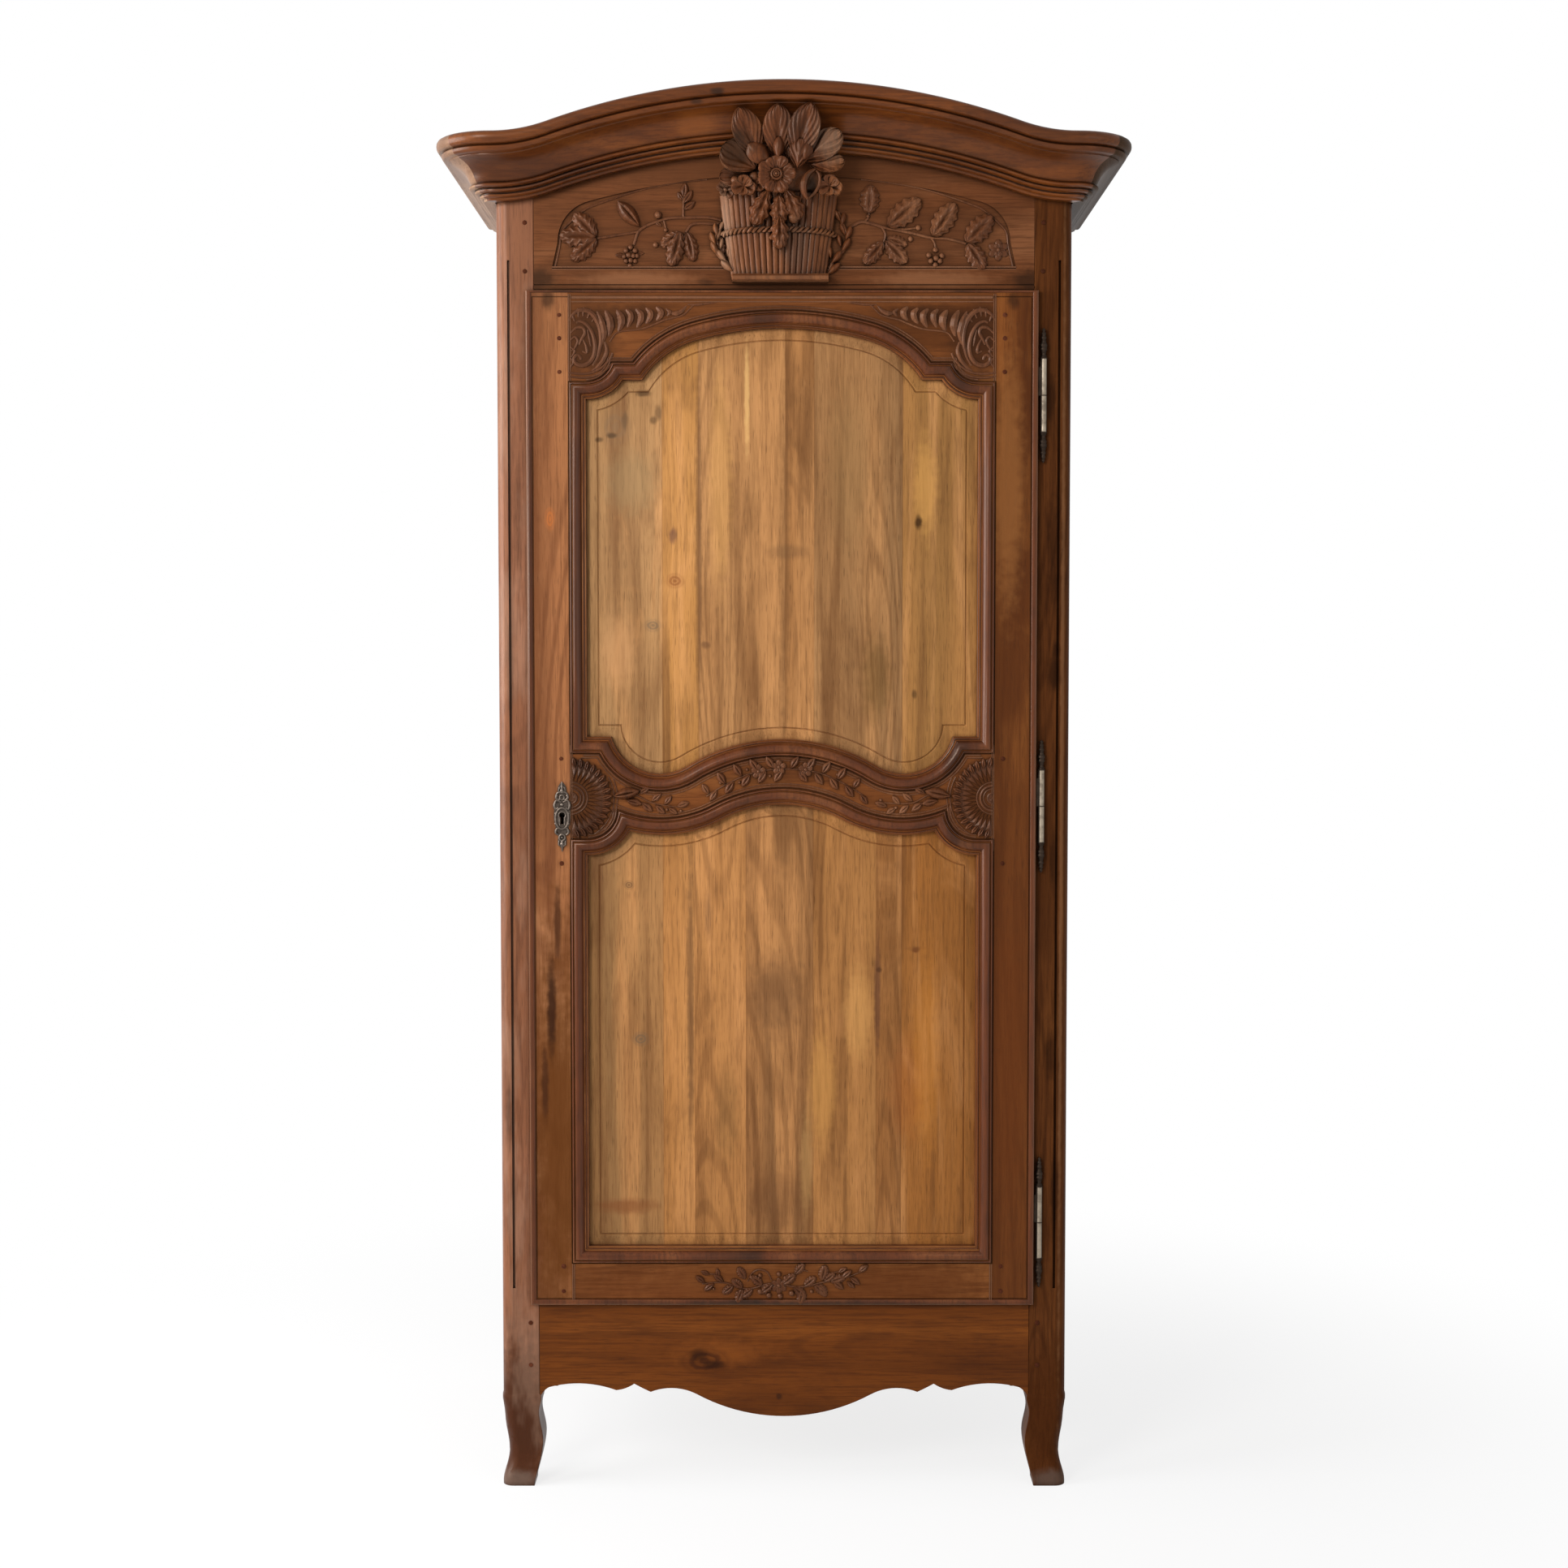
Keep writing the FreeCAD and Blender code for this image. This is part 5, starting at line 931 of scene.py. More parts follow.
@dataclass
class Door:
    """The door: stiles, rails, mouldings and panels."""

    finishes: dict[str, bpy.types.Material]
    outlines: DoorOutlines = field(default_factory=DoorOutlines)
    middle: float = -3.0
    face: float = -240.0
    lip_left: float = -402.0
    lip_right: float = 396.0
    lip_low: float = 296.0
    lip_high: float = 1894.0
    panel_face: float = -225.0
    panel_back: float = -217.0
    field_in: float = 19.0
    field_rise: float = 4.0
    moulding: tuple[Pair, ...] = (
        (25.0, -1.5), (25.0, 1.6), (24.5, 3.2), (23.5, 4.2), (22.5, 4.3), (21.6, 3.5), (21.1, 1.2), (20.3, 1.2),
        (19.9, 3.8), (19.0, 5.0), (17.2, 5.7), (15.0, 5.6), (12.6, 4.7), (10.2, 3.2), (8.2, 1.2), (6.6, -1.2),
        (5.5, -3.2), (5.1, -4.8), (4.5, -4.8), (4.2, -2.4), (3.4, -1.8), (2.4, -2.2), (2.0, -4.2), (0.4, -4.8),
        (-0.4, -5.6), (-0.4, -14.9), (2.0, -14.5), (6.0, -6.4), (22.0, -1.5),
    )
    bead: tuple[Pair, ...] = (
        (0.4, -8.5), (0.4, -1.2), (0.0, 0.3), (-1.0, 1.3), (-2.6, 2.0), (-4.6, 2.2), (-6.6, 1.8), (-8.0, 0.9),
        (-8.8, -0.2), (-8.8, -1.2), (-4.0, -3.0),
    )

    def build(self) -> None:
        """Make every piece of the door."""
        rail = self.finishes["door_across"]
        # The stiles take one wood lit and shaded: painted light on the lock stile, painted shade on the hinge stile.
        for name, key in (("hinge_stile", "stile_right_painted_shade"), ("lock_stile", "stile_left_painted_light")):
            eased(name, Body.DOOR, self.finishes[key], 0.0, 16.0)
        for name in ("door_rail_top", "door_rail_middle", "door_rail_bottom"):
            eased(name, Body.DOOR, rail, 0.0, 16.0)
        for name, outline in (("upper", self.outlines.upper), ("lower", self.outlines.lower)):
            ring = ring_sweep(outline, self.moulding, self.face, self.middle)
            piece(name + "_moulding", ring.mesh(name, 40.0), Body.DOOR, self.finishes["moulding"])
            self._panel(name, outline)
        edge = ring_sweep(self._lip, self.bead, self.face, 0.0)
        piece("door_edge_bead", edge.mesh("edge", 40.0), Body.DOOR, self.finishes["moulding"])

    def _lip(self, grow: float) -> list[Pair]:
        """Return the outer edge of the door grown outward by grow, and less inward at the top."""
        left, right = self.lip_left - grow, self.lip_right + grow
        low, high = self.lip_low - grow, self.lip_high + (grow if grow > 0 else 0.4 * grow)
        return [(left, low), (left, high), (right, high), (right, low)]

    def _panel(self, name: str, outline: Callable[[float], list[Pair]]) -> None:
        """Make a floating panel with a bevelled border and a raised field."""
        front = [
            (10.0, 0.0), (-2.0, 0.0), (-4.0, 0.1), (-6.0, 0.5), (-9.0, 1.2), (-13.0, 2.2), (-16.4, 3.0), (-17.2, 2.8),
            (-18.1, 1.9), (-18.7, 1.9), (-self.field_in - 0.8, self.field_rise - 0.4), (-20.8, self.field_rise),
        ]
        rows = [[(x + self.middle, self.panel_back, z) for x, z in outline(10.0)]]
        for grow, proud in front:
            rows.append([(x + self.middle, self.panel_face - proud, z) for x, z in outline(grow)])
        draft = Draft()
        draft.tube(rows)
        piece(name + "_panel", draft.mesh(name, 25.0), Body.DOOR, self.finishes[name + "_panel"],
              ("door_panel_" + name,))


# Carvings

@dataclass
class Carvings:
    """Relief on the frieze and the door rails."""

    carver: Carver
    outlines: DoorOutlines = field(default_factory=DoorOutlines)
    frieze_ground: float = -227.0
    door_ground: float = -240.0
    post_ground: float = -230.0
    middle: float = -3.0

    def __post_init__(self) -> None:
        """Make the motifs once."""
        self.oak_leaf = LeafShape(width=0.68, belly=0.5, blunt=0.55, lobes=5, notch=0.2, lift=0.13, edge=0.05,
                                  groove=0.09, veins=0.03, vein_count=5, slant=2.0, rows=30, columns=20).mesh()
        self.plain_leaf = LeafShape(width=0.54, belly=0.52, lift=0.18, groove=0.1, veins=0.025).mesh()
        self.flute = LeafShape(width=0.31, belly=0.82, blunt=0.4, lift=0.04, edge=0.05, groove=-0.02).mesh()
        self.petal = LeafShape(width=0.6, belly=0.62, blunt=0.5, lift=0.12, groove=0.04, cup=0.05, rows=10,
                               columns=6).mesh()
        self.berry = berry_mesh()

    def build(self) -> None:
        """Carve every place."""
        self._frieze_left()
        self._frieze_right()
        for side in (-1, 1):
            self._head_corner(side)
            self._shell(side)
        self._cross_rail()
        self._bottom_rail()
        self._frieze_lines()
        self._rail_fillets()

    def _rail_fillets(self) -> None:
        """Run thin fillets beside the mouldings, on the middle rail and round the head."""
        for outline, low, high in ((self.outlines.upper, 1100, 1200), (self.outlines.lower, 1040, 1200),
                                   (self.outlines.upper, 1745, 1900)):
            for grow, thick in ((28.6, 1.3), (32.6, 1.1)):
                line = kept_run(outline(grow), lambda point: low < point[1] < high and abs(point[0]) <= 329)
                self.carver.ridge([(x + self.middle, z, 0.2) for x, z in line], self.door_ground, (thick,), 6)
        for low, high in ((303, 362), (1020, 1186), (1754, 1888)):
            for side in (-1, 1):
                for across, thick in ((332.4, 0.9), (329.8, 0.8)):
                    x = self.middle + side * across
                    self.carver.ridge([(x, low, 0.0), (x, high, 0.0)], self.door_ground, (thick,), 6)
        for z, thick in ((1883.0, 2.4), (1876.5, 1.1)):
            ends = [(self.middle + side * 328, z, -0.3) for side in (-1, 1)]
            self.carver.ridge(ends, self.door_ground, (thick,), 8)
        self.carver.finish("rail_fillets", Body.DOOR, "door_wood")

    def _stems(self, ground: float, *stems: tuple[Sequence[float], Sequence[Pair]]) -> None:
        """Run stems given as radii and points."""
        for thick, points in stems:
            self.carver.stem(points, ground, thick)

    def _frieze_left(self) -> None:
        """Carve the left sprig of the frieze."""
        ground = self.frieze_ground
        self._stems(
            ground, ((1.9, 1.9), ((-291, 1976), (-259, 1981), (-227, 1986))),
            ((2.4, 2.2, 2.6), ((-234, 1966), (-231, 1976), (-227, 1986), (-217, 1994), (-200, 2001), (-179, 2007),
                               (-152, 2008), (-118, 2008), (-98, 2004))),
            ((2.1, 2.2), ((-153, 1985), (-145, 1996), (-132, 1999), (-102, 1998))),
            ((2.1, 1.7), ((-157, 2009), (-156, 2040))), ((1.8, 1.8), ((-187, 2003), (-184, 1991))))
        self.carver.set(self.oak_leaf, [
            Spot(-293, 1978, 57, -88, 0.95), Spot(-293, 1978, 50, -43, 1.0), Spot(-292, 1976, 52, -131, 0.85),
            Spot(-161, 1986, 56, -164, 0.82), Spot(-151, 1985, 46, 167, 0.82), Spot(-160, 1984, 38, -122, 1.0),
            Spot(-106, 1984, 34, 158, 0.9),
        ], ground)
        self.carver.set(self.plain_leaf, [
            Spot(-225, 1994, 52, -41, 0.85), Spot(-156, 2038, 24, 6), Spot(-156, 2030, 24, 34),
            Spot(-156, 2020, 22, 54), Spot(-157, 2034, 16, -34), Spot(-249, 1950, 14, -88), Spot(-230, 1952, 12, 84),
            Spot(-190, 1995, 12, -60),
        ], ground)
        cone = [(-239, 1962, 9), (-246, 1957, 9), (-232, 1957, 9), (-242, 1950, 10), (-235, 1949, 9), (-249, 1948, 8),
                (-229, 1949, 8), (-239, 1942, 9), (-246, 1941, 8), (-232, 1941, 8), (-240, 1934, 8), (-196, 2012, 12),
                (-200, 1966, 9), (-184, 1989, 7)]
        self._berries(cone, ground)
        self.carver.finish("frieze_sprig_left", Body.CARCASS, "carved_wood")

    def _frieze_right(self) -> None:
        """Carve the right sprig of the frieze."""
        ground = self.frieze_ground
        self._stems(
            ground, ((2.7, 2.4, 2.2, 1.9), ((96, 1988), (110, 1997), (125, 2001), (159, 1992), (199, 1984), (229, 1977),
                                            (256, 1975), (284, 1968))),
            ((1.9, 1.7), ((125, 2001), (131, 2008), (133, 2018))), ((2.2, 1.8), ((152, 1994), (158, 1982), (155, 1968))),
            ((1.8, 1.6), ((166, 1991), (190, 1990), (206, 1992))), ((1.8, 1.7), ((229, 1977), (234, 1970), (236, 1962))))
        self.carver.set(self.oak_leaf, [
            Spot(132, 2014, 44, 4, 1.1), Spot(162, 1994, 66, 50, 0.85), Spot(232, 1979, 62, 34, 0.85),
            Spot(284, 1969, 58, 44, 0.95), Spot(286, 1968, 48, 146, 0.95), Spot(155, 1970, 46, -138, 0.85),
            Spot(158, 1972, 48, 136, 0.9), Spot(160, 1976, 34, 108, 0.9),
        ], ground)
        grapes = [(209, 1992, 9), (197, 1975, 9), (236, 1958, 9), (226, 1950, 9), (246, 1949, 9), (237, 1945, 10),
                  (236, 1935, 9), (243, 1941, 9), (229, 1941, 9), (131, 2010, 6)]
        self._berries(grapes, ground)
        ring = [Spot(334, 1958, 17, 60 * index, 1.0, 1.2) for index in range(6)]
        self.carver.set(self.petal, ring + [Spot(334, 1958, 11, 60 * index + 30, 1.0, 1.6, 1) for index in range(6)],
                        ground)
        self._berries([(334, 1958, 8)], ground)
        self.carver.finish("frieze_sprig_right", Body.CARCASS, "carved_wood")

    def _berries(self, places: Sequence[Triple], ground: float) -> None:
        """Set berries at (x, z, width) places."""
        self.carver.set(self.berry, [Spot(x, z, size, y=0.12 * size, lift=1.1) for x, z, size in places], ground)

    def _frieze_lines(self) -> None:
        """Run the thin raised line inside the arched field and the two lines under it."""
        field_line = [(-357, 1932), (-350, 1962), (-346, 1986), (-332, 2002), (-312, 2019), (-290, 2029), (-226, 2050),
                      (-172, 2061), (-120, 2067)]
        for side in (-1, 1):
            path = [(x * -side, z) for x, z in field_line]
            self.carver.stem(path, self.frieze_ground, (1.5, 1.6, 1.3), 0.3)
        for z, thick in ((1931.5, 1.3), (1928.0, 0.8)):
            self.carver.ridge([(-362.0, z, -0.4), (362.0, z, -0.4)], self.post_ground, (thick,), 8)
        self.carver.finish("frieze_lines", Body.CARCASS, "frame_wood")

    def _head_corner(self, side: int) -> None:
        """Carve a scroll and its row of leaning tongues in a top corner of the door.

        Args:
            side: Minus one for the left corner and one for the right.
        """
        strokes = (
            ((1.4, 2.6, 3.2, 3.0, 2.4, 1.4), (
                (-335, 1848), (-327, 1858), (-317, 1863), (-306, 1862), (-297, 1856), (-290, 1845), (-286, 1832),
                (-285, 1817), (-287, 1805), (-291, 1790), (-298, 1778))),
            ((1.2, 2.4, 2.8, 2.8, 2.2, 1.6), (
                (-323, 1844), (-317, 1846), (-307, 1841), (-299, 1829), (-295, 1816), (-294, 1804), (-297, 1791),
                (-305, 1781), (-316, 1778), (-325, 1782), (-327, 1789), (-323, 1794), (-318, 1792), (-316, 1787))),
            ((1.0, 2.0, 2.0, 1.2), (
                (-332, 1828), (-323, 1836), (-313, 1836), (-310, 1828), (-316, 1817), (-319, 1810))),
            ((0.9, 1.6, 1.0), ((-334, 1815), (-326, 1822), (-321, 1816), (-325, 1806), (-331, 1800))),
            ((1.0, 2.0, 0.9), ((-313, 1818), (-308, 1808), (-307, 1798), (-314, 1800))),
            ((1.2, 2.8, 2.6, 1.0), ((-279, 1814), (-276, 1801), (-281, 1787), (-291, 1775), (-299, 1770))),
            ((1.2, 1.6, 1.4), ((-336, 1767), (-314, 1765), (-296, 1768), (-281, 1777), (-271, 1788), (-267, 1797))),
            ((1.0, 1.3, 0.9), ((-336, 1761), (-314, 1759), (-294, 1762), (-277, 1771), (-268, 1781))),
            ((0.8, 1.0, 1.0, 0.8), (
                (-271, 1815), (-262, 1827), (-250, 1831), (-230, 1833), (-216, 1836), (-198, 1843), (-186, 1848),
                (-170, 1852), (-157, 1856), (-149, 1863), (-140, 1872))),
            ((1.0, 4.4, 4.4, 1.6), ((-292, 1864), (-285, 1849), (-281, 1836), (-280, 1825), (-284, 1809))),
            ((1.4, 5.2, 5.4, 2.0), ((-279, 1865), (-272, 1850), (-270, 1838), (-273, 1823))),
            ((1.4, 5.4, 5.2, 1.6), ((-261, 1865), (-254, 1853), (-253, 1843), (-258, 1830))),
            ((1.4, 4.2, 4.0, 1.2), ((-246, 1865), (-239, 1857), (-239, 1848), (-244, 1836))),
            ((1.4, 4.6, 4.4, 1.4), ((-231, 1866), (-223, 1857), (-223, 1848), (-229, 1836))),
            ((1.4, 4.2, 4.0, 1.2), ((-215, 1867), (-208, 1859), (-209, 1851), (-215, 1842))),
            ((1.4, 4.4, 4.0, 1.2), ((-199, 1869), (-192, 1861), (-193, 1854), (-199, 1847))),
            ((0.8, 2.8, 0.9), ((-184, 1866), (-178, 1860), (-182, 1854))),
            ((0.9, 3.2, 2.6, 0.8), ((-178, 1860), (-168, 1858), (-159, 1862), (-151, 1871))),
            ((0.7, 1.4, 0.7), ((-150, 1872), (-132, 1872), (-104, 1876))),
            ((0.7, 1.5, 0.7), ((-330, 1858), (-328, 1852), (-326, 1846))),
            ((0.7, 1.5, 0.7), ((-321, 1866), (-320, 1860), (-320, 1853))),
            ((0.7, 1.5, 0.7), ((-311, 1868), (-312, 1861), (-313, 1854))),
            ((0.7, 1.5, 0.7), ((-301, 1865), (-303, 1858), (-306, 1851))),
            ((0.7, 1.4, 0.7), ((-290, 1858), (-294, 1852), (-299, 1845))),
            ((0.8, 1.6, 0.8), ((-333, 1807), (-326, 1800), (-331, 1791))),
            ((0.8, 1.5, 0.8), ((-333, 1790), (-328, 1783), (-333, 1775))),
            ((0.8, 1.5, 0.8), ((-306, 1833), (-303, 1820), (-301, 1808))),
        )
        for thick, path in strokes:
            places = [(self.middle - side * (x - self.middle), z) for x, z in path]
            self.carver.stem(places, self.door_ground, [1.5 * part for part in thick], 0.5 - 0.6 * max(thick))
        self.carver.finish("head_scroll_" + ("left" if side < 0 else "right"), Body.DOOR, "carved_wood")

    def _shell(self, side: int) -> None:
        """Carve a half shell where the middle rail meets a stile.

        Args:
            side: Minus one for the left shell and one for the right.
        """
        ground = self.door_ground
        centre = (-334.0, 1103.0) if side < 0 else (328.0, 1103.0)
        way = -side

        def at(radius: float, angle: float) -> Pair:
            """Return the place at a radius and at an angle in degrees above level."""
            turn = math.radians(angle)
            return (centre[0] + way * radius * math.cos(turn), centre[1] + radius * math.sin(turn))

        for radius, thick, low, high in ((8.0, 1.8, -90, 90), (14.5, 1.3, -90, 90), (19.5, 2.0, -90, 90),
                                         (25.0, 1.3, -90, 90), (67.0, 1.1, -58, 30), (72.0, 1.0, -44, 26)):
            path = [(*at(radius, low + (high - low) * index / 24), 0.3) for index in range(25)]
            self.carver.ridge(path, ground, (thick,))
        flutes = []
        ends = []
        for index in range(17):
            angle = -83.2 + 10.4 * index
            turn = way * (90 - angle)
            x, z = at(27.0, angle)
            flutes.append(Spot(x, z, 35.0, turn, 1.0, 0.9))
            x, z = at(48.0, angle)
            ends.append(Spot(x, z, 17.0, turn - way * 14, 0.95, 1.3, 1.2, 6))
        self.carver.set(self.flute, flutes, ground)
        self.carver.set(self.plain_leaf, ends, ground)
        self.carver.set(self.petal, [Spot(*at(2, 0), 8, way * turn, 0.9) for turn in (10, 55, 95, 135, 175)], ground)
        self.carver.finish("shell_" + ("left" if side < 0 else "right"), Body.DOOR, "carved_wood")

    def _cross_rail(self) -> None:
        """Carve the sprigs and the garland of the middle rail."""
        ground = self.door_ground
        left = [Spot(-268, 1106, 42, 78, 0.8, 1.2), Spot(-248, 1100, 26, 104, 0.9), Spot(-228, 1110, 20, 60, 0.9),
                Spot(-224, 1096, 22, 128, 1.0), Spot(-208, 1098, 20, 50, 1.0), Spot(-202, 1092, 20, 132, 1.0),
                Spot(-188, 1093, 18, 40, 1.0), Spot(-182, 1088, 18, 124, 1.0), Spot(-168, 1090, 20, 72, 1.0)]
        self.carver.stem([(-264, 1106), (-235, 1108), (-205, 1095), (-160, 1088)], ground, (1.0, 1.2, 0.8))
        self.carver.stem([(258, 1108), (229, 1108), (199, 1095), (152, 1096)], ground, (1.0, 1.2, 0.8))
        self.carver.set(self.plain_leaf, left + [
            Spot(-6 - spot.x, spot.z, spot.length, -spot.turn, spot.wide) for spot in left], ground)
        self._berries([(-214, 1090, 5), (-200, 1101, 5), (-184, 1085, 5), (-162, 1083, 5), (208, 1090, 5),
                       (194, 1101, 5), (176, 1088, 5), (152, 1100, 5)], ground)
        crest = [(-122, 1106), (-92, 1124), (-60, 1139), (-28, 1147), (4, 1149), (36, 1147), (66, 1139), (96, 1125),
                 (124, 1108)]
        self.carver.stem(crest, ground, (0.9, 1.3, 1.3, 0.9))
        line = flowing(crest, 5)
        leaves = []
        for index in range(1, len(line) - 1, 2):
            x, z = line[index]
            up = 1 if index % 4 == 1 else -1
            lean = -34 if x < 0 else 34
            size = 23 if abs(x) < 100 else 19
            leaves.append(Spot(x, z + up, size, (lean if up > 0 else 180 - lean), 1.05, 1.25))
        self.carver.set(self.plain_leaf, leaves, ground)
        for x, z in ((-40, 1145), (-8, 1152), (34, 1148)):
            self.carver.set(self.petal, [Spot(x, z, 12, 72 * index, 1.15, 1.5, 1.2, 8) for index in range(5)], ground)
            self._berries([(x, z, 6)], ground - 2.0)
        self._berries([(-100, 1127, 5), (-70, 1128, 5), (-58, 1148, 5), (16, 1160, 5), (58, 1134, 5), (84, 1140, 5),
                       (104, 1114, 5), (-22, 1138, 5)], ground)
        self.carver.finish("cross_rail_garland", Body.DOOR, "carved_wood")

    def _bottom_rail(self) -> None:
        """Carve the spray of the bottom rail."""
        ground = self.door_ground
        path = [(-130, 330), (-96, 332), (-58, 322), (-18, 331), (24, 325), (64, 333), (98, 340), (128, 352)]
        self.carver.stem(path, ground, (0.9, 1.5, 1.5, 0.8))
        line = flowing(path, 5)
        leaves = []
        for index in range(1, len(line) - 1, 2):
            x, z = line[index]
            up = 1 if index % 4 == 1 else -1
            lean = -52 if x < -10 else 52
            leaves.append(Spot(x, z + up, 25 - abs(x) * 0.05, (lean if up > 0 else 180 - lean), 1.0, 1.1))
        self._stems(
            ground, ((0.8, 1.5, 0.9), ((-58, 334), (-50, 348), (-38, 353), (-26, 348), (-20, 336))),
            ((0.8, 1.4, 0.8), ((8, 330), (14, 344), (26, 352), (38, 350))),
            ((0.8, 1.3, 0.8), ((64, 333), (74, 346), (88, 350))), ((0.8, 1.3, 0.8), ((-96, 332), (-104, 344), (-118, 346))))
        self.carver.set(self.oak_leaf, leaves[3:-4] + [
            Spot(-66, 322, 24, -160, 1.0), Spot(-62, 338, 22, -30, 1.0), Spot(30, 322, 25, 190, 1.0),
            Spot(60, 336, 25, 14, 1.05), Spot(74, 334, 24, 74, 1.0), Spot(56, 330, 23, 152, 1.0),
            Spot(18, 346, 22, 40, 1.0),
        ], ground)
        self.carver.set(self.plain_leaf, leaves[:3] + leaves[-4:] + [
            Spot(-118, 345, 15, -70), Spot(-104, 340, 15, -8), Spot(86, 348, 16, 60), Spot(100, 334, 16, 130),
        ], ground)
        self.carver.set(self.petal, [Spot(-8, 327, 13, 60 * index, 1.0, y=0.8) for index in range(6)], ground)
        self._berries([(-8, 327, 7), (-74, 316, 6), (-52, 341, 6), (44, 318, 6), (58, 346, 6), (90, 328, 6),
                       (-112, 322, 5), (-38, 318, 9), (-24, 312, 9), (-6, 311, 9), (12, 315, 9), (-38, 344, 7),
                       (-8, 346, 8), (2, 340, 7)], ground)
        self.carver.finish("bottom_rail_spray", Body.DOOR, "carved_wood")


@dataclass
class Basket:
    """Carved basket of reeds with a rose and a spray of leaves, standing on the frieze."""

    carver: Carver
    ground: float = -230.0
    middle: float = -8.5
    foot: float = 1912.0
    foot_half: float = 74.0
    foot_bulge: float = 24.0
    rim: float = 2040.0
    rim_half: float = 93.0
    rim_bulge: float = 36.0
    reeds: int = 20
    reed_rise: float = 2.8
    hoop: float = 1984.0

    def _skin(self, share: float, high: float, proud: float = 0.0) -> Triple:
        """Return a point on the basket.

        Args:
            share: Place across the front, from minus one to one.
            high: Height as a share from foot to rim.
            proud: Distance in front of the basket's mean surface.

        Returns:
            The point.
        """
        swell = 0.05 * math.sin(math.pi * high)
        half = self.foot_half + (self.rim_half - self.foot_half) * (high + swell)
        bulge = self.foot_bulge + (self.rim_bulge - self.foot_bulge) * high
        turn = share * math.pi / 2
        x = self.middle + (half + proud) * (0.6 * share + 0.4 * math.sin(turn))
        return (x, self.ground - (bulge + proud) * math.cos(turn) ** 0.8, self.foot + (self.rim - self.foot) * high)

    def build(self) -> None:
        """Make the reeds, the hoop, the foot, the spray and the rose in one piece."""
        self.carver.parts.append(self._body())
        self.carver.parts.append(self._foot())
        for phase in (0.0, math.pi):
            path = []
            for index in range(181):
                share = -0.98 + 1.96 * index / 180
                high = (self.hoop - self.foot) / (self.rim - self.foot)
                twist = phase + index * 0.42
                x, y, z = self._skin(share, high, 2.4 + 2.0 * math.cos(twist))
                path.append((x, z + 2.8 * math.sin(twist) - 4 * share ** 4, self.ground - y))
            self.carver.ridge(path, self.ground, (2.5,), 6)
        self._leaves()
        self._rose()
        self.carver.finish("flower_basket", Body.CARCASS, "carved_wood", ("basket_carving",))

    def _body(self) -> bpy.types.Mesh:
        """Make the reeded wall of the basket with a closed back."""
        columns = self.reeds * 8
        rows = []
        for i in range(25):
            high = i / 24
            row = []
            for j in range(columns + 1):
                share = -1 + 2 * j / columns
                rib = abs(math.sin(math.pi * self.reeds * (share + 1) / 2)) ** 0.55
                weave = 0.35 * math.sin(high * 60 + 9 * round(self.reeds * (share + 1) / 2))
                row.append(self._skin(share, high, self.reed_rise * (rib - 0.8) + weave * rib))
            row.append((self.middle + self._width(high), self.ground + 2.5, row[-1][2]))
            row.append((self.middle - self._width(high), self.ground + 2.5, row[0][2]))
            rows.append(row)
        draft = Draft()
        draft.tube(rows)
        return draft.mesh("reeds", 60.0)

    def _width(self, high: float) -> float:
        """Return the half-width of the basket's back at a share of its height."""
        return self._skin(1.0, high)[0] - self.middle - 2.0

    def _foot(self) -> bpy.types.Mesh:
        """Make the flat moulded foot under the reeds."""
        profile = ((0.0, 0.0), (30.5, 0.0), (32.0, 1.0), (32.5, 3.0), (32.0, 6.4), (30.0, 7.6), (29.0, 8.2),
                   (26.5, 10.5), (0.0, 10.5))
        rows = []
        for x, inset in ((-80.5, 1.4), (-79.6, 0.0), (68.6, 0.0), (69.5, 1.4)):
            rows.append([(x, self.ground + 2.0 - max(out - inset, 0.0), 1907.0 + high) for out, high in profile])
        draft = Draft()
        draft.tube(rows)
        return draft.mesh("foot", 40.0)

    def _leaves(self) -> None:
        """Set the leaves, petals, buds and balls of the spray."""
        ground = self.ground
        grooved = LeafShape(width=0.56, belly=0.55, blunt=0.6, lift=0.08, edge=0.07, groove=0.05, veins=0.02,
                            vein_count=4, slant=3.4, cup=0.07, rows=40, columns=44).mesh()
        veined = LeafShape(width=0.6, belly=0.58, blunt=0.52, lift=0.1, edge=0.06, groove=-0.04, veins=0.05,
                           vein_count=3, slant=2.0, cup=0.03, rows=36, columns=40).mesh()
        fanned = LeafShape(width=0.8, belly=0.6, blunt=0.48, lift=0.02, edge=0.06, groove=0.04, veins=0.03,
                           vein_count=2, slant=2.4, cup=0.12, rows=28, columns=36).mesh()
        oval = LeafShape(width=0.68, belly=0.6, blunt=0.5, lift=0.2, groove=0.0).mesh()
        frilled = LeafShape(width=0.66, belly=0.55, blunt=0.55, lobes=4, notch=0.24, lift=0.16, groove=0.09, veins=0.04,
                            vein_count=3, slant=2.0, rows=32, columns=20).mesh()
        broad = LeafShape(width=0.95, belly=0.66, blunt=0.42, lift=0.08, edge=0.1, groove=0.12, veins=0.03,
                          vein_count=1, slant=1.5, cup=0.14, rows=14, columns=14).mesh()
        self.carver.set(berry_mesh(), [Spot(-10, 2070, 92, 0, 1.5, 0.6, 12)], ground)
        self.carver.set(grooved, [
            Spot(-42, 2090, 80, -21, 1.0, 1.0, 46, 20), Spot(-8, 2090, 80, -1, 1.06, 1.0, 48, 20),
            Spot(18, 2087, 87, 17, 0.98, 1.0, 52, 19),
        ], ground)
        self.carver.set(fanned, [Spot(-44, 2073, 62, -56, 1.0, 1.0, 42, 8), Spot(-52, 2064, 48, -92, 0.8, 1.0, 34, 4)],
                        ground)
        self.carver.set(veined, [
            Spot(32, 2083, 72, 52, 0.98, 1.0, 48, 10), Spot(40, 2078, 54, 84, 0.9, 1.0, 44, 6),
            Spot(20, 2070, 46, 9, 1.15, 1.1, 60, 10), Spot(7, 2086, 30, 12, 1.1, 1.1, 54, 8),
        ], ground)
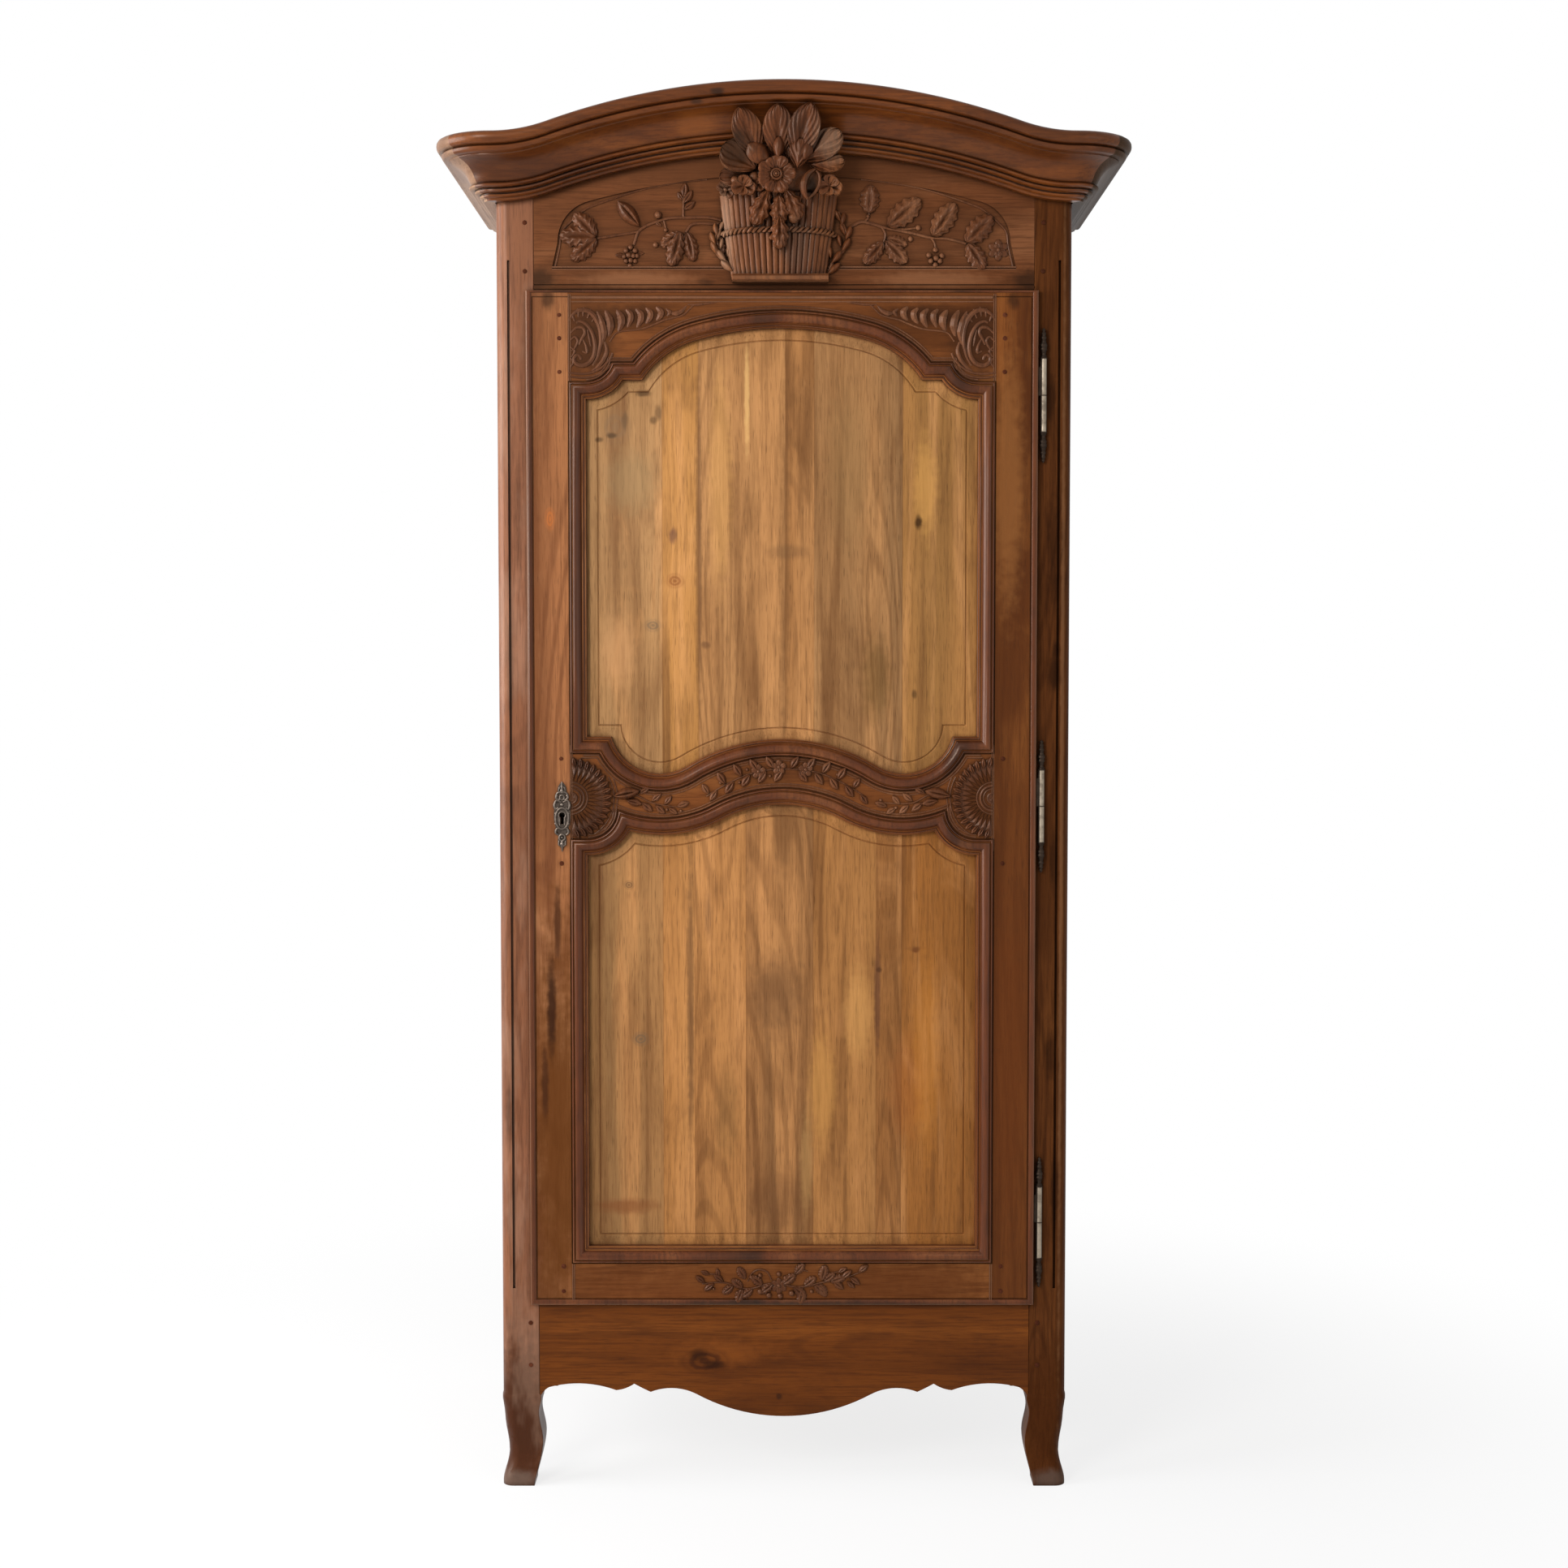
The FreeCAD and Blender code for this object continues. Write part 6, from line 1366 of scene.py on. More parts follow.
        self.carver.set(oval, [
            Spot(-20, 2079, 46, -52, 1.0, 1.0, 54, 8), Spot(-9, 2084, 34, 2, 0.85, 1.3, 60, 6),
            Spot(31, 2082, 26, 14, 1.1, 1.2, 66, 4),
        ], ground)
        curl = ((48, 2072), (38, 2065), (30.5, 2052), (30.5, 2038), (36, 2026))
        brim = ((48, 2072), (54, 2063), (54, 2049), (47, 2036), (36, 2026))
        self.carver.stem(curl, ground, (1.5, 4.5, 6.5, 5.0, 1.5), 50)
        self.carver.stem(brim, ground, (1.2, 2.4, 2.6, 2.4, 1.2), 48)
        self.carver.set(frilled, [
            Spot(-24, 2042, 58, -157, 0.9, 1.0, 40, -5), Spot(4, 2042, 50, 158, 1.1, 1.0, 40, -4),
            Spot(-8, 2034, 44, 178, 1.15, 1.1, 42, -5), Spot(-7, 2004, 52, 179, 0.9, 1.2, 41, -7),
        ], ground)
        self._bloom(broad, (-62, 2047), 21, 6, 42)
        self._bloom(broad, (-90, 2044), 16, 5, 30)
        self._bloom(broad, (70, 2048), 22, 6, 38)
        self._bloom(broad, (-42, 2052), 16, 5, 40)
        balls = [(-75, 2056, 14, 44), (-90, 2044, 8, 33), (15, 2000, 18, 38), (-46, 2062, 15, 42), (-40, 1994, 10, 34),
                 (-19, 1971, 8, 34), (3, 1974, 7, 34)]
        self.carver.set(berry_mesh(), [Spot(x, z, size, y=out) for x, z, size, out in balls], ground)
        flourishes = (
            ((70, 1923), (77, 1940), (93, 1958), (99, 1976), (92, 1997), (85, 2016)),
            ((-81, 1927), (-92, 1942), (-104, 1953), (-109, 1967), (-106, 1980), (-109, 1994)),
        )
        for way, points in zip((1, -1), flourishes):
            self.carver.stem(points, ground, (2.2, 3.0, 2.6, 1.2), 1.0)
            leaves = []
            for index, (x, z) in enumerate(points[:-1]):
                leaves.append(Spot(x - way * 3, z - 4, 27 - index, way * (48 - 9 * index), 0.62, 1.2))
                leaves.append(Spot(x - way * 4, z + 4, 20, -way * (2 + 6 * index), 0.62, 1.1))
            self.carver.set(oval, leaves, ground)

    def _bloom(self, petal: bpy.types.Mesh, heart: Pair, reach: float, count: int, out: float) -> None:
        """Set ragged petals round a heart, each a little longer or shorter than the next.

        Args:
            petal: The petal's motif.
            heart: Middle of the flower as (x, z).
            reach: Length of the longest petal.
            count: Number of petals.
            out: Height of the flower over the ground.
        """
        petals = []
        for index in range(count):
            turn = 360 / count * index + 14 * math.sin(5.1 * index)
            length = reach * (0.86 + 0.14 * math.sin(3.7 * index))
            petals.append(Spot(heart[0], heart[1], length, turn, 1.0, 1.1, out + 2 * math.sin(2.3 * index), 16))
        self.carver.set(petal, petals, self.ground)

    def _rose(self) -> None:
        """Make the open rose with a bowl of uneven petals and a ringed boss."""
        petal = LeafShape(width=0.74, belly=0.68, blunt=0.42, lift=0.12, edge=0.08, groove=0.05, veins=0.03,
                          vein_count=1, slant=1.6, cup=0.06, rows=14, columns=12).mesh()
        heart = (-11.5, 2061.0)
        out = 60.0
        count = 12
        petals = []
        for index in range(count):
            turn = 360 / count * index + 5 * math.sin(4.1 * index)
            x = heart[0] + 9.5 * math.sin(math.radians(turn))
            z = heart[1] + 9.5 * math.cos(math.radians(turn))
            petals.append(Spot(x, z, 20 + 1.6 * math.sin(2.7 * index), turn, 1.08, 1.2, out + index % 2, 15))
        self.carver.set(petal, petals, self.ground)
        for radius, thick, rise in ((7.4, 2.0, 6.0), (3.8, 1.2, 8.4)):
            ring = []
            for index in range(33):
                turn = 2 * math.pi * index / 32
                ring.append((heart[0] + radius * math.cos(turn), heart[1] + radius * math.sin(turn), out + rise))
            self.carver.ridge(ring, self.ground, (thick,), 8)
        dome = [Spot(heart[0], heart[1], 5, y=out + 9), Spot(heart[0], heart[1], 16, lift=0.8, y=out + 1.5)]
        self.carver.set(berry_mesh(), dome, self.ground)


# Cornice

@dataclass
class Cornice:
    """Arched front cornice with two straight returns."""

    finishes: dict[str, bpy.types.Material]
    half: float = 450.0
    corner: float = 3.0
    top: float = 2200.0
    rise: float = 77.0
    drop: float = 92.0
    crown_share: float = 0.808
    front: float = -230.0
    back: float = 320.0
    profile: tuple[Pair, ...] = (
        (0.0, 0.0), (79.0, 0.0), (84.0, -0.6), (87.6, -2.6), (89.6, -6.0), (90.0, -10.0), (89.2, -14.0), (87.0, -17.6),
        (84.6, -19.0), (81.4, -19.6), (79.8, -20.6), (81.6, -21.8), (82.4, -23.2), (81.6, -26.6), (79.6, -29.2),
        (77.0, -30.4), (72.2, -30.8), (70.8, -31.8), (70.8, -33.2), (67.2, -34.8), (62.6, -36.8), (57.2, -39.8),
        (52.0, -43.6), (47.4, -48.4), (43.6, -53.6), (40.6, -59.4), (38.0, -64.6), (35.2, -68.2), (38.6, -69.2),
        (40.2, -71.2), (39.6, -73.6), (37.4, -75.0), (29.0, -75.2), (28.4, -76.2), (31.2, -77.6), (31.0, -80.2),
        (28.4, -81.6), (21.6, -82.0), (21.2, -83.0), (23.8, -84.4), (23.2, -86.8), (20.6, -88.6), (17.6, -88.8),
        (16.0, -92.0), (0.0, -92.0),
    )

    def arch(self, x: float) -> float:
        """Return the height of the cornice's top edge at a sideways place."""
        reach = self.half - self.corner
        turn = 2 * math.atan(self.rise / reach)
        crown = self.crown_share * reach / math.sin(turn)
        hollow = reach / math.sin(turn) - crown
        x = min(abs(x), reach)
        if x <= crown * math.sin(turn):
            return self.top - crown + math.sqrt(crown ** 2 - x ** 2)
        return self.top - self.rise + hollow - math.sqrt(hollow ** 2 - (reach - x) ** 2)

    def _station(self, x: float, y: float, way: Pair, level: float) -> list[Triple]:
        """Return the profile stood up at a place, with its reach along way."""
        return [(x + way[0] * out, y + way[1] * out, level + high) for out, high in self.profile]

    def build(self) -> None:
        """Make the front and the two returns."""
        reach = self.half - self.corner
        side_top = self.top - self.rise
        turn_y = self.front + self.corner
        rows = []
        steps = 8
        for index in range(steps):
            turn = math.radians(45 * (1 - index / steps))
            way = (-math.sin(turn), -math.cos(turn))
            rows.append(self._station(-reach + way[0] * self.corner, turn_y + way[1] * self.corner, way, side_top))
        count = 96
        for index in range(count + 1):
            x = -reach + 2 * reach * index / count
            rows.append(self._station(x, self.front, (0.0, -1.0), self.arch(x)))
        for index in range(1, steps + 1):
            turn = math.radians(45 * index / steps)
            way = (math.sin(turn), -math.cos(turn))
            rows.append(self._station(reach + way[0] * self.corner, turn_y + way[1] * self.corner, way, side_top))
        draft = Draft()
        draft.tube(rows)
        piece("cornice_run", draft.mesh("cornice", 38.0), Body.CARCASS, self.finishes["cornice"],
              ("cornice_front",))
        for side, name in ((-1, "left"), (1, "right")):
            rows = []
            for index in range(steps + 1):
                turn = math.radians(45 + 45 * index / steps)
                way = (side * math.sin(turn), -math.cos(turn))
                place = (side * reach + way[0] * self.corner, turn_y + way[1] * self.corner)
                rows.append(self._station(place[0], place[1], way, side_top))
            rows.append(self._station(side * self.half, self.back, (float(side), 0.0), side_top))
            draft = Draft()
            draft.tube(rows)
            # Each return takes its own finish: painted light on the left, painted shade on the right.
            piece("cornice_side_" + name, draft.mesh("return", 38.0), Body.CARCASS,
                  self.finishes["cornice_" + name], ("cornice_return_" + name,))


# Carcass

@dataclass
class Carcass:
    """Posts, rails, boards and the plain joinery behind them."""

    finishes: dict[str, bpy.types.Material]

    def build(self) -> None:
        """Dress every plain piece of the carcass."""
        upright = self.finishes["frame_upright"]
        for name in ("post_front_left", "post_front_right", "post_rear_left", "post_rear_right"):
            # The front posts take one wood lit and shaded: painted light on the left post, painted shade on the right.
            key = "post_left_painted_light" if name == "post_front_left" else "post_right_painted_shade" if "front" in name else ""
            eased(name, Body.CARCASS, self.finishes.get(key, upright), 0.0, 22.0)
        eased("frieze_board", Body.CARCASS, self.finishes["frieze"], 0.0, 16.0)
        eased("apron", Body.CARCASS, self.finishes["apron"], 1.2)
        for side in ("left", "right"):
            for level in ("top", "middle", "bottom"):
                eased("side_rail_%s_%s" % (level, side), Body.CARCASS, self.finishes["side_rail"], 1.0)
            for level in ("lower", "upper"):
                eased("side_panel_%s_%s" % (level, side), Body.CARCASS,
                      self.finishes["side_panel"], 0.0)
        for level in ("top", "middle", "bottom"):
            eased("back_rail_" + level, Body.CARCASS, self.finishes["back_across"], 1.0)
        for name in sorted(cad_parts):
            if name.startswith("back_board"):
                eased(name, Body.CARCASS, self.finishes["back_upright"], 0.6)
            elif name.startswith("roof_board"):
                eased(name, Body.CARCASS, self.finishes["back_across"], 0.6)
            elif name.startswith(("floor_board", "hat_shelf", "hanging_rail")):
                eased(name, Body.CARCASS, self.finishes["inner_across"], 0.8)
            elif name.startswith(("floor_batten", "shelf_cleat", "rail_block")):
                eased(name, Body.CARCASS, self.finishes["inner_deep"], 0.8)


# Hardware

@dataclass
class Hinges:
    """Three tall lift-off hinges, each in two halves, with turned rings and bulbs."""

    carver: Carver
    levels: tuple[float, ...] = (1732.0, 1090.0, 428.0)
    x: float = 405.0
    y: float = -235.5
    rings: tuple[Triple, ...] = (
        (14.5, 4.6, 0.7), (17.0, 4.6, 0.7), (57.5, 4.8, 1.2), (61.0, 4.0, 0.9), (66.5, 3.4, 0.9), (81.0, 4.0, 0.9),
        (84.5, 3.2, 0.8),
    )
    bulbs: tuple[Pair, ...] = ((72.0, 10.6), (77.5, 11.4), (89.0, 8.6), (95.5, 7.2), (101.0, 5.4))

    def build(self) -> None:
        """Dress both halves and turn their rings and bulbs."""
        for node, body, way in (("hinge_post_halves", Body.CARCASS, -1), ("hinge_door_halves", Body.DOOR, 1)):
            eased(node, body, self.carver.material, 0.0, 30.0)
            for level in self.levels:
                for rise, radius, thick in self.rings[2 if way > 0 else 0:]:
                    turns = [2 * math.pi * index / 24 for index in range(25)]
                    path = [(self.x + radius * math.cos(turn), level + way * rise, radius * math.sin(turn))
                            for turn in turns]
                    self.carver.ridge(path, self.y, (thick,), 6)
                bulbs = [Spot(self.x, level + way * rise, width) for rise, width in self.bulbs]
                self.carver.set(berry_mesh(), bulbs, self.y)
            self.carver.finish(node + "_turning", body, "hinge_steel")


@dataclass
class Lock:
    """Rim lock inside the door with its keep, and the keyhole plate in front."""

    carver: Carver
    steel: bpy.types.Material
    x: float = -349.0
    plate_face: float = -241.5
    eye: float = 1076.0

    def build(self) -> None:
        """Dress the lock's pieces and ornament its plate."""
        iron = self.carver.material
        for node, body, ease in (("lock_case", Body.DOOR, 1.0), ("lock_screws", Body.DOOR, 0.3),
                                 ("lock_keep", Body.CARCASS, 0.3), ("lock_bolt", Body.BOLT, 0.5),
                                 ("escutcheon", Body.DOOR, 0.4)):
            eased(node, body, iron, ease)
        eased("bolt_spring", Body.BOLT, self.steel, 0.1)
        self._ornament()

    def _ornament(self) -> None:
        """Raise scrolls, rings and a keyhole rim on the plate."""
        paired = (
            ((1.4, 2.1, 1.3), ((1, 1113), (7, 1111), (9, 1104), (5, 1100), (3, 1104))),
            ((1.0, 2.2, 1.5), ((2, 1097), (9, 1099), (12, 1092), (10, 1086), (6, 1088))),
            ((1.0, 2.0, 1.3), ((2, 1055), (8, 1055), (10, 1049), (6, 1045))),
            ((0.8, 1.6, 0.8), ((1, 1122), (4, 1119), (5, 1114))), ((0.8, 1.6, 0.8), ((5, 1036), (5, 1030), (1, 1027))),
        )
        for thick, path in paired:
            for way in (-1, 1):
                self.carver.stem([(self.x + way * out, z) for out, z in path], self.plate_face, thick, 0.3)
        for thick, path in (((0.5, 2.2, 1.6), (1129, 1121, 1112)), ((1.6, 2.6, 0.5), (1037, 1031, 1019))):
            self.carver.stem([(self.x, z) for z in path], self.plate_face, thick, 0.3)
        for centre, across, tall, thick in ((1071.0, 10.2, 16.5, 1.8), (1041.0, 4.4, 4.8, 1.8), (1104.0, 3.4, 3.6, 1.3)):
            turns = [2 * math.pi * index / 32 for index in range(33)]
            oval = [(self.x + across * math.sin(turn), centre + tall * math.cos(turn), 0.3) for turn in turns]
            self.carver.ridge(oval, self.plate_face, (thick,))
        slot = [(self.x - 3.6, 1060.6)]
        for index in range(17):
            turn = math.radians(-128 + 256 * index / 16)
            slot.append((self.x + 5.6 * math.sin(turn), self.eye + 5.6 * math.cos(turn)))
        slot += [(self.x + 3.6, 1060.6), slot[0]]
        self.carver.ridge([(x, z, 0.2) for x, z in slot], self.plate_face, (0.8,), 6)
        knobs = ((0, 1115, 6), (0, 1093, 6), (0, 1041, 4), (0, 1031, 6.5), (-10, 1079, 4), (10, 1079, 4), (-10, 1063, 4),
                 (10, 1063, 4), (-8, 1107, 4), (8, 1107, 4))
        self.carver.set(berry_mesh(), [Spot(self.x + out, z, size) for out, z, size in knobs], self.plate_face)
        self.carver.finish("keyhole_ornament", Body.DOOR, "fitting_iron")


@dataclass
class Pegs:
    """Tenon pegs with faceted, slightly domed ends."""

    carver: Carver
    door_columns: Pair = (-350.0, 344.0)
    door_levels: tuple[float, ...] = (1856.0, 1820.0, 1768.0, 1165.0, 1000.0, 358.0, 318.0)
    door_face: float = -240.0
    frame_columns: Pair = (-404.0, 404.0)
    frame_levels: tuple[float, ...] = (2000.0, 1925.0, 264.0, 196.0)
    frame_face: float = -230.0

    def build(self) -> None:
        """Set the pegs of the door and of the frame."""
        places = (
            ("door_pegs", Body.DOOR, self.door_columns, self.door_levels, self.door_face, 3.6, 17.0),
            ("frame_pegs", Body.CARCASS, self.frame_columns, self.frame_levels, self.frame_face, 3.7, 23.0),
        )
        for node, body, columns, levels, face, radius, deep in places:
            profile = ((-deep / radius, 0.9), (0.0, 1.0), (0.14, 0.94), (0.24, 0.72), (0.27, 0.3))
            motif = turned(profile, 9, 1000.0).mesh("peg", 30.0)
            spots = []
            for x in columns:
                for z in levels:
                    size = radius * (1 + 0.06 * math.sin(z + x))
                    spots.append(Spot(x, z, size, 0.0, 1.0 + 0.08 * math.cos(z), 1.0, 0.0, 90.0, (z * 37 + x) % 360))
            self.carver.set(motif, spots, face)
            self.carver.finish(node + "_cut", body, "peg_wood", (node,))


# Stage

@dataclass
class Stage:
    """Pale floor, soft studio light and the camera at the photograph's place."""

    eye: Triple = (0.0, -3.847, 1.308)
    tilt: float = 2.9
    lens: float = 52.75

    def build(self) -> None:
        """Make the floor, the lamps, the world and the camera."""
        data = bpy.data.meshes.new("floor")
        reach = 40.0
        data.from_pydata([(-reach, -reach, 0), (reach, -reach, 0), (reach, reach, 0), (-reach, reach, 0)], [],
                         [(0, 1, 2, 3)])
        floor = bpy.data.objects.new("floor", data)
        bpy.context.scene.collection.objects.link(floor)
        data.materials.append(self._floor_material())
        self._lamp("key", (-2.2, -3.7, 2.7), (0.0, -0.2, 1.3), 1.5, 112.0, (1.0, 0.98, 0.95))
        self._lamp("fill", (3.2, -4.2, 1.5), (0.0, 0.0, 1.1), 2.6, 26.0, (0.97, 0.98, 1.0))
        self._lamp("left_window", (-3.2, -0.8, 1.7), (-0.4, -0.2, 1.3), 2.2, 150.0, (0.97, 0.98, 1.0))
        self._world()
        lens = bpy.data.cameras.new("camera")
        lens.sensor_width = 36.0
        lens.lens = self.lens
        camera = bpy.data.objects.new("camera", lens)
        camera.location = self.eye
        camera.rotation_euler = (math.radians(90 - self.tilt), 0.0, 0.0)
        bpy.context.scene.collection.objects.link(camera)
        bpy.context.scene.camera = camera
        bpy.context.scene.view_settings.view_transform = "Standard"

    def _lamp(self, name: str, place: Triple, target: Triple, size: float, power: float, colour: Triple) -> None:
        """Add a square soft lamp that faces a target."""
        lamp = bpy.data.lights.new(name, "AREA")
        lamp.shape = "SQUARE"
        lamp.size = size
        lamp.energy = power
        lamp.color = colour
        item = bpy.data.objects.new(name, lamp)
        item.location = place
        item.rotation_euler = (Vector(target) - Vector(place)).to_track_quat("-Z", "Y").to_euler()
        bpy.context.scene.collection.objects.link(item)

    def _seen(self, tree: bpy.types.NodeTree) -> bpy.types.NodeSocket:
        """Return one where a camera, glossy or transmission ray looks, and zero elsewhere."""
        path = tree.nodes.new("ShaderNodeLightPath")
        total = path.outputs["Is Camera Ray"]
        for name in ("Is Glossy Ray", "Is Transmission Ray"):
            step = tree.nodes.new("ShaderNodeMath")
            step.operation = "MAXIMUM"
            tree.links.new(total, step.inputs[0])
            tree.links.new(path.outputs[name], step.inputs[1])
            total = step.outputs[0]
        return total

    def _floor_material(self) -> bpy.types.Material:
        """Build a floor that looks nearly white but keeps the shadow."""
        material = bpy.data.materials.new("floor")
        material.use_nodes = True
        tree = material.node_tree
        tree.nodes.clear()
        matt = tree.nodes.new("ShaderNodeBsdfDiffuse")
        matt.inputs["Color"].default_value = (0.86, 0.86, 0.86, 1.0)
        white = tree.nodes.new("ShaderNodeEmission")
        white.inputs["Strength"].default_value = 1.0
        place = tree.nodes.new("ShaderNodeTexCoord")
        reach = tree.nodes.new("ShaderNodeVectorMath")
        reach.operation = "LENGTH"
        tree.links.new(place.outputs["Object"], reach.inputs[0])
        fade = tree.nodes.new("ShaderNodeMapRange")
        fade.interpolation_type = "SMOOTHSTEP"
        for key, value in (("From Min", 0.7), ("From Max", 1.9), ("To Min", 0.8), ("To Max", 1.0)):
            fade.inputs[key].default_value = value
        tree.links.new(reach.outputs["Value"], fade.inputs["Value"])
        share = tree.nodes.new("ShaderNodeMath")
        share.operation = "MULTIPLY"
        tree.links.new(self._seen(tree), share.inputs[0])
        tree.links.new(fade.outputs[0], share.inputs[1])
        mix = tree.nodes.new("ShaderNodeMixShader")
        tree.links.new(share.outputs[0], mix.inputs[0])
        tree.links.new(matt.outputs[0], mix.inputs[1])
        tree.links.new(white.outputs[0], mix.inputs[2])
        out = tree.nodes.new("ShaderNodeOutputMaterial")
        tree.links.new(mix.outputs[0], out.inputs[0])
        return material

    def _world(self) -> None:
        """Light the scene evenly and show white behind the wardrobe."""
        world = bpy.data.worlds.new("room")
        bpy.context.scene.world = world
        world.use_nodes = True
        tree = world.node_tree
        tree.nodes.clear()
        soft = tree.nodes.new("ShaderNodeBackground")
        soft.inputs["Color"].default_value = (1.0, 1.0, 1.0, 1.0)
        soft.inputs["Strength"].default_value = 0.42
        white = tree.nodes.new("ShaderNodeBackground")
        white.inputs["Color"].default_value = (1.0, 1.0, 1.0, 1.0)
        white.inputs["Strength"].default_value = 1.0
        mix = tree.nodes.new("ShaderNodeMixShader")
        tree.links.new(self._seen(tree), mix.inputs[0])
        tree.links.new(soft.outputs[0], mix.inputs[1])
        tree.links.new(white.outputs[0], mix.inputs[2])
        out = tree.nodes.new("ShaderNodeOutputWorld")
        tree.links.new(mix.outputs[0], out.inputs[0])


# Finishes of this wardrobe

REDDISH = {"dark": "3C1E0D", "middle": "66381A", "light": "7E4C28"}
PINE = {"dark": "604025", "middle": "8E6846", "light": "AA845C", "rough": 0.7}
OAK = {"dark": "6E5030", "middle": "96754C", "light": "B08F64", "rough": 0.65}

UPPER_BOARDS = ((-310.0, "9C7F58"), (-191.0, "AE7E44"), (-134.0, "987048"), (2.0, "986C42"), (47.0, "90704C"),
                (186.0, "B08048"))
LOWER_BOARDS = ((-310.0, "927048"), (-191.0, "A0703E"), (-141.0, "A07040"), (-60.0, "8E6640"), (46.0, "A67644"),
                (146.0, "845830"), (186.0, "8A5622"))
UPPER_MARKS = (
    Mark(-134, 1500, 6, 330, "553824", 0.6), Mark(1, 1470, 10, 350, "5E3E24", 0.5), Mark(6, 1489, 40, 14, "60442C", 0.4),
    Mark(145, 1290, 28, 80, "57401F", 0.45), Mark(-58, 1730, 5, 100, "DCB070", 0.5), Mark(222, 1590, 22, 90, "CE9852", 0.5),
    Mark(-264, 1684, 28, 32, "6E5842", 0.45, True), Mark(-270, 1671, 10, 6, "3A2A1C", 0.8), Mark(-290, 1664, 8, 5, "42301F", 0.75),
    Mark(-249, 1694, 6, 17, "4E3A28", 0.6), Mark(-220, 1736, 14, 6, "44301E", 0.8), Mark(-197, 1706, 7, 15, "4E3824", 0.65),
    Mark(-204, 1694, 7, 8, "44301E", 0.65), Mark(-206, 1374, 15, 11, "5E5040", 0.65, True), Mark(-174, 1514, 8, 15, "5A3A30", 0.7),
    Mark(-171, 1444, 16, 13, "76401F", 0.7, True), Mark(-123, 1343, 9, 7, "5A3C28", 0.6), Mark(211, 1535, 7, 13, "2E1A0C", 0.9),
    Mark(205, 1266, 5, 9, "46301C", 0.7), Mark(-240, 1600, 50, 60, "86704E", 0.4),
    Mark(-262, 1330, 34, 70, "BC8A5C", 0.35), Mark(100, 1620, 40, 150, "8E6C44", 0.35), Mark(-100, 1600, 22, 200, "BE8C50", 0.4),
)
LOWER_MARKS = (
    Mark(-148, 780, 7, 300, "4E3422", 0.6), Mark(-15, 790, 50, 80, "5C3F29", 0.5), Mark(117, 760, 26, 90, "CC9858", 0.35),
    Mark(148, 795, 6, 110, "4C2E24", 0.65), Mark(-245, 965, 9, 8, "4E3A28", 0.7, True), Mark(-227, 720, 15, 12, "584838", 0.7, True),
    Mark(209, 862, 8, 6, "5A2E18", 0.75), Mark(209, 864, 20, 5, "6E4424", 0.4), Mark(150, 830, 6, 5, "40281A", 0.7),
    Mark(-120, 915, 8, 45, "5A3E2A", 0.4), Mark(195, 640, 34, 100, "A45624", 0.2), Mark(-250, 452, 60, 15, "6A3A1E", 0.6),
    Mark(-10, 462, 60, 50, "5E3C24", 0.4), Mark(36, 520, 12, 100, "C89C60", 0.25), Mark(225, 700, 24, 190, "B87630", 0.4),
    Mark(60, 640, 26, 110, "BC8848", 0.4), Mark(-90, 600, 24, 90, "70502E", 0.4),
)


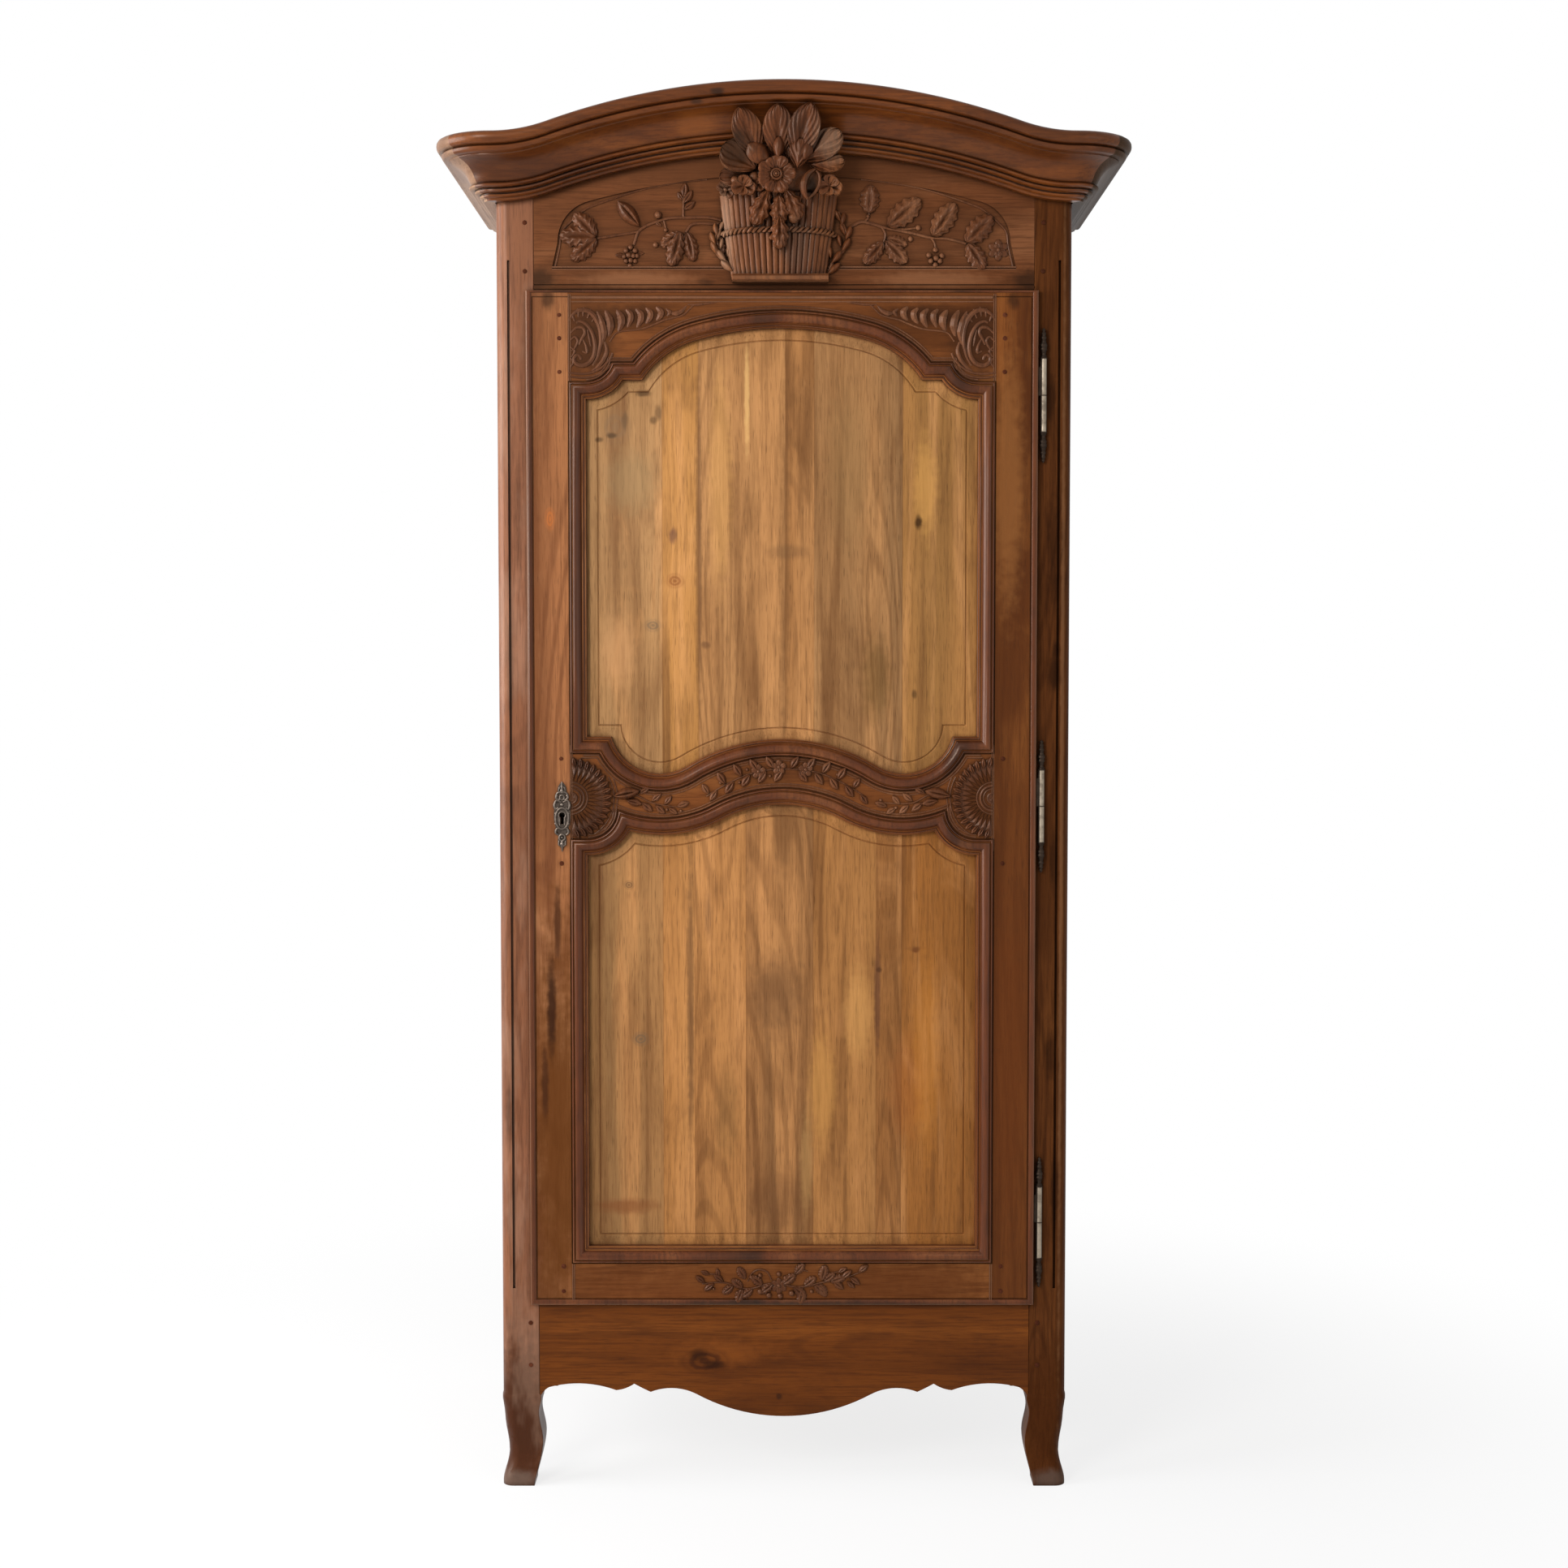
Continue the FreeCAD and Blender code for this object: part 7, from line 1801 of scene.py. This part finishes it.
def wood_finishes() -> dict[str, bpy.types.Material]:
    """Build every wood material, by the name that the pieces ask for."""
    finishes = (
        WoodFinish("frame_upright", seed=1.0, **REDDISH),
        # Front left post: lighter and paler than the right one, with pale rubbed patches, as painted light from the
        # left.
        WoodFinish("post_left_painted_light", "48281A", "744830", "96644A", seed=3.0, wear=0.2, pale_wear_and_sheen="A88670", coat=0.15, marks=(
            Mark(-425, 90, 90, 190, "361502", 0.95), Mark(-428, 10, 40, 18, "6A5A50", 0.5),
            Mark(-436, 600, 8, 60, "2A140A", 0.5), Mark(-430, 1300, 7, 90, "2E170C", 0.4),
            Mark(-416, 1540, 10, 120, "34190C", 0.4))),
        # Front right post: darker than the left one as painted shade; the thin pale strip at 438 is a painted highlight
        # on its rounded corner.
        WoodFinish("post_right_painted_shade", "2A1409", "522D15", "6E4220", seed=4.0, gloss=0.04, marks=(
            Mark(425, 110, 60, 140, "3A1B08", 0.6), Mark(427, 10, 40, 18, "5A4C44", 0.6),
            Mark(438, 1150, 4, 1100, "8A6040", 0.45), Mark(424, 1500, 16, 90, "1C0E08", 0.5),
            Mark(425, 1298, 14, 34, "1C0E08", 0.7), Mark(428, 1336, 8, 16, "1C0E08", 0.6),
            Mark(426, 1004, 8, 60, "1C0E08", 0.6), Mark(423, 694, 9, 50, "1C0E08", 0.6),
            Mark(430, 473, 8, 70, "1C0E08", 0.6), Mark(418, 1729, 10, 40, "1C0E08", 0.6))),
        # The broad dark band along the top is painted shade under the cornice; the strong corner darkening is partly
        # painted shade round the sprigs.
        WoodFinish("frieze", "381C0D", "62381F", "7A4E32", grain=Grain.ACROSS, seed=5.0, grime_and_shade=0.9, grime_and_shade_reach=15.0,
                   marks=(
                       Mark(0, 2090, 420, 50, "4E2C18", 0.65),
                       Mark(-384, 1914, 34, 22, "1E0F08", 0.8), Mark(383, 1911, 34, 22, "1E0F08", 0.8),
                       Mark(-122, 1908, 16, 7, "26130A", 0.6), Mark(-240, 1985, 120, 50, "4A2816", 0.45),
                       Mark(220, 1985, 120, 50, "4A2816", 0.45), Mark(-230, 1912, 110, 16, "8A5C3E", 0.45),
                       Mark(230, 1912, 110, 16, "8A5C3E", 0.45))),
        WoodFinish("apron", "32160A", "5E300F", "784217", grain=Grain.ACROSS, seed=6.0, marks=(
            Mark(-100, 216, 90, 26, "84481A", 0.35), Mark(-126, 202, 44, 24, "2A1008", 0.8, True),
            Mark(-136, 212, 18, 12, "1C0A05", 0.7), Mark(-112, 196, 20, 9, "1C0A05", 0.7),
            Mark(-8, 145, 6, 6, "2A150B", 0.8), Mark(140, 240, 60, 14, "44210D", 0.4))),
        # The light patch left of the middle is a painted highlight on the cove; the broad dark mark at the right end is
        # painted shade, and the left end is darkened less.
        WoodFinish("cornice", "301507", "5C2E0F", "764018", grain=Grain.ACROSS, seed=7.0, rough=0.34, coat=0.25,
                   grime_and_shade=0.95, grime_and_shade_reach=13.0, marks=(
                       Mark(-101, 2180, 14, 7, "1A0C06", 0.8), Mark(-132, 2167, 12, 6, "1A0C06", 0.7),
                       Mark(-135, 2140, 44, 22, "8E501E", 0.3), Mark(330, 2110, 200, 60, "34180A", 0.5),
                       Mark(-330, 2110, 160, 50, "42200D", 0.3))),
        # The two returns are one wood lit and shaded: the pale left one is painted light, the dark right one painted
        # shade.
        WoodFinish("cornice_left", "5E4232", "86664E", "A88870", grain=Grain.DEEP, seed=8.0, gloss=0.3),
        WoodFinish("cornice_right", "2A180E", "443020", "5A4434", grain=Grain.DEEP, seed=8.5, gloss=0.04),
        # Lock stile: lighter than the hinge stile as painted light from the left; the broad low mark darkens it towards
        # the bottom as painted shade.
        WoodFinish("stile_left_painted_light", "5E3620", "94603C", "B68058", seed=9.0, rings=0.5, marks=(
            Mark(-356, 560, 60, 420, "4E2806", 0.78), Mark(-392, 1300, 12, 600, "5A3018", 0.45),
            Mark(-357, 905, 7, 70, "2A120A", 0.7), Mark(-367, 770, 9, 90, "220E08", 0.85),
            Mark(-378, 650, 7, 80, "2A120A", 0.7), Mark(-366, 1540, 9, 20, "B4622A", 0.5, True),
            Mark(-367, 1878, 14, 18, "20100A", 0.75))),
        # Hinge stile: darker than the lock stile as painted shade; its low mark darkens the bottom and its high mark
        # lightens the top, both painted light.
        WoodFinish("stile_right_painted_shade", "44210D", "703F1C", "8A5428", seed=10.0, marks=(
            Mark(357, 1878, 12, 16, "20100A", 0.7), Mark(352, 700, 40, 300, "5A2C10", 0.5),
            Mark(350, 1600, 30, 240, "9A6436", 0.4))),
        # The marks that end 14 mm deep are painted shade round the head scrolls, the shells and the garland; the marks
        # at height 330 darken the bottom rail.
        WoodFinish("door_across", "40200D", "6E3E1E", "88562E", grain=Grain.ACROSS, seed=11.0, grime_and_shade_reach=14.0, marks=(
            *(Mark(-3 + way * out, z, wide, tall, "2E170C", strength, deep=14.0) for way in (-1, 1)
              for out, z, wide, tall, strength in ((302, 1818, 52, 70, 0.85), (229, 1853, 70, 22, 0.8),
                                                   (313, 1103, 56, 66, 0.5))),
            Mark(-3, 1142, 120, 20, "3A1E10", 0.45, deep=14.0), Mark(-3, 330, 420, 60, "481F06", 0.55),
            Mark(230, 330, 140, 60, "401A04", 0.4))),
        # The dark mark along the bottom is a painted shadow line under the door's lip.
        WoodFinish("moulding", "301508", "562A12", "784624", seed=12.0, rough=0.3, coat=0.3, grime_and_shade=0.95,
                   grime_and_shade_reach=9.0, edge_rub_and_highlight=0.25, pale_wear_and_sheen="B88A66", marks=(Mark(-3, 292, 460, 12, "120803", 0.9),)),
        WoodFinish("carved", "2E160A", "5A331D", "7C5034", seed=13.0, rough=0.38, coat=0.15, grime_and_shade=0.95,
                   grime_and_shade_reach=8.0, edge_rub_and_highlight=0.25, pale_wear_and_sheen="A07458", marks=(Mark(-3, 330, 260, 60, "3E1C08", 0.6),)),
        # The pale strip at the left of the reeds is a painted highlight; the dark marks on the left leaf and inside the
        # curl are painted shade.
        WoodFinish("basket", "28130A", "5A3019", "7C4C2C", seed=14.0, rough=0.38, coat=0.1, grime_and_shade=0.97,
                   grime_and_shade_reach=14.0, edge_rub_and_highlight=0.25, pale_wear_and_sheen="A67C5C", marks=(
                       Mark(-92, 1975, 14, 90, "A0826A", 0.3), Mark(-78, 2100, 36, 34, "1C120A", 0.75),
                       Mark(74, 2112, 34, 40, "8E7460", 0.35), Mark(20, 1960, 30, 50, "4E3A2E", 0.4),
                       Mark(42, 2049, 9, 22, "140B06", 0.9))),
        WoodFinish("upper_panel", "5E3C22", "A46E3F", "C68F5A", seed=15.0, grime_and_shade=0.85, grime_and_shade_reach=5.0, rings=0.34,
                   streaks=0.34, mottle=0.5, bands=0.75, grime_and_shade_colour="54280F", boards=UPPER_BOARDS,
                   marks=UPPER_MARKS),
        WoodFinish("lower_panel", "56341C", "966236", "BA8350", seed=16.0, grime_and_shade=0.7, grime_and_shade_reach=5.0, rings=0.34,
                   streaks=0.34, mottle=0.55, bands=0.78, grime_and_shade_colour="5E2E16", boards=LOWER_BOARDS,
                   marks=LOWER_MARKS),
        WoodFinish("side_rail", grain=Grain.DEEP, seed=17.0, **REDDISH),
        WoodFinish("side_panel", "4E2C14", "764824", "926238", seed=18.0),
        WoodFinish("back_upright", seed=19.0, **PINE),
        WoodFinish("back_across", grain=Grain.ACROSS, seed=20.0, **PINE),
        WoodFinish("inner_across", grain=Grain.ACROSS, seed=21.0, **OAK),
        WoodFinish("inner_deep", grain=Grain.DEEP, seed=22.0, **OAK),
        WoodFinish("peg", "2E160D", "4C2618", "643826", grain=Grain.DEEP, seed=23.0, gloss=0.05, grime_and_shade=0.4),
    )
    return {finish.name: finish.material() for finish in finishes}


def main() -> None:
    """Build the wardrobe."""
    logging.basicConfig(level=logging.INFO, format="%(message)s")
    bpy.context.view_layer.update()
    finishes = wood_finishes()
    hinge_steel = MetalFinish("hinge_steel", "948878", "7E7264", 0.5, levels=(1732.0, 1090.0, 428.0)).material()
    spring_steel = MetalFinish("spring_steel", "6A645E", "463E38", 0.4).material()
    # The last colour of the iron is a painted highlight on raised edges.
    iron = MetalFinish("fitting_iron", "463D36", "241E1A", 0.36, 120.0, "7E7268").material()
    Stage().build()
    Carcass(finishes).build()
    Cornice(finishes).build()
    Door(finishes).build()
    Carvings(Carver(finishes["carved"])).build()
    Basket(Carver(finishes["basket"])).build()
    Hinges(Carver(hinge_steel)).build()
    Lock(Carver(iron), spring_steel).build()
    Pegs(Carver(finishes["peg"])).build()


if __name__ == "__main__":
    main()
